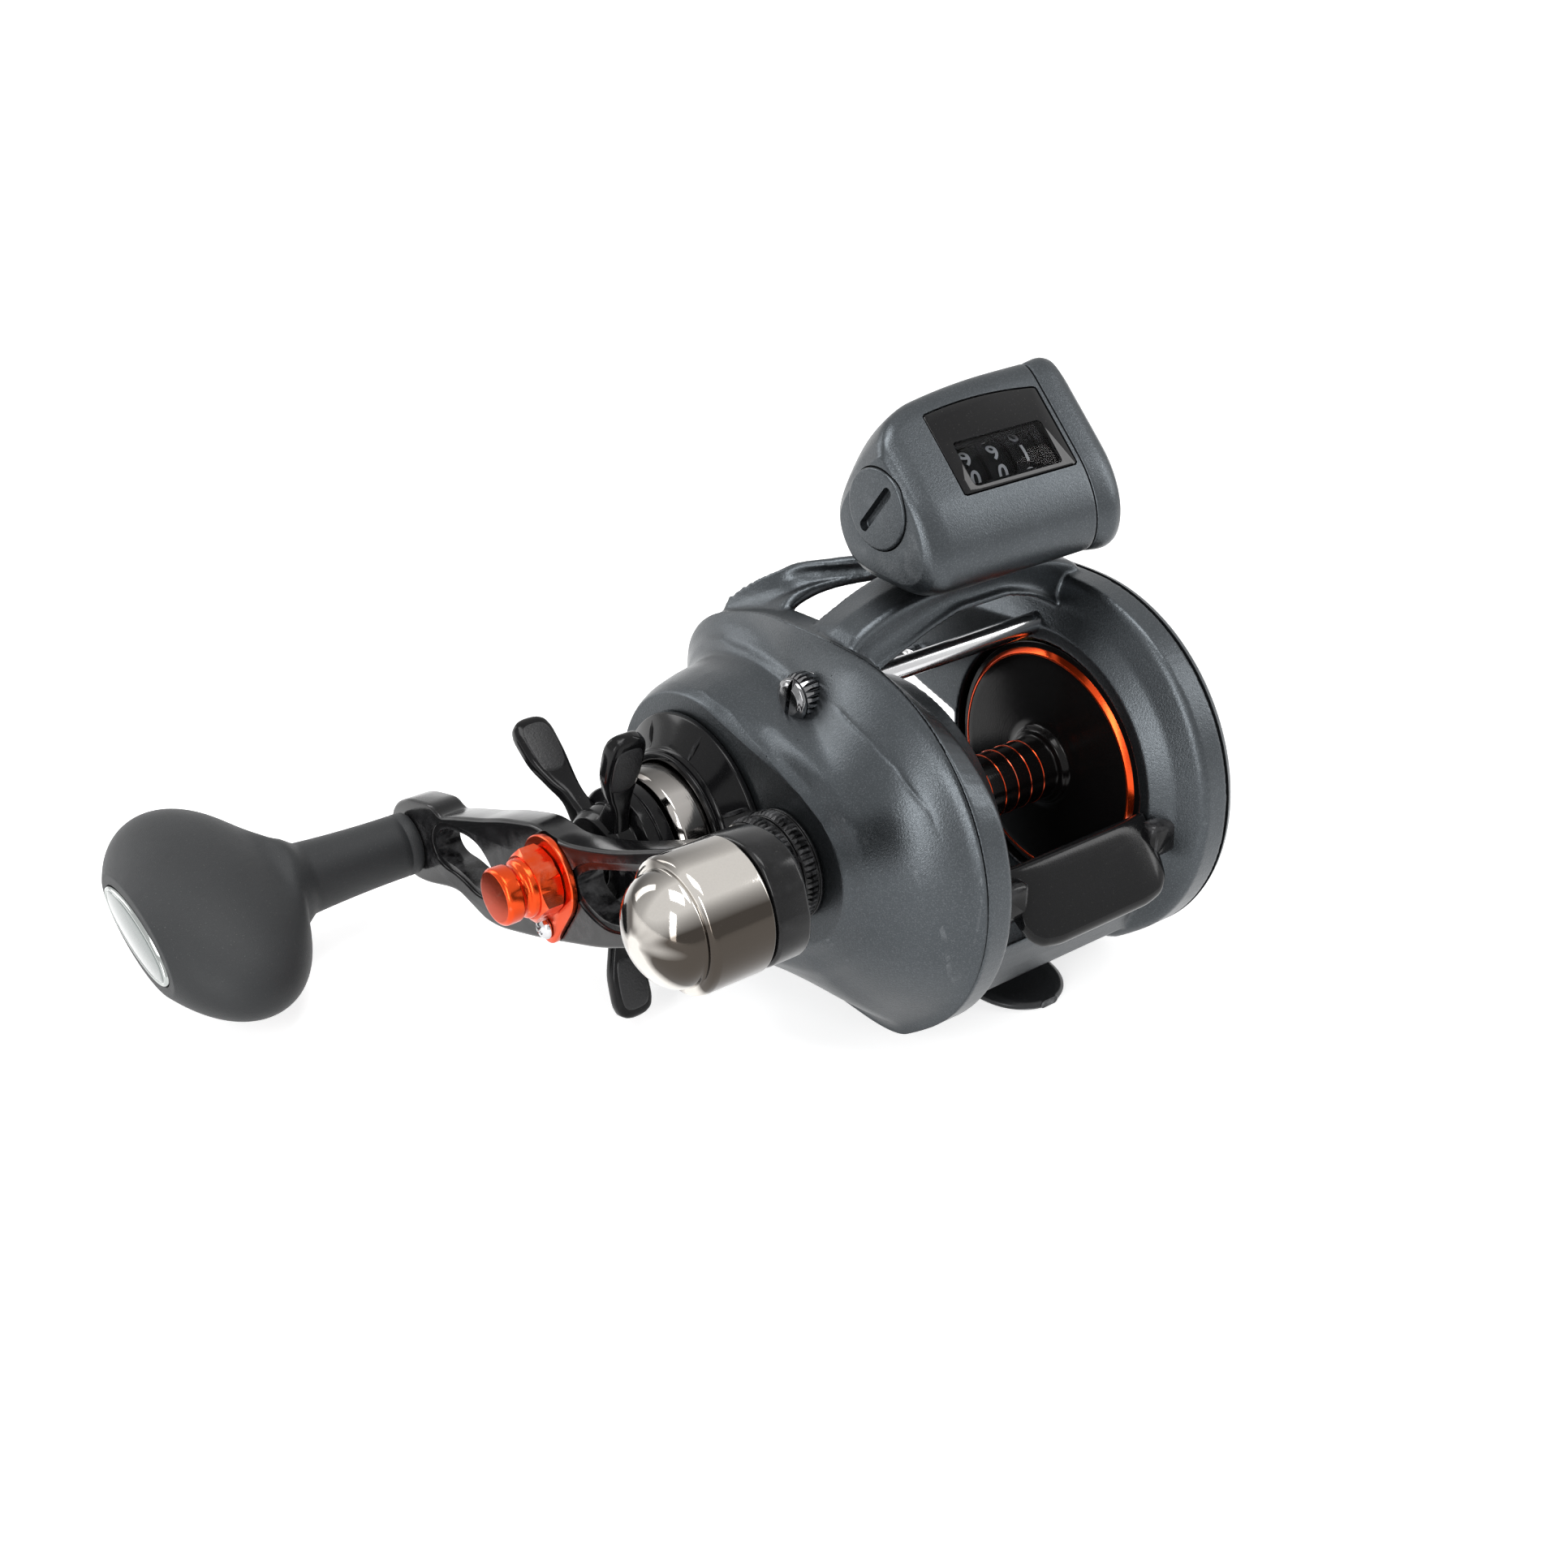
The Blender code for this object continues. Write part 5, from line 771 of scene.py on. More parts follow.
def makeFrame():
    low, high = castSizes["deck"]
    y0, y1, z0, z1 = castSizes["nose"]
    nearX, farX = castSizes["nearSide"], castSizes["farSide"]
    wide, back, ahead, under, over = castSizes["hub"]
    body = sideRing(-1)
    carve(body, [sideRing(1), block("deck", (nearX, -13, low), (farX, 36, high), 0.7),
                 block("nose", (-farX, y0, z0), (farX, y1, z1), 2.0),
                 block("stalk", *castSizes["stalk"], 0.8), rearSaddle(), rearArch(),
                 block("hub", (-wide, back, under), (wide, ahead, over), 1.0), frontStrap(-1), frontStrap(1)],
          "UNION")
    slots = [block("slot", (left, -28.5, -10.3), (right, -24.1, 0.5), 0)
             for left, right in castSizes["barSlots"]]
    radius, places = castSizes["footScrews"]
    screws = [bar("hole", radius, -35, -26.5, (0.0, y), 24, "z") for y in places]
    carve(body, holes(castSizes["holes"]) + slots + screws)
    cast(body, castSizes["voxel"], castSizes["soften"])
    body.name = "frameCasting"
    finishPiece(body, "frame", "frame", sharp=60)


gearPlate = {"inside": 3.4, "rings": ((-23.4, 0), (-23.2, 0.2), (-22.2, 0.2), (-22.0, 0)),
             "holes": ((5.5, spoolAxis), (6.3, driveAxis), (1.8, screwAxis), (2.9, wormAxis))}


def makeGearPlate(size):
    # the plate behind the gears follows the handle side's shift
    shift = shiftRound(castCount) * innerShare
    reach = castRays - size["inside"] - roundCurve(castSizes["notch"], castCount)
    plate = loftRings("gearPlate", [ringAt(x - shift, reach + more) for x, more in size["rings"]])
    carve(plate, holes([(radius, -29, -20, axis) for radius, axis in size["holes"]]))
    finishPiece(plate, "plate", "gear_plate", sharp=32)


for part in ("Frame", "Cover", "Counter"):
    looks[part.lower()] = makeLook("gunmetal" + part, **gunmetal)
looks["plate"] = makeLook("machinedPlate", (0.50, 0.50, 0.51), (0.22, 0.36), 1.0, 0.1, (0.3, 0.08),
                          turned=(spoolAxis, 0.25, 0.08))
makeFrame()
makeGearPlate(gearPlate)
print("frame cast")


# the cover over the gears

handleCover = {"rim": -24.3, "bulge": 16.9, "wall": 1.8,
               "rows": ((0, 0, 0), (.015, .12, .02), (.08, .30, .05), (.20, .51, .09), (.36, .69, .15),
                        (.52, .81, .21), (.62, .87, .28), (.73, .93, .64), (.85, .965, .90), (.97, 1.0, 1.0),
                        (1, 1, 1)),
               # angle round the cover, share of the low brow there
               "brow": ((-180, 0), (-17, 0), (-1, 0), (15, 1), (66, 1), (90, 0.80), (112, 0.42), (135, 0.12),
                        (152, 0), (180, 0)), "belly": (255.0, 30.0, 40.0), "bellyDrop": 0.10,
               "steps": 150,
               # (y, z) line, height along the normal, width, sharp or soft
               "lines": ((((38, 16.2), (33, 18.5), (25, 19.9), (18, 19.2), (7.2, 16.5), (-3.2, 13.3),
                           (-8.3, 10.9), (-10.6, 8.3), (-12.9, 3.1)), 0.27, 0.55, "sharp"),
                         (((17, 19.3), (8.5, 19.3), (-0.5, 17.9), (-6.8, 16.7), (-14.1, 13.3)), 0.29, 0.95,
                          "soft"),
                         (((17, 18.8), (7.9, 17.9), (-1.8, 15.6), (-7.5, 13.8)), -0.26, 0.9, "soft"),
                         (((31.9, 19.8), (28.4, 20.6), (23.9, 20.7), (18.8, 19.5)), 0.10, 0.5, "sharp"),
                         (((46.9, 17.5), (36.6, 21.4), (28, 22.4), (17.4, 22.7), (13.0, 23.0)), 0.32, 0.8,
                          "soft"),
                         (((3.6, 24.8), (-1.4, 25.0), (-4.6, 24.6), (-10.5, 23.7), (-16.4, 21.7),
                           (-23.6, 16.7), (-27.0, 11.4)), -0.30, 0.34, "sharp")),
               "pocket": (5.6, 160.0), "screwHole": (4.2, -28.7),
               "capBoss": 6.8, "capHole": 3.2, "driveHole": 12.7, "screwShank": 1.8}


def coverSkin(size, count, steps, features):
    plate, boss = raysTo(plateOutline(), count), raysTo(bossOutline(), count)
    rows = np.array(size["rows"])
    high, low = smoothCurve(rows[:, 0], rows[:, 1]), smoothCurve(rows[:, 0], rows[:, 2])
    brow, belly = roundCurve(size["brow"], count), sectorWeight(count, size["belly"])
    shift = shiftRound(count)
    rings = []
    for t in np.linspace(0, 1, steps):
        share = t ** outlines["crowd"]
        h, l = float(high(share)), float(low(share))
        rise = h + (l - h) * brow - size["bellyDrop"] * 4 * h * (1 - h) * belly
        # no lower than the rim, which the shift raises
        out = ((size["bulge"] * rise) ** 4 + shift ** 4) ** 0.25
        rings.append(ringAt(size["rim"] - np.minimum(out, size["bulge"]), plate + (boss - plate) * share))
    skin = np.array(rings)
    if not features:
        return skin
    across, along = np.gradient(skin, axis=0), np.roll(skin, -1, 1) - np.roll(skin, 1, 1)
    normal = np.cross(along, across)
    normal /= np.maximum(np.linalg.norm(normal, axis=2), 1e-9)[..., None]
    normal *= -np.sign(normal[..., 0:1] + 1e-12)
    lift = np.zeros(skin.shape[:2])
    for line, height, width, kind in size["lines"]:
        away, where = lineDistance(skin[..., 1:], line)
        ends = np.clip(np.minimum(where, 1 - where) * 4, 0, 1) ** 2
        shape = np.exp(-away / width) if kind == "sharp" else np.exp(-(away / width) ** 2)
        lift += height * shape * ends
    keep = np.clip(np.linspace(0, 1, steps) / 0.03, 0, 1)[:, None]
    return skin + normal * (lift * keep)[..., None]


def makeHandleCover(size):
    count = outlines["rays"]
    outer = coverSkin(size, count, size["steps"], True)
    inner = coverSkin(size, count, 16, False)[::-1]
    wall, rim = size["wall"], size["rim"]
    edge = rim - shiftRound(count)
    shrunk = []
    for ring in inner:
        away = ring[:, 1:] - plateMiddle
        reach = np.linalg.norm(away, axis=1)[:, None]
        flat = plateMiddle + away / reach * (reach - wall)
        shrunk.append(np.column_stack((np.minimum(ring[:, 0] + wall, edge), flat)))
    body = loftRings("handleCover", shrunk + list(outer))
    top = rim - size["bulge"]
    radius, floor = size["screwHole"]
    boss = carve(bar("boss", radius + 3.0, top, rim - 0.3, screwAxis), [loftRings("dome", list(outer))],
                 "INTERSECT")
    carve(body, [bar("capBoss", size["capBoss"], top - 5.8, top + 0.6, spoolAxis, 64), boss], "UNION")
    corner, turn = size["pocket"]
    pocket = evenly(roundProfile(circle(corner, screwAxis, 4, math.radians(turn)), 1.0, True), 80)
    carve(body, holes(((size["capHole"], top - 7, top + 4, spoolAxis),
                       (size["driveHole"], top - 1, top + 4, driveAxis, 96)))
          + [slab("pocket", pocket, top - 1, floor, 0.1)]
          + holes(((size["screwShank"], top, -23, screwAxis),)))
    finishPiece(body, "cover", "handle_side_cover", sharp=42)


makeHandleCover(handleCover)
print("handle side cover formed")


# the lower dome on the palm side

palmCover = {"rim": 24.3, "bulge": 6.2, "wall": 1.8, "top": ((7.0, 0.0), 15.0), "steps": 90,
             "rows": ((0, 0), (.015, .14), (.07, .32), (.2, .53), (.45, .78), (.75, .94), (1, 1)),
             "line": (0.22, 0.030), "boss": 7.2, "bearing": 5.5, "bore": 3.0}


def makePalmCover(size):
    count = outlines["rays"] // 2
    plate, top = raysTo(palmOutline(), count), raysTo(circle(size["top"][1], size["top"][0], 360), count)
    rows = np.array(size["rows"])
    height = smoothCurve(rows[:, 0], rows[:, 1])

    def skin(steps, less, rise):
        rings = []
        for t in np.linspace(0, 1, steps):
            share = t ** outlines["crowd"]
            crease = size["line"][0] * math.exp(-((share - 0.13) / size["line"][1]) ** 2) if rise == 0 else 0
            x = size["rim"] + size["bulge"] * float(height(share)) - crease - rise
            rings.append(ringAt(max(x, size["rim"]), plate + (top - plate) * share - less))
        return rings
    body = loftRings("palmCover", skin(14, size["wall"], size["wall"])[::-1] + skin(size["steps"], 0, 0))
    inner = size["rim"] + size["bulge"] - 0.6
    carve(body, [bar("boss", size["boss"], 20.9, inner, spoolAxis, 64)], "UNION")
    carve(body, holes(((size["bearing"], 19.9, 24.8, spoolAxis, 64), (size["bore"], 20.9, 27.3, spoolAxis))))
    finishPiece(body, "cover", "palm_side_cover", sharp=42)


makePalmCover(palmCover)
print("palm side cover formed")


# line counter

counterSizes = {"tilt": 43.2, "face": 8.13, "seat": 38.5, "left": -18.0, "seam": 17.0, "right": 23.5,
                "stations": ((-18, .84, .50), (-16.6, .93, .62), (-13.6, .99, .76), (-8, 1, .88), (9, 1, .99),
                             (17, 1, 1)),
                "cavity": 7.1, "windowMiddle": 4.0, "windowHalf": 12.0, "windowLow": -4.8, "windowHigh": 10.6,
                "windowArch": 0.9, "windowThick": 1.2, "paneHalf": 9.4, "paneLow": -3.9, "paneHigh": 4.1,
                "dial": 6.6, "dialDeep": 3.0, "slotTurn": 128.0, "slotReach": 4.3, "slotHalf": 0.95,
                "slots": (-6.5, -0.8, 4.9), "slotWide": 2.3, "slotLow": -3.0, "slotHigh": 3.3, "axle": 1.8,
                "linerLow": 6.3, "linerHigh": 6.8}
tilt = math.radians(counterSizes["tilt"])
faceUp = np.array((math.cos(tilt), math.sin(tilt)))
faceOut = np.array((-faceUp[1], faceUp[0]))


def counterSection(scale, crest):
    # a face leaning back, a round nose below it, a straight seat and a rounded front
    face, seat = counterSizes["face"], counterSizes["seat"]
    points = [digitAxis + faceOut * out + faceUp * up for out, up in
              ((face, 14.6 * crest), (face, 7.0 * crest), (face, -1.6), (face - 0.1, -5.6))]
    points += [(-4.2, 50.4), (-5.6, 47.0), (-5.8, 43.4), (-4.6, 40.2), (-1.0, 38.6), (2, seat), (13, seat)]
    for ahead, above, share in ((17.5, 42, 0), (20.4, 48, .2), (20.6, 54.5, .6), (18.6, 61, .9),
                                (15.4, 65.4, 1)):
        points.append(np.array((ahead, above)) - faceUp * (14.6 * (1 - crest) * share))
    points = [tuple(digitAxis + (np.array(p) - digitAxis) * scale) for p in points]
    return chaikin(points, 3)


def counterRings(stations, steps):
    scale, crest = curvesThrough(stations)
    low, high = min(s[0] for s in stations), max(s[0] for s in stations)
    rings = []
    for x in np.linspace(low, high, steps):
        rings.append(layer(x, counterSection(float(scale(x)), float(crest(x)))))
    return rings


def softEnds(rings, first=0.35, last=0.35):
    # the end rings are drawn in a little, so that the rim is rounded
    rings = [np.array(ring) for ring in rings]

    def drawn(ring, less, shift):
        flat = np.array(grown(ring[:, 1:].tolist(), -less))
        return np.column_stack((ring[:, 0] + shift, flat))
    start = [drawn(rings[0], first * (1 - math.sin(a)), first * (1 - math.cos(a))) for a in (0, 0.5, 1.0)]
    stop = [drawn(rings[-1], last * (1 - math.sin(a)), -last * (1 - math.cos(a))) for a in (1.0, 0.5, 0)]
    if first:
        rings = start + [ring for ring in rings if ring[0, 0] > rings[0][0, 0] + first]
    if last:
        rings = [ring for ring in rings if ring[0, 0] < rings[-1][0, 0] - last] + stop
    return rings


def leaningPrism(name, outline, low, high, edge=0.0):
    # (x, up) outline on the window's leaning face, between two distances from the digits' axis
    outline = evenly(outline, 120)
    rings = []
    places = ((low, 0), (high - edge, 0), (high - 0.3 * edge, edge * 0.3), (high, edge)) if edge else \
        ((low, 0), (high, 0))
    for out, less in places:
        ring = []
        for x, up in (grown(outline, -less) if less else outline):
            y, z = digitAxis + faceOut * out + faceUp * up
            ring.append((counterSizes["windowMiddle"] + x, y, z))
        rings.append(ring)
    return loftRings(name, rings)


def windowOutline(margin=0.0):
    # straight sides and foot, the top edge a shallow arch
    half, low, high = counterSizes["windowHalf"], counterSizes["windowLow"], counterSizes["windowHigh"]
    arch = counterSizes["windowArch"]
    points = [(-half, low), (half, low), (half, high - arch)]
    points += [(half * s, high - arch * s * s) for s in np.linspace(0.9, -0.9, 13)] + [(-half, high - arch)]
    outline = roundProfile(evenly(points, 160), 0.5, True, 1)
    return grown(outline, margin) if margin else outline


def paneOutline(margin=0.0):
    half, low, high = counterSizes["paneHalf"] + margin, counterSizes["paneLow"] - margin, \
        counterSizes["paneHigh"] + margin
    return roundProfile([(-half, low), (half, low), (half, high), (-half, high)], 0.8, True, 5)


def makeCounter(size):
    left, seam, right = size["left"], size["seam"], size["right"]
    face, back = size["face"], size["face"] - size["windowThick"]
    rings = counterRings(size["stations"], 90)
    body = loftRings("counterHousing", softEnds(rings, 0.5, 0.22))
    carve(body, holes(((size["cavity"], -9.5, seam + 1, digitAxis, 96),
                       (size["dial"] + 0.22, left - 1, left + size["dialDeep"] + 0.3, digitAxis, 96),
                       (size["axle"], left, seam + 1, digitAxis)))
          + [leaningPrism("seat", windowOutline(0.18), back - 0.3, face + 6),
             leaningPrism("way", paneOutline(0.6), 3.0, face)])
    finishPiece(body, "counter", "counter_housing", sharp=32)
    stations = ((seam + 0.3, 1, 1), (right - 3, 1.03, .99), (right - 1.2, 1.0, .985), (right, .90, .96))
    cap = loftRings("counterEndCap", softEnds(counterRings(stations, 30), 0.22, 0))
    carve(cap, holes(((size["axle"], seam - 1, 19.3, digitAxis),)))
    finishPiece(cap, "counter", "counter_end_cap", sharp=32)
    bezel = leaningPrism("windowBezel", windowOutline(-0.02), back, face, 0.3)
    carve(bezel, [leaningPrism("opening", paneOutline(), back - 1, face + 1)])
    finishPiece(bezel, "window", "counter_window", sharp=30)
    liner = leaningPrism("windowLiner", paneOutline(0.5), size["linerLow"], size["linerHigh"])
    wide, low, high = size["slotWide"], size["slotLow"], size["slotHigh"]
    corners = ((-wide, low), (wide, low), (wide, high), (-wide, high))
    carve(liner, [leaningPrism("slot", [(middle + x, up) for x, up in corners], 6, 7)
                  for middle in size["slots"]])
    finishPiece(liner, "wheel", "counter_window", sharp=30, extra=True)
    pane = leaningPrism("windowPane", paneOutline(-0.02), face - 0.9, face - 0.03, 0.06)
    finishPiece(pane, "pane", "counter_window", sharp=30, extra=True)
    dial = turnedPiece("resetDial", roundProfile([(left - 0.5, 0), (left - 0.5, size["dial"]),
                                                  (left + size["dialDeep"], size["dial"]),
                                                  (left + size["dialDeep"], 0)], 0.45), digitAxis, 128)
    slot = slotOutline(digitAxis, size["slotTurn"], size["slotReach"], size["slotHalf"], 24)
    carve(dial, [slab("slot", slot, left - 2, left + 1.0, 0.25)])
    finishPiece(dial, "counter", "reset_dial", sharp=32)


looks["window"] = makeLook("windowBlack", (0.004, 0.004, 0.0045), (0.03, 0.08), tone=0.3, grain=(1.2, 0.01),
                           dust=(0.2, 0.35), scuff=9.0, specular=0.25)


def glassLook():
    look = makeLook("windowGlass", (0.42, 0.43, 0.45), (0.01, 0.05), tone=0.03, grain=(1.5, 0.01),
                    dust=(0.05, 0.35), ior=1.12)
    look.node_tree.nodes["Principled BSDF"].inputs["Transmission Weight"].default_value = 1.0
    return look


looks["pane"] = glassLook()
looks["wheel"] = makeLook("wheelBlack", (0.006, 0.006, 0.006), (0.5, 0.65), tone=0.3, grain=(0.25, 0.2),
                          specular=0.2)
makeCounter(counterSizes)


digitWheels = {"radius": 6.1, "height": 4.0,
               # node, turn of the wheel in degrees
               "wheels": (("digit_wheel_hundreds", 20.0), ("digit_wheel_tens", 22.0),
                          ("digit_wheel_units", -35.0))}


def digitShape(digit, height):
    # one plain digit as a thin plate, its middle at the origin
    curve = bpy.data.curves.new("digit", "FONT")
    curve.body, curve.size, curve.align_x, curve.align_y = str(digit), height, "CENTER", "CENTER"
    curve.extrude, curve.resolution_u, curve.offset = 0.0, 6, 0.07
    made = newObject("digit", curve)
    bpy.context.view_layer.update()
    mesh = bpy.data.meshes.new_from_object(made.evaluated_get(bpy.context.evaluated_depsgraph_get()))
    bpy.data.objects.remove(made)
    work = bmesh.new()
    work.from_mesh(mesh)
    bmesh.ops.remove_doubles(work, verts=work.verts, dist=0.001)
    # cut across, so that long strokes can bend round the wheel
    for y in np.arange(-0.5, 0.51, 0.1) * height:
        bmesh.ops.bisect_plane(work, geom=work.verts[:] + work.edges[:] + work.faces[:], plane_co=(0, y, 0),
                               plane_no=(0, 1, 0))
    made = bmesh.ops.extrude_face_region(work, geom=work.faces[:])
    for vert in made["geom"]:
        if isinstance(vert, bmesh.types.BMVert):
            vert.co.z += 0.1
    work.verts.index_update()
    points = [tuple(v.co) for v in work.verts]
    faces = [tuple(v.index for v in f.verts) for f in work.faces]
    work.free()
    return np.array(points), faces


def makeDigitWheels(size):
    shapes = [digitShape(digit, size["height"]) for digit in range(10)]
    for node, turn in size["wheels"]:
        low, high = reachOf(node)
        middle, radius = (low + high) / 2, size["radius"]
        profile = [(low, 1.7), (low, radius - 0.5), (low + 0.25, radius), (high - 0.25, radius),
                   (high, radius - 0.5), (high, 1.7)]
        name = node.replace("_", "")
        wheel = turnedPiece(name + "Rim", roundProfile(profile, 0.15, True), digitAxis, 96)
        finishPiece(wheel, "wheel", node, sharp=32)
        points, faces = [], []
        for digit, (shape, sides) in enumerate(shapes):
            start = len(points)
            for x, y, up in shape:
                angle = math.pi / 2 + tilt + math.radians(turn + 36 * digit) - y / radius
                reach = radius - 0.04 + up
                points.append((middle + x, digitAxis[0] + reach * math.cos(angle),
                               digitAxis[1] + reach * math.sin(angle)))
            faces += [tuple(start + i for i in side) for side in sides]
        finishPiece(meshObject(name + "Digits", points, faces), "digits", node, sharp=30, extra=True)


looks["digits"] = makeLook("digitPrint", (0.80, 0.81, 0.80), (0.45, 0.6), tone=0.12, grain=(0.15, 0.1))
makeDigitWheels(digitWheels)
print("line counter fitted")


# Geometry Nodes: ridges set round an axis across the reel, and rings in a row along it

def geometryTree(name, sockets):
    tree = bpy.data.node_groups.new(name, "GeometryNodeTree")
    for label, kind, value in sockets + (("Material", "Material", None),):
        socket = tree.interface.new_socket(name=label, in_out="INPUT", socket_type="NodeSocket" + kind)
        if value is not None:
            socket.default_value = value
    tree.interface.new_socket(name="Geometry", in_out="OUTPUT", socket_type="NodeSocketGeometry")
    return tree, tree.nodes.new("NodeGroupInput").outputs


def transformed(tree, geometry, **change):
    return feed(tree, "GeometryNodeTransform", {"Geometry": geometry, **change})


def endTree(tree, given, instances):
    real = feed(tree, "GeometryNodeRealizeInstances", {0: instances})
    return endGroup(tree, feed(tree, "GeometryNodeSetMaterial",
                               {"Geometry": real, "Material": given["Material"]}))


def ridgeTree():
    tree, given = geometryTree("ridgesRound", (
        ("Count", "Int", 24), ("Radius", "Float", 0.004), ("Length", "Float", 0.003),
        ("Foot Width", "Float", 0.0006), ("Crest Share", "Float", 0.5), ("Height", "Float", 0.0004),
        ("Seed", "Int", 3), ("Unevenness", "Float", 0.03), ("Middle", "Vector", (0, 0, 0))))
    ring = feed(tree, "GeometryNodeMeshCircle", {"Vertices": given["Count"], "Radius": given["Radius"]})
    stood = transformed(tree, ring, Rotation=(0, math.pi / 2, 0))
    half = sums(tree, "MULTIPLY", given["Foot Width"], 0.7071)
    tooth = feed(tree, "GeometryNodeMeshCone", {"Vertices": 4, "Radius Bottom": half,
                                                "Depth": given["Height"],
                                                "Radius Top": sums(tree, "MULTIPLY", half,
                                                                   given["Crest Share"])})
    turned = transformed(tree, tooth, Rotation=(0, 0, math.pi / 4))
    stretch = feed(tree, "ShaderNodeCombineXYZ", {0: sums(tree, "DIVIDE", given["Length"],
                                                          given["Foot Width"]),
                                                  1: 1.0, 2: 1.0})
    long = transformed(tree, turned, Scale=stretch)
    facing = feed(tree, "FunctionNodeAlignRotationToVector",
                  {"Vector": feed(tree, "GeometryNodeInputPosition")}, axis="Z", pivot_axis="X")
    vary = addNode(tree, "FunctionNodeRandomValue", {"Seed": given["Seed"], 2: 1.0,
                                                     3: sums(tree, "ADD", given["Unevenness"], 1.0)},
                   data_type="FLOAT")
    ridges = feed(tree, "GeometryNodeInstanceOnPoints",
                  {"Points": stood, "Instance": long, "Rotation": facing,
                                                         "Scale": vary.outputs[1]})
    return endTree(tree, given, transformed(tree, ridges, Translation=given["Middle"]))


def ringTree():
    tree, given = geometryTree("ringsAlong", (
        ("Count", "Int", 5), ("Spacing", "Float", 0.002), ("Ring Radius", "Float", 0.005),
        ("Wire Radius", "Float", 0.0002), ("Start", "Vector", (0, 0, 0)), ("Sides", "Int", 96)))
    step = feed(tree, "ShaderNodeCombineXYZ", {0: given["Spacing"], 1: 0.0, 2: 0.0})
    row = feed(tree, "GeometryNodeMeshLine", {"Count": given["Count"], "Start Location": given["Start"],
                                              "Offset": step}, mode="OFFSET")
    loop, wire = (feed(tree, "GeometryNodeCurvePrimitiveCircle",
                       {"Resolution": sides, "Radius": given[radius]})
                  for sides, radius in ((given["Sides"], "Ring Radius"), (8, "Wire Radius")))
    stood = transformed(tree, loop, Rotation=(0, math.pi / 2, 0))
    torus = feed(tree, "GeometryNodeCurveToMesh", {"Curve": stood, "Profile Curve": wire})
    return endTree(tree, given, feed(tree, "GeometryNodeInstanceOnPoints",
                                     {"Points": row, "Instance": torus}))


ridgesRound, ringsAlong = ridgeTree(), ringTree()


def growNodes(name, tree, values, look, node):
    # a tree's result as a plain mesh that rides on one body
    obj = newObject(name, bpy.data.meshes.new(name))
    modifier = obj.modifiers.new("grow", "NODES")
    modifier.node_group = tree
    values = {"Material": looks[look], **values}
    for item in tree.interface.items_tree:
        if item.in_out == "INPUT" and item.name in values:
            modifier[item.identifier] = values[item.name]
    return finishPiece(faceOutwards(settle(obj)), look, node, sharp=30, extra=True)


def worldSpot(x, axis):
    return (x * mm, spoolMiddle.y + axis[0] * mm, spoolMiddle.z + axis[1] * mm)


# spool, shafts and the rods of the frame

spoolSizes = {"half": ((15.3, 2.3), (15.3, 15.5), (15.8, 19.9), (15.75, 21.3), (15.6, 21.5), (15.35, 21.5),
                       (15.25, 21.3), (15.2, 20.35), (14.5, 19.55), (14.4, 18.6), (14.15, 12.0), (14.0, 8.2),
                       (13.6, 6.9), (12.4, 6.5), (12.2, 5.5)),
              # (x, radius) of the bright line on the far rim
              "rim": ((15.14, 20.46), (14.40, 19.66), (14.40, 19.3), (15.3, 19.3), (15.3, 20.46)),
              "band": {"count": 7, "spacing": 2.9, "wire": 0.13, "middle": 0.4, "radius": 5.5}}


def makeSpool(size):
    half = [(-x, r) for x, r in size["half"]] + [(x, r) for x, r in reversed(size["half"])]
    body = turnedPiece("spoolBody", roundProfile(half, 0.5, True, 5), spoolAxis, 160)
    finishPiece(body, "spool", "spool", sharp=38)
    for side, name in ((-1, "spoolRimLeft"), (1, "spoolRimRight")):
        profile = roundProfile([(side * x, r) for x, r in size["rim"]], 0.15, True)
        rim = turnedPiece(name, profile, spoolAxis, 160)
        finishPiece(rim, "orangeRim", "spool", sharp=38, extra=True)
    band = size["band"]
    start = band["middle"] - band["spacing"] * (band["count"] - 1) / 2
    growNodes("spoolBands", ringsAlong, {"Count": band["count"], "Spacing": band["spacing"] * mm,
                                         "Ring Radius": band["radius"] * mm, "Wire Radius": band["wire"] * mm,
                                         "Start": worldSpot(start, spoolAxis)}, "orangeRim", "spool")


looks["spool"] = makeLook("spoolBlack", (0.006, 0.0055, 0.0055), (0.13, 0.22), 0.25, 0.3, (0.3, 0.04),
                          dust=(0.1, 0.4), turned=(spoolAxis, 0.20, 0.05), specular=0.2)
looks["orangeRim"] = makeLook("spoolOrange", **orangeMetal)
makeSpool(spoolSizes)


# name, radius, axis, how much longer in the handle side, which stands further out, rounding, sides
rodSizes = {"top_rod": ("topRod", 1.85, rodAxis, 4.4, 0.3, 96),
            "guide_rail": ("guideRail", 1.2, railAxis, 1.0, 0.3, 96),
            "spool_shaft": ("spoolShaft", 2.0, spoolAxis, 0.0, 0.4, 64)}


def makeRods(sizes):
    for node, (name, radius, axis, longer, edge, sides) in sizes.items():
        low, high = reachOf(node)
        low -= longer
        profile = roundProfile([(low, 0), (low, radius), (high, radius), (high, 0)], edge)
        finishPiece(turnedPiece(name, profile, axis, sides), "steel", node)


looks["steel"] = makeLook("brightSteel", **brightSteel)
makeRods(rodSizes)


wormSizes = {"radius": 2.6, "groove": 0.7, "grooveWide": 0.12, "pitch": 8.0, "cut": 13.4, "tail": 1.6,
             "end": 18.0, "gearX": 25.2, "sides": 48}


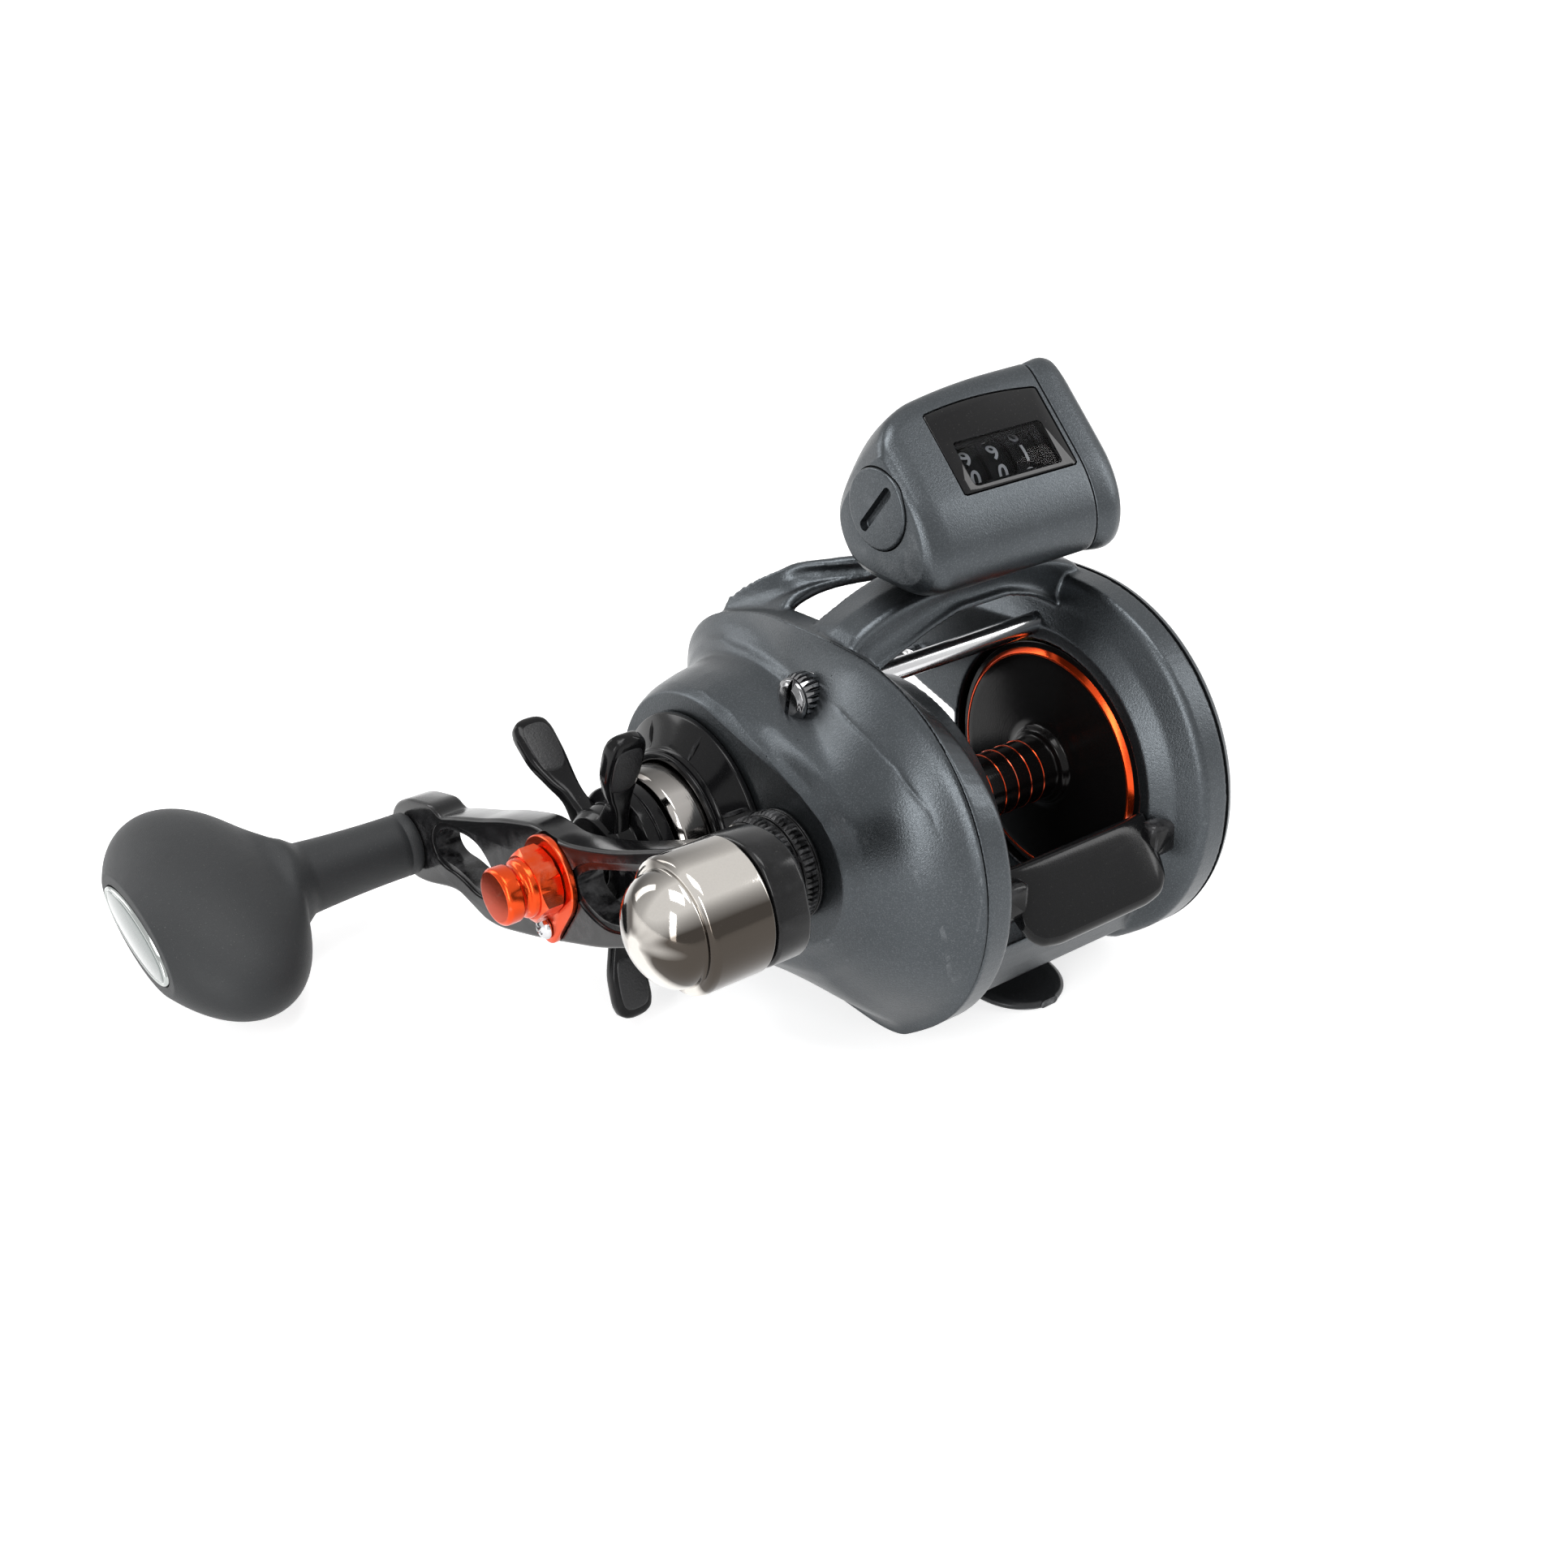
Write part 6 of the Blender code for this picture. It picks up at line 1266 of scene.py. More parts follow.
def makeWorm(size):
    # crossed right- and left-hand grooves round a bar
    sides = size["sides"]
    spin = np.arange(sides) * 2 * math.pi / sides

    def ring(x, radius):
        return layer(x, roundPairs(radius, wormAxis, sides))
    shoulder = -size["gearX"] + 1.0
    rings = [ring(reachOf("worm_shaft")[0], size["tail"]), ring(shoulder, size["tail"]),
             ring(shoulder + 0.2, size["radius"])]
    for x in np.linspace(-size["cut"], size["cut"], 200):
        deepest = np.zeros(sides)
        for hand in (1, -1):
            lead = (x / size["pitch"] * hand - spin / (2 * math.pi)) % 1.0
            away = np.minimum(lead, 1 - lead) / size["grooveWide"]
            deepest = np.maximum(deepest, 1 - away ** 2)
        rings.append(ring(x, size["radius"] - size["groove"] * np.maximum(0, deepest)))
    rings.append(ring(size["end"], size["radius"]))
    finishPiece(loftRings("wormShaft", rings), "steel", "worm_shaft", sharp=50)


makeWorm(wormSizes)
print("spool and shafts turned")


# controls on the handle side

driveTube = {"out": 52.0, "back": 39.0, "radius": 12.4, "bore": 9.3, "shaft": 5.3,
             "trim": ((46.6, 12.7), (46.6, 13.9), (46.15, 14.1), (46.0, 13.75), (45.75, 13.75), (45.6, 14.3),
                      (45.2, 14.7), (45.05, 14.5), (44.85, 14.9), (43.3, 18.1), (42.5, 19.7), (41.5, 19.7),
                      (41.5, 12.7)),
             "ribs": 8, "ribTurn": 12.0, "ribHalf": 0.45, "ribHeight": 0.55,
             # (x, radius, share of the width) along a rib, and its section
             "ribRows": ((-44.8, 14.6, 0.7), (-44.2, 15.8, 1.0), (-43.5, 17.3, 1.0), (-42.6, 18.9, 0.7)),
             "ribSection": ((-1.3, -1.2), (1.3, -1.2), (1.0, 0.5), (0.55, 1.0), (-0.55, 1.0), (-1.0, 0.5)),
             "scallop": 9.9}


def makeDriveTube(size):
    out, back, radius = size["out"], size["back"], size["radius"]
    profile = [(-out, size["shaft"]), (-out, radius - 0.8), (-out + 0.8, radius), (-back, radius),
               (-back, size["bore"]), (-out + 1.9, size["bore"]), (-out + 1.9, size["shaft"])]
    tube = turnedPiece("driveTube", roundProfile(profile, 0.3, True), driveAxis, 160)
    finishPiece(tube, "darkChrome", "drive_tube")
    profile = roundProfile([(-x, r) for x, r in size["trim"]], 0.35, True)
    trim = turnedPiece("driveTrim", profile, driveAxis, 160)
    ribs = []
    for way, side in around(size["ribs"], size["ribTurn"]):
        rings = []
        for x, r, wide in size["ribRows"]:
            half, rise = size["ribHalf"] * wide, size["ribHeight"] * (wide - 0.45) * 1.8
            # the rib stands off the trim's slope, so it leans out along x as it rises
            rings.append([(x - 0.83 * b * rise,
                           *(driveAxis + way * (r + 0.55 * b * rise) + side * (a * half)))
                          for a, b in size["ribSection"]])
        ribs.append(loftRings("rib", rings))
    carve(trim, ribs, "UNION")
    carve(trim, [bar("scallop", size["scallop"], -48.5, -40.5, spoolAxis, 96)])
    finishPiece(trim, "gloss", "drive_trim", sharp=40)


# the bright bands along the drive tube are painted reflection
looks["darkChrome"] = makeLook("darkChrome", (0.035, 0.031, 0.028), (0.06, 0.14), 1.0, 0.08, (0.3, 0.02),
                               dust=(0.1, 0.3), turned=(driveAxis, 0.3, 0.03),
                               bands=(driveAxis, 1.5, 0.52, 3.0, (0.42, 0.40, 0.38)))
looks["gloss"] = makeLook("glossBlack", **glossBlack)
makeDriveTube(driveTube)


castCap = {"base": 41.5, "end": 49.5, "radius": 9.2, "inner": 7.0, "bands": ((42.15, 44.45), (45.25, 47.95)),
           "ribs": 60, "ribHeight": 0.42, "ribWide": 0.78, "ribCrest": 0.45, "step": 0.38, "waist": 0.45}


def makeCastCap(size):
    base, end, radius = size["base"], size["end"], size["radius"]
    core = radius - size["step"]
    waist = core - size["waist"]
    profile = [(-end, 0), (-end, radius - 3.4), (-end + 0.25, radius - 2.6), (-end + 0.5, radius - 1.1),
               (-end + 1.2, radius - 0.35), (-48.1, core), (-45.1, core), (-45.0, waist), (-44.7, waist),
               (-44.6, core), (-42.0, core), (-41.95, radius - 0.05), (-base, radius - 0.05),
               (-base, size["inner"]), (-end + 1.2, size["inner"]), (-end + 1.2, 0)]
    cap = turnedPiece("castControlCap", roundProfile(profile, 0.25), spoolAxis, 160)
    finishPiece(cap, "cap", "cast_control_cap", sharp=38)
    for k, (low, high) in enumerate(size["bands"]):
        growNodes("castCapKnurl%d" % (k + 1), ridgesRound,
                  {"Count": size["ribs"], "Radius": (core + 0.05) * mm, "Length": (high - low) * mm,
                   "Foot Width": size["ribWide"] * mm, "Crest Share": size["ribCrest"],
                   "Height": size["ribHeight"] * mm, "Seed": 5 + k,
                   "Middle": worldSpot(-(low + high) / 2, spoolAxis)}, "cap", "cast_control_cap")


looks["cap"] = makeLook("capBlack", (0.008, 0.008, 0.0085), (0.10, 0.20), 0.1, 0.3, (0.4, 0.03),
                        wear=(0.4, (0.3, 0.3, 0.31)), dust=(0.12, 0.4), turned=(spoolAxis, 0.25, 0.05),
                        specular=0.22)
makeCastCap(castCap)


coverScrew = {"low": 29.0, "high": 34.5, "tip": 19.0, "radius": 3.7, "shank": 1.5, "slotTurn": 100.0,
              "slotReach": 4.2, "slotHalf": 0.5, "teeth": 24, "toothLong": 3.5, "toothWide": 0.74,
              "toothHigh": 0.5, "teethAt": -31.35, "step": 0.34}


def makeCoverScrew(size):
    low, high, radius = size["low"], size["high"], size["radius"]
    core = radius - size["step"]
    profile = [(-high, 0), (-high, core - 0.9), (-high + 0.3, core - 0.5), (-high + 0.45, core),
               (-high + 1.0, radius - 0.12), (-high + 1.2, core), (-low - 0.5, core),
               (-low - 0.4, radius - 0.25), (-low, radius - 0.3), (-low, size["shank"]),
               (-size["tip"], size["shank"]), (-size["tip"], 0)]
    screw = turnedPiece("coverThumbScrew", roundProfile(profile, 0.2), screwAxis, 96)
    slot = slotOutline(screwAxis, size["slotTurn"], size["slotReach"], size["slotHalf"], 12)
    carve(screw, [slab("slot", slot, -high - 1, -high + 1.0, 0.15)])
    finishPiece(screw, "blackChrome", "cover_thumb_screw", sharp=38)
    growNodes("thumbScrewKnurl", ridgesRound,
              {"Count": size["teeth"], "Radius": (core + 0.05) * mm, "Length": size["toothLong"] * mm,
               "Foot Width": size["toothWide"] * mm, "Crest Share": 0.5, "Height": size["toothHigh"] * mm,
               "Seed": 11, "Unevenness": 0.02, "Middle": worldSpot(size["teethAt"], screwAxis)},
              "blackChrome", "cover_thumb_screw")


looks["blackChrome"] = makeLook("blackChrome", (0.20, 0.20, 0.205), (0.06, 0.14), 1.0, 0.1, (0.3, 0.03),
                                dust=(0.1, 0.3))
makeCoverScrew(coverScrew)
print("controls fitted")


starSizes = {"arms": 5, "turn": 37.0, "reach": 27.5, "x": -60.3, "start": 52.5, "out": 61.9, "bore": 4.3,
             # share of the reach, half width across, half thickness, shift
             "stations": ((0.20, 2.0, 3.4, 1.0), (0.30, 1.9, 2.6, 1.0), (0.42, 1.7, 1.8, 0.9),
                          (0.56, 2.5, 1.45, 0.4), (0.74, 3.4, 1.6, 0.0), (0.88, 3.5, 1.65, 0.0),
                          (0.95, 3.1, 1.5, 0.0), (0.985, 2.1, 1.1, 0.0), (1.0, 0.9, 0.55, 0.0)),
             "pad": ((0.60, 1.6), (0.66, 2.35), (0.80, 2.65), (0.90, 2.5), (0.945, 1.5)), "padMiddle": 0.775}


def makeStar(size):
    start, out, bore = size["start"], size["out"], size["bore"]
    profile = [(-out, bore), (-out, 7.4), (-out + 1.2, 8.6), (-57.7, 8.8), (-57.4, 10.4), (-57.0, 11.0),
               (-55.2, 11.2), (-55.05, 10.9), (-54.8, 10.9), (-54.65, 11.2), (-start, 11.2), (-start, bore)]
    hub = turnedPiece("starDrag", roundProfile(profile, 0.4, True), driveAxis, 128)
    curves = curvesThrough(size["stations"])
    pads = []
    for way, side in around(size["arms"], size["turn"]):
        rings = []
        shares = np.concatenate((np.linspace(0.20, 0.94, 26),
                                 0.94 + 0.06 * np.sin(np.linspace(0.15, math.pi / 2, 9))))
        for share in shares:
            wide, thick, shift = (float(curve(share)) for curve in curves)
            ring = []
            for a in np.arange(32) * 2 * math.pi / 32:
                c, s = math.cos(a), math.sin(a)
                u, v = math.copysign(abs(c) ** 0.5, c) * wide, math.copysign(abs(s) ** 0.55, s) * thick
                ring.append((size["x"] + shift + u, *(driveAxis + way * (share * size["reach"]) + side * v)))
            rings.append(ring)
        carve(hub, [loftRings("paddle", rings, "flat", "round")], "UNION")
        for face in (-1, 1):
            layers = []
            edge = list(size["pad"]) + [(s, -w) for s, w in reversed(size["pad"])]
            for rise, less in ((0.0, 0.0), (0.16, 0.12), (0.24, 0.35)):
                ring, squeeze = [], 1 - less / 2.6
                for share, wide in chaikin(edge, 3):
                    reach = (size["padMiddle"] + (share - size["padMiddle"]) * squeeze) * size["reach"]
                    lift = float(curves[1](share)) - 0.1 + rise
                    ring.append((size["x"] + wide * squeeze, *(driveAxis + way * reach + side * face * lift)))
                layers.append(ring)
            pads.append(loftRings("pad", layers))
    finishPiece(hub, "gloss", "star_drag", sharp=40)
    finishPiece(joinShells("starPads", pads), "pads", "star_drag", sharp=30, extra=True)


looks["pads"] = makeLook("starGrip", (0.009, 0.009, 0.010), (0.34, 0.48), 0.0, 0.25, (0.35, 0.45),
                         dust=(0.25, 0.35), specular=0.4)
makeStar(starSizes)
print("star drag made")


# handle: arm, nut and its plate, counterweight

armSizes = {"inner": -64.0, "thick": 5.8, "angle": -17.5, "edge": 0.7,
            # along the arm, lower edge, upper edge
            "edges": ((-62.8, .7, 5.9), (-61.4, -2.9, 9.5), (-57.6, -5.7, 12.3), (-53, -6.7, 13.2),
                      (-47, -6.6, 12.2), (-41, -7.4, 10.0), (-31, -8.1, 8.3), (-20, -9.1, 6.9),
                      (-13, -10.2, 6.5), (-8, -10.8, 6.4), (-4, -11.1, 6.7), (0, -11.4, 7.8), (4, -11.7, 8.6),
                      (13, -12.2, 8.3), (22, -12.4, 7.4), (27.4, -11.8, 7.0), (32.5, -9.5, 6.6),
                      (37, -7.6, 6.2), (40.2, -7.4, 8.0), (47.7, -7.6, 8.2), (52.7, -7.2, 7.4),
                      (56.3, -5.2, 5.4), (58.3, -2.2, 2.4)),
            "knobWindow": ((21.5, -4.6), (22.4, -.9), (26.5, 3.4), (37.7, 4.2), (42.1, 1.4), (41.1, -2.2),
                           (34.7, -3.4), (27.5, -7.2)),
            "weightWindow": ((-6.6, -2.0), (-8.2, 2.4), (-25.8, 4.2), (-38, 5.6), (-40.4, 2.6), (-38, -2.6),
                             (-19, -5.8), (-12.7, -5.7)),
            "ledge": 1.3, "ledgeDeep": 0.55, "shaft": 3.1, "spindle": 2.6, "stud": 2.9,
            "nutEnd": 7.4, "screwEnd": 2.9, "screwReach": 9.5, "screwTurn": -84.0, "screwHole": 1.2}
armAlong, armAcross = headings(math.radians(armSizes["angle"]))
retainerAt = driveAxis + armSizes["screwReach"] * headings(math.radians(armSizes["screwTurn"]))[0]


def onArm(u, v):
    return tuple(driveAxis + armAlong * u + armAcross * v)


def teardrop(margin=0.0):
    # round the nut and its lock screw
    return evenly(hull(circle(armSizes["nutEnd"] + margin, driveAxis, 120)
                       + circle(armSizes["screwEnd"] + margin, retainerAt, 60)), 120)


def makeArm(size):
    outer, edge = size["inner"] - size["thick"], size["edge"]
    lower, upper = curvesThrough(size["edges"])
    first, last = size["edges"][0][0], size["edges"][-1][0]
    spread = first + (last - first) * (1 - np.cos(np.linspace(0, math.pi, 110))) / 2
    side = [(u, float(lower(u))) for u in spread]
    top = [(u, float(upper(u))) for u in spread[::-1]]
    outline = evenly(roundProfile(evenly(side + top, 260), 0.5, True, 1), 360)
    body = slab("handleArm", [onArm(u, v) for u, v in outline], outer, size["inner"], edge, 4)
    tools = []
    for points in (size["knobWindow"], size["weightWindow"]):
        opening = evenly(chaikin(list(points), 3), 120)
        ledge = evenly(grown(opening, size["ledge"]), 120)
        for shape, low, high, soft in ((ledge, outer - 2, outer + size["ledgeDeep"], 0.3),
                                       (ledge, size["inner"] - size["ledgeDeep"], size["inner"] + 2, 0.3),
                                       (opening, outer - 3, size["inner"] + 3, 0.1)):
            tools.append(slab("opening", [onArm(*p) for p in shape], low, high, soft))
    tools.append(slab("seat", grown(teardrop(0.3), 0), outer - 2, outer + 0.5, 0.05))
    carve(body, tools + holes(((size["shaft"], outer - 1, size["inner"] + 1, driveAxis),
                               (size["spindle"], outer - 1, size["inner"] + 1, knobAxis),
                               (size["stud"], outer - 1, outer + 4.3, weightAxis),
                               (size["screwHole"], outer - 1, outer + 3.5, retainerAt, 24))))
    finishPiece(body, "arm", "handle_arm", sharp=40)


looks["arm"] = makeLook("armBlack", (0.007, 0.007, 0.0075), (0.13, 0.22), 0.0, 0.3, (0.35, 0.06),
                        wear=(0.4, (0.25, 0.25, 0.26)), dust=(0.12, 0.4), specular=0.22)
makeArm(armSizes)


nutSizes = {"seat": 69.6, "plate": 1.2, "across": 6.3, "turn": 12.0, "hexLong": 4.0, "bore": 3.1,
            # turn, reach, half width, half width at the floor, depth
            "cross": (0.5, 1.15, 0.26, 0.1885, 0.9)}


def crossRecess(axis, face, cross, along="x"):
    # a cross-head recess, narrower at its floor
    turn, reach, half, floorHalf, deep = cross
    made = []
    for way, side in (headings(turn), headings(turn + math.pi / 2)):
        rings = []
        for x, share, wide in ((face - 0.5, 1.0, half), (face, 1.0, half), (face + deep, 0.45, floorHalf)):
            rings.append(layer(x, [np.array(axis) + way * (a * reach * share) + side * (b * wide)
                                   for a, b in ((-1, -1), (1, -1), (1, 1), (-1, 1))], along))
        made.append(loftRings("cross", rings))
    return made


def makeNut(size):
    seat, thick = size["seat"], size["plate"]
    plate = slab("nutRetainer", teardrop(), -seat - thick, -seat, 0.28, 3)
    bore = size["bore"]
    carve(plate, holes(((bore, -seat - 3, -seat + 1, driveAxis),
                        (armSizes["screwHole"], -seat - 3, -seat + 1, retainerAt))))
    finishPiece(plate, "orange", "nut_retainer")
    base = seat + thick + 0.25
    hexagon = evenly(circle(size["across"], driveAxis, 6, math.radians(size["turn"])), 60)
    nut = slab("handleNut", hexagon, -base - size["hexLong"], -base, 0.12, 2)
    chamfer = [(-base - 4.0, 0), (-base - 4.0, 5.3), (-base - 3.2, 6.4), (-base - 0.7, 6.4), (-base, 5.5),
               (-base, 0)]
    carve(nut, [turnedPiece("chamfer", chamfer, driveAxis, 96)], "INTERSECT")
    cap = [(-base - 9.4, 0), (-base - 9.4, 4.3), (-base - 8.9, 4.8), (-base - 6.6, 4.8), (-base - 6.1, 4.15),
           (-base - 5.4, 4.15), (-base - 4.9, 4.9), (-base - 3.0, 5.1), (-base - 3.0, 0)]
    carve(nut, [turnedPiece("cap", roundProfile(cap, 0.35), driveAxis, 96)], "UNION")
    carve(nut, holes(((bore, -base - 3.2, -base + 1, driveAxis),)))
    finishPiece(nut, "orange", "handle_nut")
    head = seat + thick + 0.1
    profile = [(-head - 1.5, 0), (-head - 1.4, 0.8), (-head - 1.0, 1.6), (-head - 0.5, 1.95), (-head, 2.0),
               (-head, 0.9), (-head + 3.6, 0.9), (-head + 3.6, 0)]
    screw = turnedPiece("retainerScrew", roundProfile(profile, 0.2), retainerAt, 64)
    carve(screw, crossRecess(retainerAt, -head - 1.5, size["cross"]))
    finishPiece(screw, "steel", "retainer_screw")
    low, high = reachOf("knob_spindle")
    spindle = [(low, 0), (low, 2.3), (-64.1, 2.3), (-64.0, 3.8), (-63.7, 3.8), (high, 3.2), (high, 0)]
    finishPiece(turnedPiece("knobSpindle", roundProfile(spindle, 0.2), knobAxis, 64), "steel", "knob_spindle")


looks["orange"] = makeLook("nutOrange", **orangeMetal)
makeNut(nutSizes)


weightSizes = {"face": -70.1, "stud": -65.8, "radius": 10.2, "long": 10.6, "dome": 8.5, "domeRise": 6.2}


def makeCounterweight(size):
    face, radius, dome = size["face"], size["radius"], size["dome"]
    shoulder = face - size["long"]
    profile = [(size["stud"], 0), (size["stud"], 2.6), (face, 2.6), (face, radius - 0.4),
               (face - 0.4, radius), (shoulder + 1.1, radius), (shoulder + 0.35, radius - 0.3),
               (shoulder, radius - 1.0), (shoulder, dome + 0.15), (shoulder - 0.25, dome)]
    profile = roundProfile(profile, 0.3)
    profile += [(shoulder - 0.25 - (size["domeRise"] - 0.25) * math.sin(a), dome * math.cos(a))
                for a in np.linspace(0.06, math.pi / 2 - 0.03, 40)] + [(shoulder - size["domeRise"], 0)]
    piece = turnedPiece("counterweight", profile, weightAxis, 160)
    finishPiece(piece, "nickel", "counterweight", sharp=45)


# the dark bands along the counterweight are painted reflection
looks["nickel"] = makeLook("polishedNickel", (0.62, 0.59, 0.55), (0.05, 0.13), 1.0, 0.06, (0.3, 0.015),
                           dust=(0.12, 0.3), turned=(weightAxis, 0.5, 0.015), scuff=9.0,
                           bands=(weightAxis, 1.3, 0.53, 12.0, (0.055, 0.047, 0.040)))
makeCounterweight(weightSizes)


# the knob

knobSizes = {"middle": -109.1, "half": (14.8, 25.3, 9.9), "tilt": 15.0, "stem": 5.7, "start": -70.2,
             "flat": -121.2, "plate": (12.2, 4.6), "sides": 128, "bore": 2.5,
             "boreEnd": -114.2, "ringLine": (-72.6, 0.16)}
knobLong, knobWide = headings(math.radians(knobSizes["tilt"]))


def ovalRing(x, long, wide, sides=None):
    sides = sides or knobSizes["sides"]
    spin = np.arange(sides) * 2 * math.pi / sides
    flat = knobAxis + np.outer(np.cos(spin) * long, knobLong) + np.outer(np.sin(spin) * wide, knobWide)
    return layer(x, flat)


def knobReach(x):
    # a round stem that runs into the oval swell
    deep, long, wide = knobSizes["half"]
    stem = knobSizes["stem"] + 0.3
    swell = math.sqrt(max(0.0, 1 - ((x - knobSizes["middle"]) / deep) ** 2))
    flare = 2.4 * math.exp(-(((x - knobSizes["middle"]) - deep * 0.98) / 2.6) ** 2)
    return [((stem + flare) ** 4 + (reach * swell) ** 4) ** 0.25 for reach in (long, wide)]


def makeKnob(size):
    start, stem, flat = size["start"], size["stem"], size["flat"]
    first = size["middle"] + size["half"][0] + 3.0
    rings = [ovalRing(start, stem - 0.7, stem - 0.7), ovalRing(start - 0.1, stem - 0.35, stem - 0.35),
             ovalRing(start - 0.4, stem - 0.08, stem - 0.08), ovalRing(start - 0.8, stem, stem)]
    groove, deep = size["ringLine"]
    for x, less in ((groove + 0.35, 0), (groove + 0.12, deep), (groove - 0.12, deep), (groove - 0.35, 0)):
        rings.append(ovalRing(x, stem + 0.02 - less, stem + 0.02 - less))
    for x in np.linspace(groove - 1.5, first + 0.6, 14):
        a, b = knobReach(first)
        share = ((groove - x) / (groove - first)) ** 2
        rings.append(ovalRing(x, stem + (a - stem) * share, stem + (b - stem) * share))
    run = 1 - (1 - np.linspace(0, 1, 64)) ** 1.6
    rings += [ovalRing(x, *knobReach(x)) for x in first + (flat - first) * run]
    a, b = knobReach(flat)
    rings += [ovalRing(flat - 0.12, a - 0.25, b - 0.2), ovalRing(flat - 0.16, a - 0.6, b - 0.5)]
    knob = loftRings("handleKnob", rings)
    long, wide = size["plate"]
    recess = loftRings("recess", [ovalRing(flat + 1.2, long + 0.25, wide + 0.25, 96),
                                  ovalRing(flat - 1, long + 0.25, wide + 0.25, 96)])
    carve(knob, [bar("hole", size["bore"], size["boreEnd"], start + 1, knobAxis), recess])
    finishPiece(knob, "rubber", "handle_knob", sharp=50)
    outer = flat - 0.5
    rows = [(flat + 0.9, 1.0, 1.0), (outer + 0.1, 1.0, 1.0), (outer - 0.15, 0.985, 0.965),
            (outer - 0.25, 0.965, 0.92), (outer - 0.22, 0.945, 0.875), (outer - 0.08, 0.93, 0.85)]
    rim = loftRings("knobPlateRim", [ovalRing(x, long * a, wide * b, 128) for x, a, b in rows])
    finishPiece(rim, "plateRim", "knob_end_plate", sharp=50, extra=True)
    rows = [(outer + 0.4, 0.93, 0.85), (outer - 0.05, 0.93, 0.85), (outer - 0.22, 0.915, 0.82)]
    rows += [(outer - 0.22 - 0.5 * (1 - s * s), 0.915 * s, 0.82 * s) for s in np.linspace(0.93, 0.04, 16)]
    rings = [ovalRing(x, long * a, wide * b, 128) for x, a, b in rows]
    face = loftRings("knobPlateFace", rings, "flat", "round")
    finishPiece(face, "plateFace", "knob_end_plate", sharp=50)


looks["rubber"] = makeLook("softRubber", **softRubber)
looks["plateRim"] = makeLook("plateRim", (0.40, 0.42, 0.41), (0.08, 0.16), 1.0, 0.05, (0.3, 0.02))
looks["plateFace"] = makeLook("plateFace", (0.15, 0.175, 0.168), (0.14, 0.24), 0.2, 0.06, (0.8, 0.02),
                              dust=(0.12, 0.3), coat=(0.9, 0.03))
makeKnob(knobSizes)
print("handle made")


# thumb bar, foot and line guide

barSizes = {"half": 15.6, "middle": -1.6, "front": -22.3, "back": -32.0,
            "section": ((0.0, -0.2), (0.13, 0.9), (0.30, 0.6), (0.98, -8.6), (1.0, -10.4), (0.87, -11.7),
                        (0.45, -9.0), (0.02, -6.4)),
            "swell": ((-1, .72), (-.97, .78), (-.92, .87), (-.80, .96), (-.55, 1), (.55, 1), (.80, .96),
                      (.92, .87), (.97, .78), (1, .72)),
            "tab": (-28.2, -24.4, -6.0, 0.2, (-21.6, 19.6))}


def makeThumbBar(size):
    front, back = size["front"], size["back"]
    swell = curvesThrough(size["swell"])[0]
    section = chaikin(list(size["section"]), 3)
    rings = []
    for way in np.sin(np.linspace(-math.pi / 2, math.pi / 2, 80)):
        x = size["middle"] + size["half"] * way
        share = float(swell(way))
        rings.append([(x, front + (back - front) * reach * share, z * share if z < 0 else z)
                      for reach, z in section])
    body = loftRings("thumbBar", softEnds(rings, 0.5, 0.5))
    y0, y1, z0, z1, ends = size["tab"]
    tabs = []
    for side, end in zip((-1, 1), ends):
        low, high = sorted((size["middle"] + side * (size["half"] - 2), end))
        tabs.append(block("tab", (low, y0, z0), (high, y1, z1), 1.3))
    carve(body, tabs, "UNION")
    finishPiece(body, "bar", "thumb_bar", sharp=40)


looks["bar"] = makeLook("thumbBarBlack", (0.006, 0.006, 0.0065), (0.10, 0.20), 0.0, 0.3, (0.5, 0.03),
                        wear=(0.4, (0.2, 0.2, 0.21)), dust=(0.12, 0.45), specular=0.18)
makeThumbBar(barSizes)


footSizes = {"long": 58.0, "wide": 17.0, "thick": 2.6, "middle": 10.0, "under": -34.0, "screws": (-4.0, 22.0),
             "hole": 1.5, "cross": (0.4, 1.3, 0.3, 0.135, 0.7)}


def makeFoot(size):
    reach, wide, under = size["long"] / 2, size["wide"] / 2, size["under"]
    rings = []
    for share in np.sin(np.linspace(-math.pi / 2, math.pi / 2, 90)):
        end = max(0.0, abs(share) - 0.6) / 0.4
        width = wide * math.sqrt(max(0.05, 1 - end ** 2.6))
        thick = size["thick"] * (1 - 0.45 * end ** 1.3)
        y = size["middle"] + share * reach
        half = [(width - 0.4, under), (width, under + 0.4), (width, under + thick * 0.5),
                (width * 0.86, under + thick * 0.88), (width * 0.6, under + thick)]
        section = half + [(-x, z) for x, z in reversed(half)]
        rings.append(layer(y, roundProfile(section, 0.35, True, 3), "y"))
    body = loftRings("reelFoot", rings)
    tools = []
    for y in size["screws"]:
        tools.append(bar("hole", size["hole"], under - 2, under + 5, (0, y), 48, "z"))
        seat = [(under - 1, 0), (under - 1, 3.0), (under + 0.1, 2.85), (under + 0.4, 2.7), (under + 1.3, 2.7),
                (under + 1.3, 0)]
        tools.append(turnedPiece("seat", seat, (0, y), 64, "z"))
    carve(body, tools)
    finishPiece(body, "foot", "reel_foot", sharp=40)
    for k, y in enumerate(size["screws"]):
        node = "foot_screw_%d" % (k + 1)
        low, high = (corner.z / mm - spoolMiddle.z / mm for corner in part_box(node))
        profile = [(low, 0), (low, 2.1), (low + 0.25, 2.4), (low + 1.0, 2.4), (low + 1.0, 1.2), (high, 1.2),
                   (high, 0)]
        screw = turnedPiece("footScrew%d" % (k + 1), roundProfile(profile, 0.2), (0, y), 64, "z")
        carve(screw, crossRecess((0, y), low, size["cross"], "z"))
        finishPiece(screw, "steel", node)


looks["foot"] = makeLook("footBlack", **satinBlack)
makeFoot(footSizes)


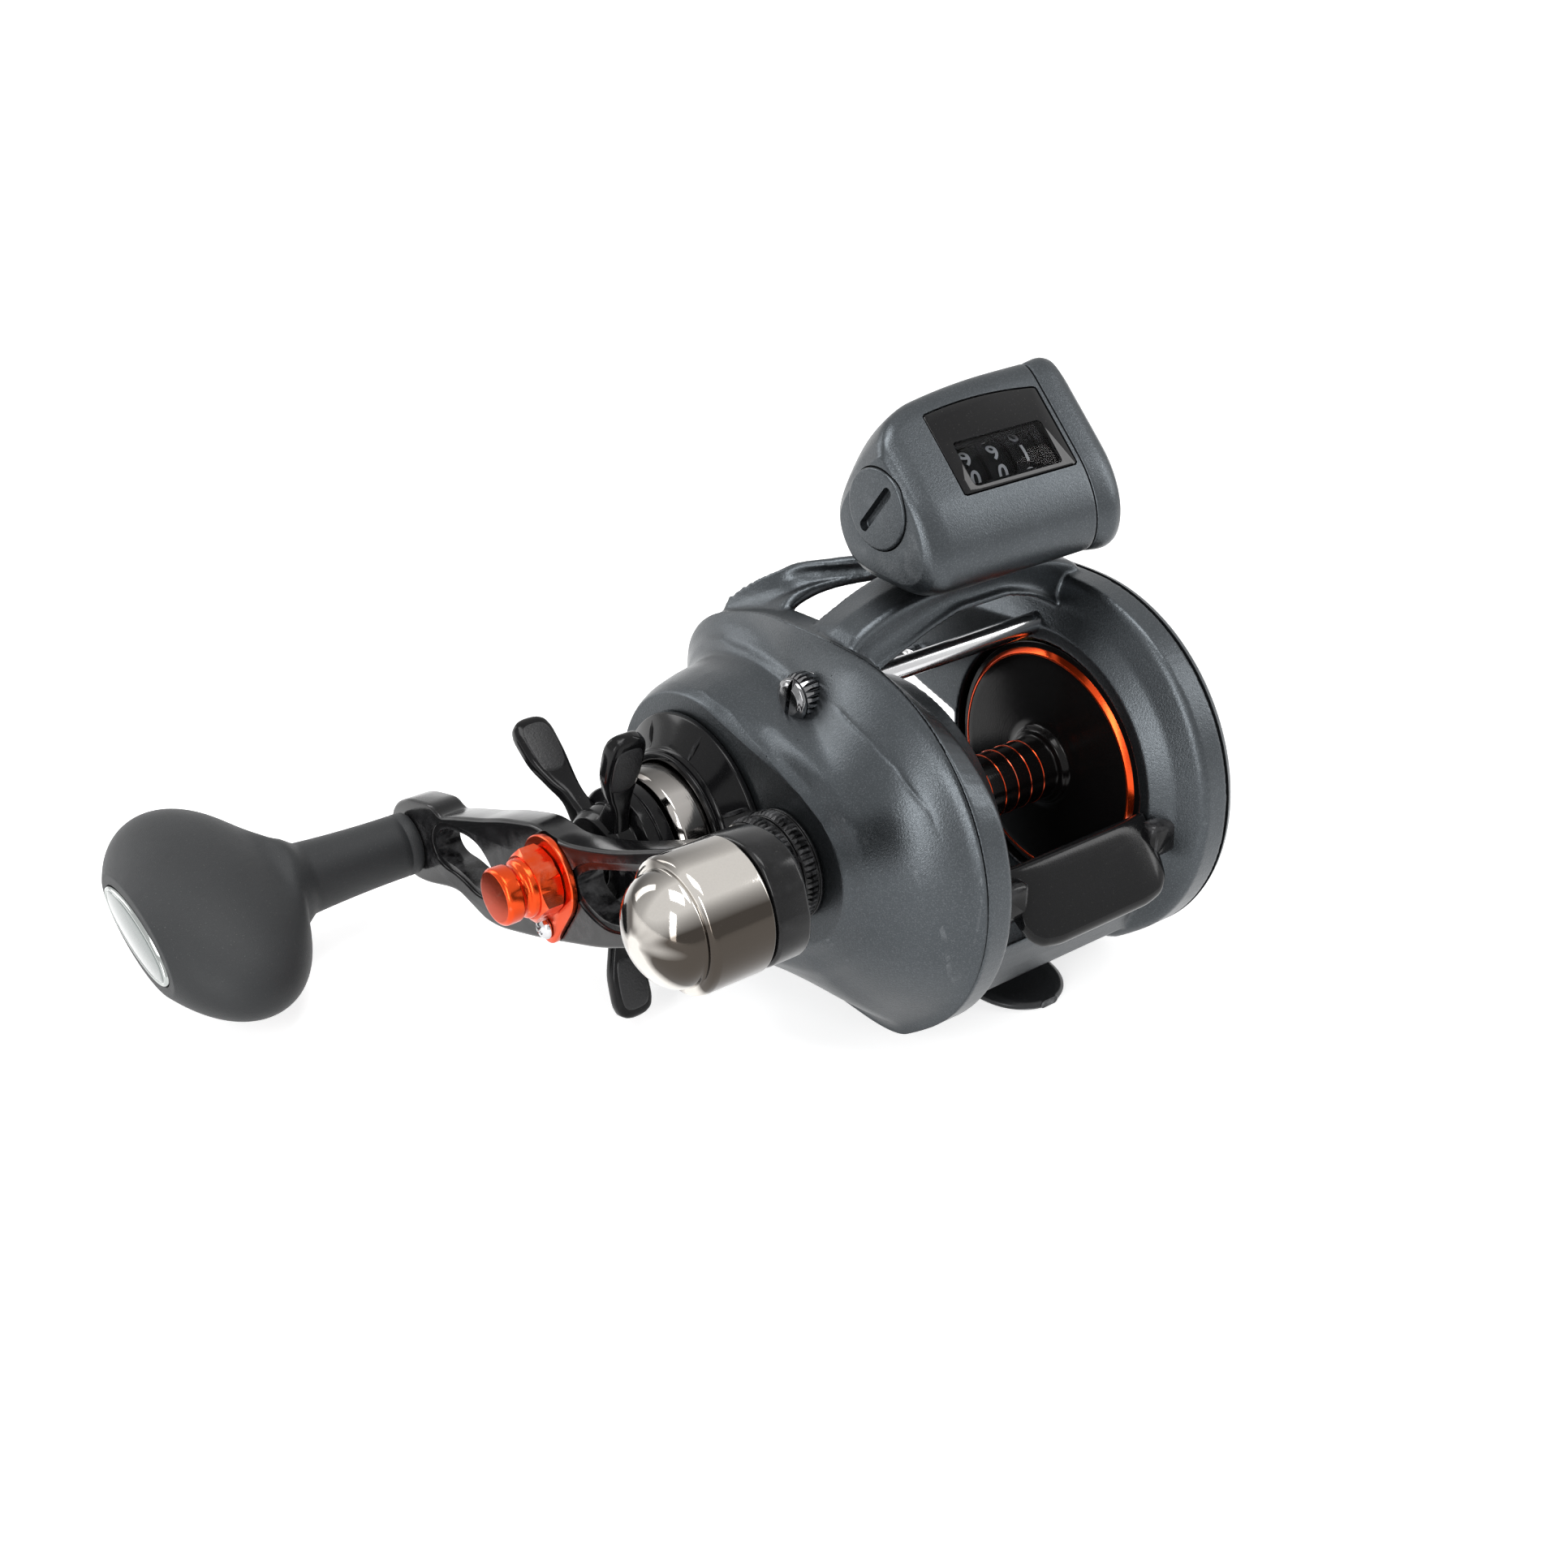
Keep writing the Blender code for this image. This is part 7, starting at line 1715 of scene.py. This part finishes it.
def makeLineGuide():
    low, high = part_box("guide_insert")
    middle = ((low + high) / 2 - spoolMiddle) / mm
    front, back = (high.y - spoolMiddle.y) / mm, (low.y - spoolMiddle.y) / mm
    profile = [(front, 4.1), (front, 3.7), (front - 0.5, 3.25), (front - 1.2, 3.1), (back + 1.2, 3.1),
               (back + 0.5, 3.25), (back, 3.7), (back, 4.1)]
    ring = turnedPiece("guideRing", roundProfile(profile, 0.3, True), (middle.x, middle.z), 96, "y")
    finishPiece(ring, "steel", "guide_insert")
    finishPiece(refinedCopy("lineGuide", "line_guide", 0.3, 30, 3), "bar", "line_guide", sharp=32)


makeLineGuide()
print("thumb bar, foot and line guide made")


# what stays as it was machined: gears, bearings and plates inside

inside = {"spool_bearing_handle_side": "steel", "spool_bearing_palm_side": "steel",
          "drive_bearing": "steel", "anti_reverse_bearing": "steel", "brake_plate": "brass",
          "counter_axle": "steel",
          "drive_shaft": "steel", "main_gear": "brass", "drag_washer": "carbon", "pressure_plate": "plate",
          "shaft_sleeve": "steel", "level_wind_drive_gear": "nylon", "brake_rotor": "plate",
          "pinion": "brass", "clutch_yoke": "plate", "worm_gear": "nylon"}
looks["brass"] = makeLook("machinedBrass", turned=(driveAxis, 0.2, 0.12), **machinedBrass)
looks["nylon"] = makeLook("whiteNylon", **whiteNylon)
looks["carbon"] = makeLook("carbonWasher", **carbonMat)
for node, look in inside.items():
    for slot in frame["nodes"][node].material_slots:
        slot.material = looks[look]
print("inner parts finished")


# floor, lamps and camera

stage = {"floor": 1.6, "level": -0.0002, "glow": 0.72,
         "lamps": (("left", (-0.85, -0.42, 0.36), 0.22, 0.85, 5.2),
                   ("above", (-0.10, -0.10, 0.95), 0.55, 0.40, 4.6),
                   ("front", (-0.45, 0.75, 0.45), 0.22, 0.70, 2.4),
                   ("right", (0.70, -0.45, 0.50), 0.20, 0.60, 2.2)),
         "aim": (0.0, 0.005, 0.045), "world": 0.34,
         "camera": (-0.2179, -0.2375, 0.2023), "view": (0.5389, 0.6978, -0.472), "lens": 48.45}


def seenWhite(tree):
    # 1 for what the eye, a mirror or a glass sees directly
    path = addNode(tree, "ShaderNodeLightPath")
    return sums(tree, "MAXIMUM", path.outputs["Is Camera Ray"],
                sums(tree, "MAXIMUM", path.outputs["Is Glossy Ray"], path.outputs["Is Transmission Ray"]))


def makeStage(size):
    half = size["floor"]
    mesh = bpy.data.meshes.new("floor")
    corners = ((-half, -half), (half, -half), (half, half), (-half, half))
    mesh.from_pydata([(x, y, size["level"]) for x, y in corners], [], [(0, 1, 2, 3)])
    floor = newObject("floor", mesh)
    look = bpy.data.materials.new("paleFloor")
    look.use_nodes = True
    tree = look.node_tree
    shader = tree.nodes["Principled BSDF"].inputs
    shader["Base Color"].default_value = (0.80, 0.80, 0.80, 1)
    shader["Roughness"].default_value = 0.9
    shader["Emission Color"].default_value = (1, 1, 1, 1)
    tree.links.new(sums(tree, "MULTIPLY", seenWhite(tree), size["glow"]), shader["Emission Strength"])
    mesh.materials.append(look)
    world = bpy.data.worlds.new("studio")
    bpy.context.scene.world = world
    world.use_nodes = True
    tree = world.node_tree
    back = tree.nodes["Background"]
    back.inputs["Color"].default_value = (1, 1, 1, 1)
    lit = ranged(tree, seenWhite(tree), 0.0, 1.0, size["world"], 1.0)
    tree.links.new(lit, back.inputs["Strength"])
    for name, at, wide, tall, watts in size["lamps"]:
        lamp = bpy.data.lights.new(name, "AREA")
        lamp.shape, lamp.size, lamp.size_y, lamp.energy = "RECTANGLE", wide, tall, watts
        obj = newObject(name, lamp)
        obj.location = at
        obj.rotation_euler = (Vector(size["aim"]) - Vector(at)).to_track_quat("-Z", "Y").to_euler()
    camera = bpy.data.cameras.new("camera")
    camera.lens, camera.sensor_width, camera.clip_start = size["lens"], 36.0, 0.01
    eye = newObject("camera", camera)
    eye.location = size["camera"]
    eye.rotation_euler = Vector(size["view"]).to_track_quat("-Z", "Y").to_euler()
    bpy.context.scene.camera = eye
    bpy.context.scene.view_settings.view_transform = "Standard"


makeStage(stage)
print("stage lit")
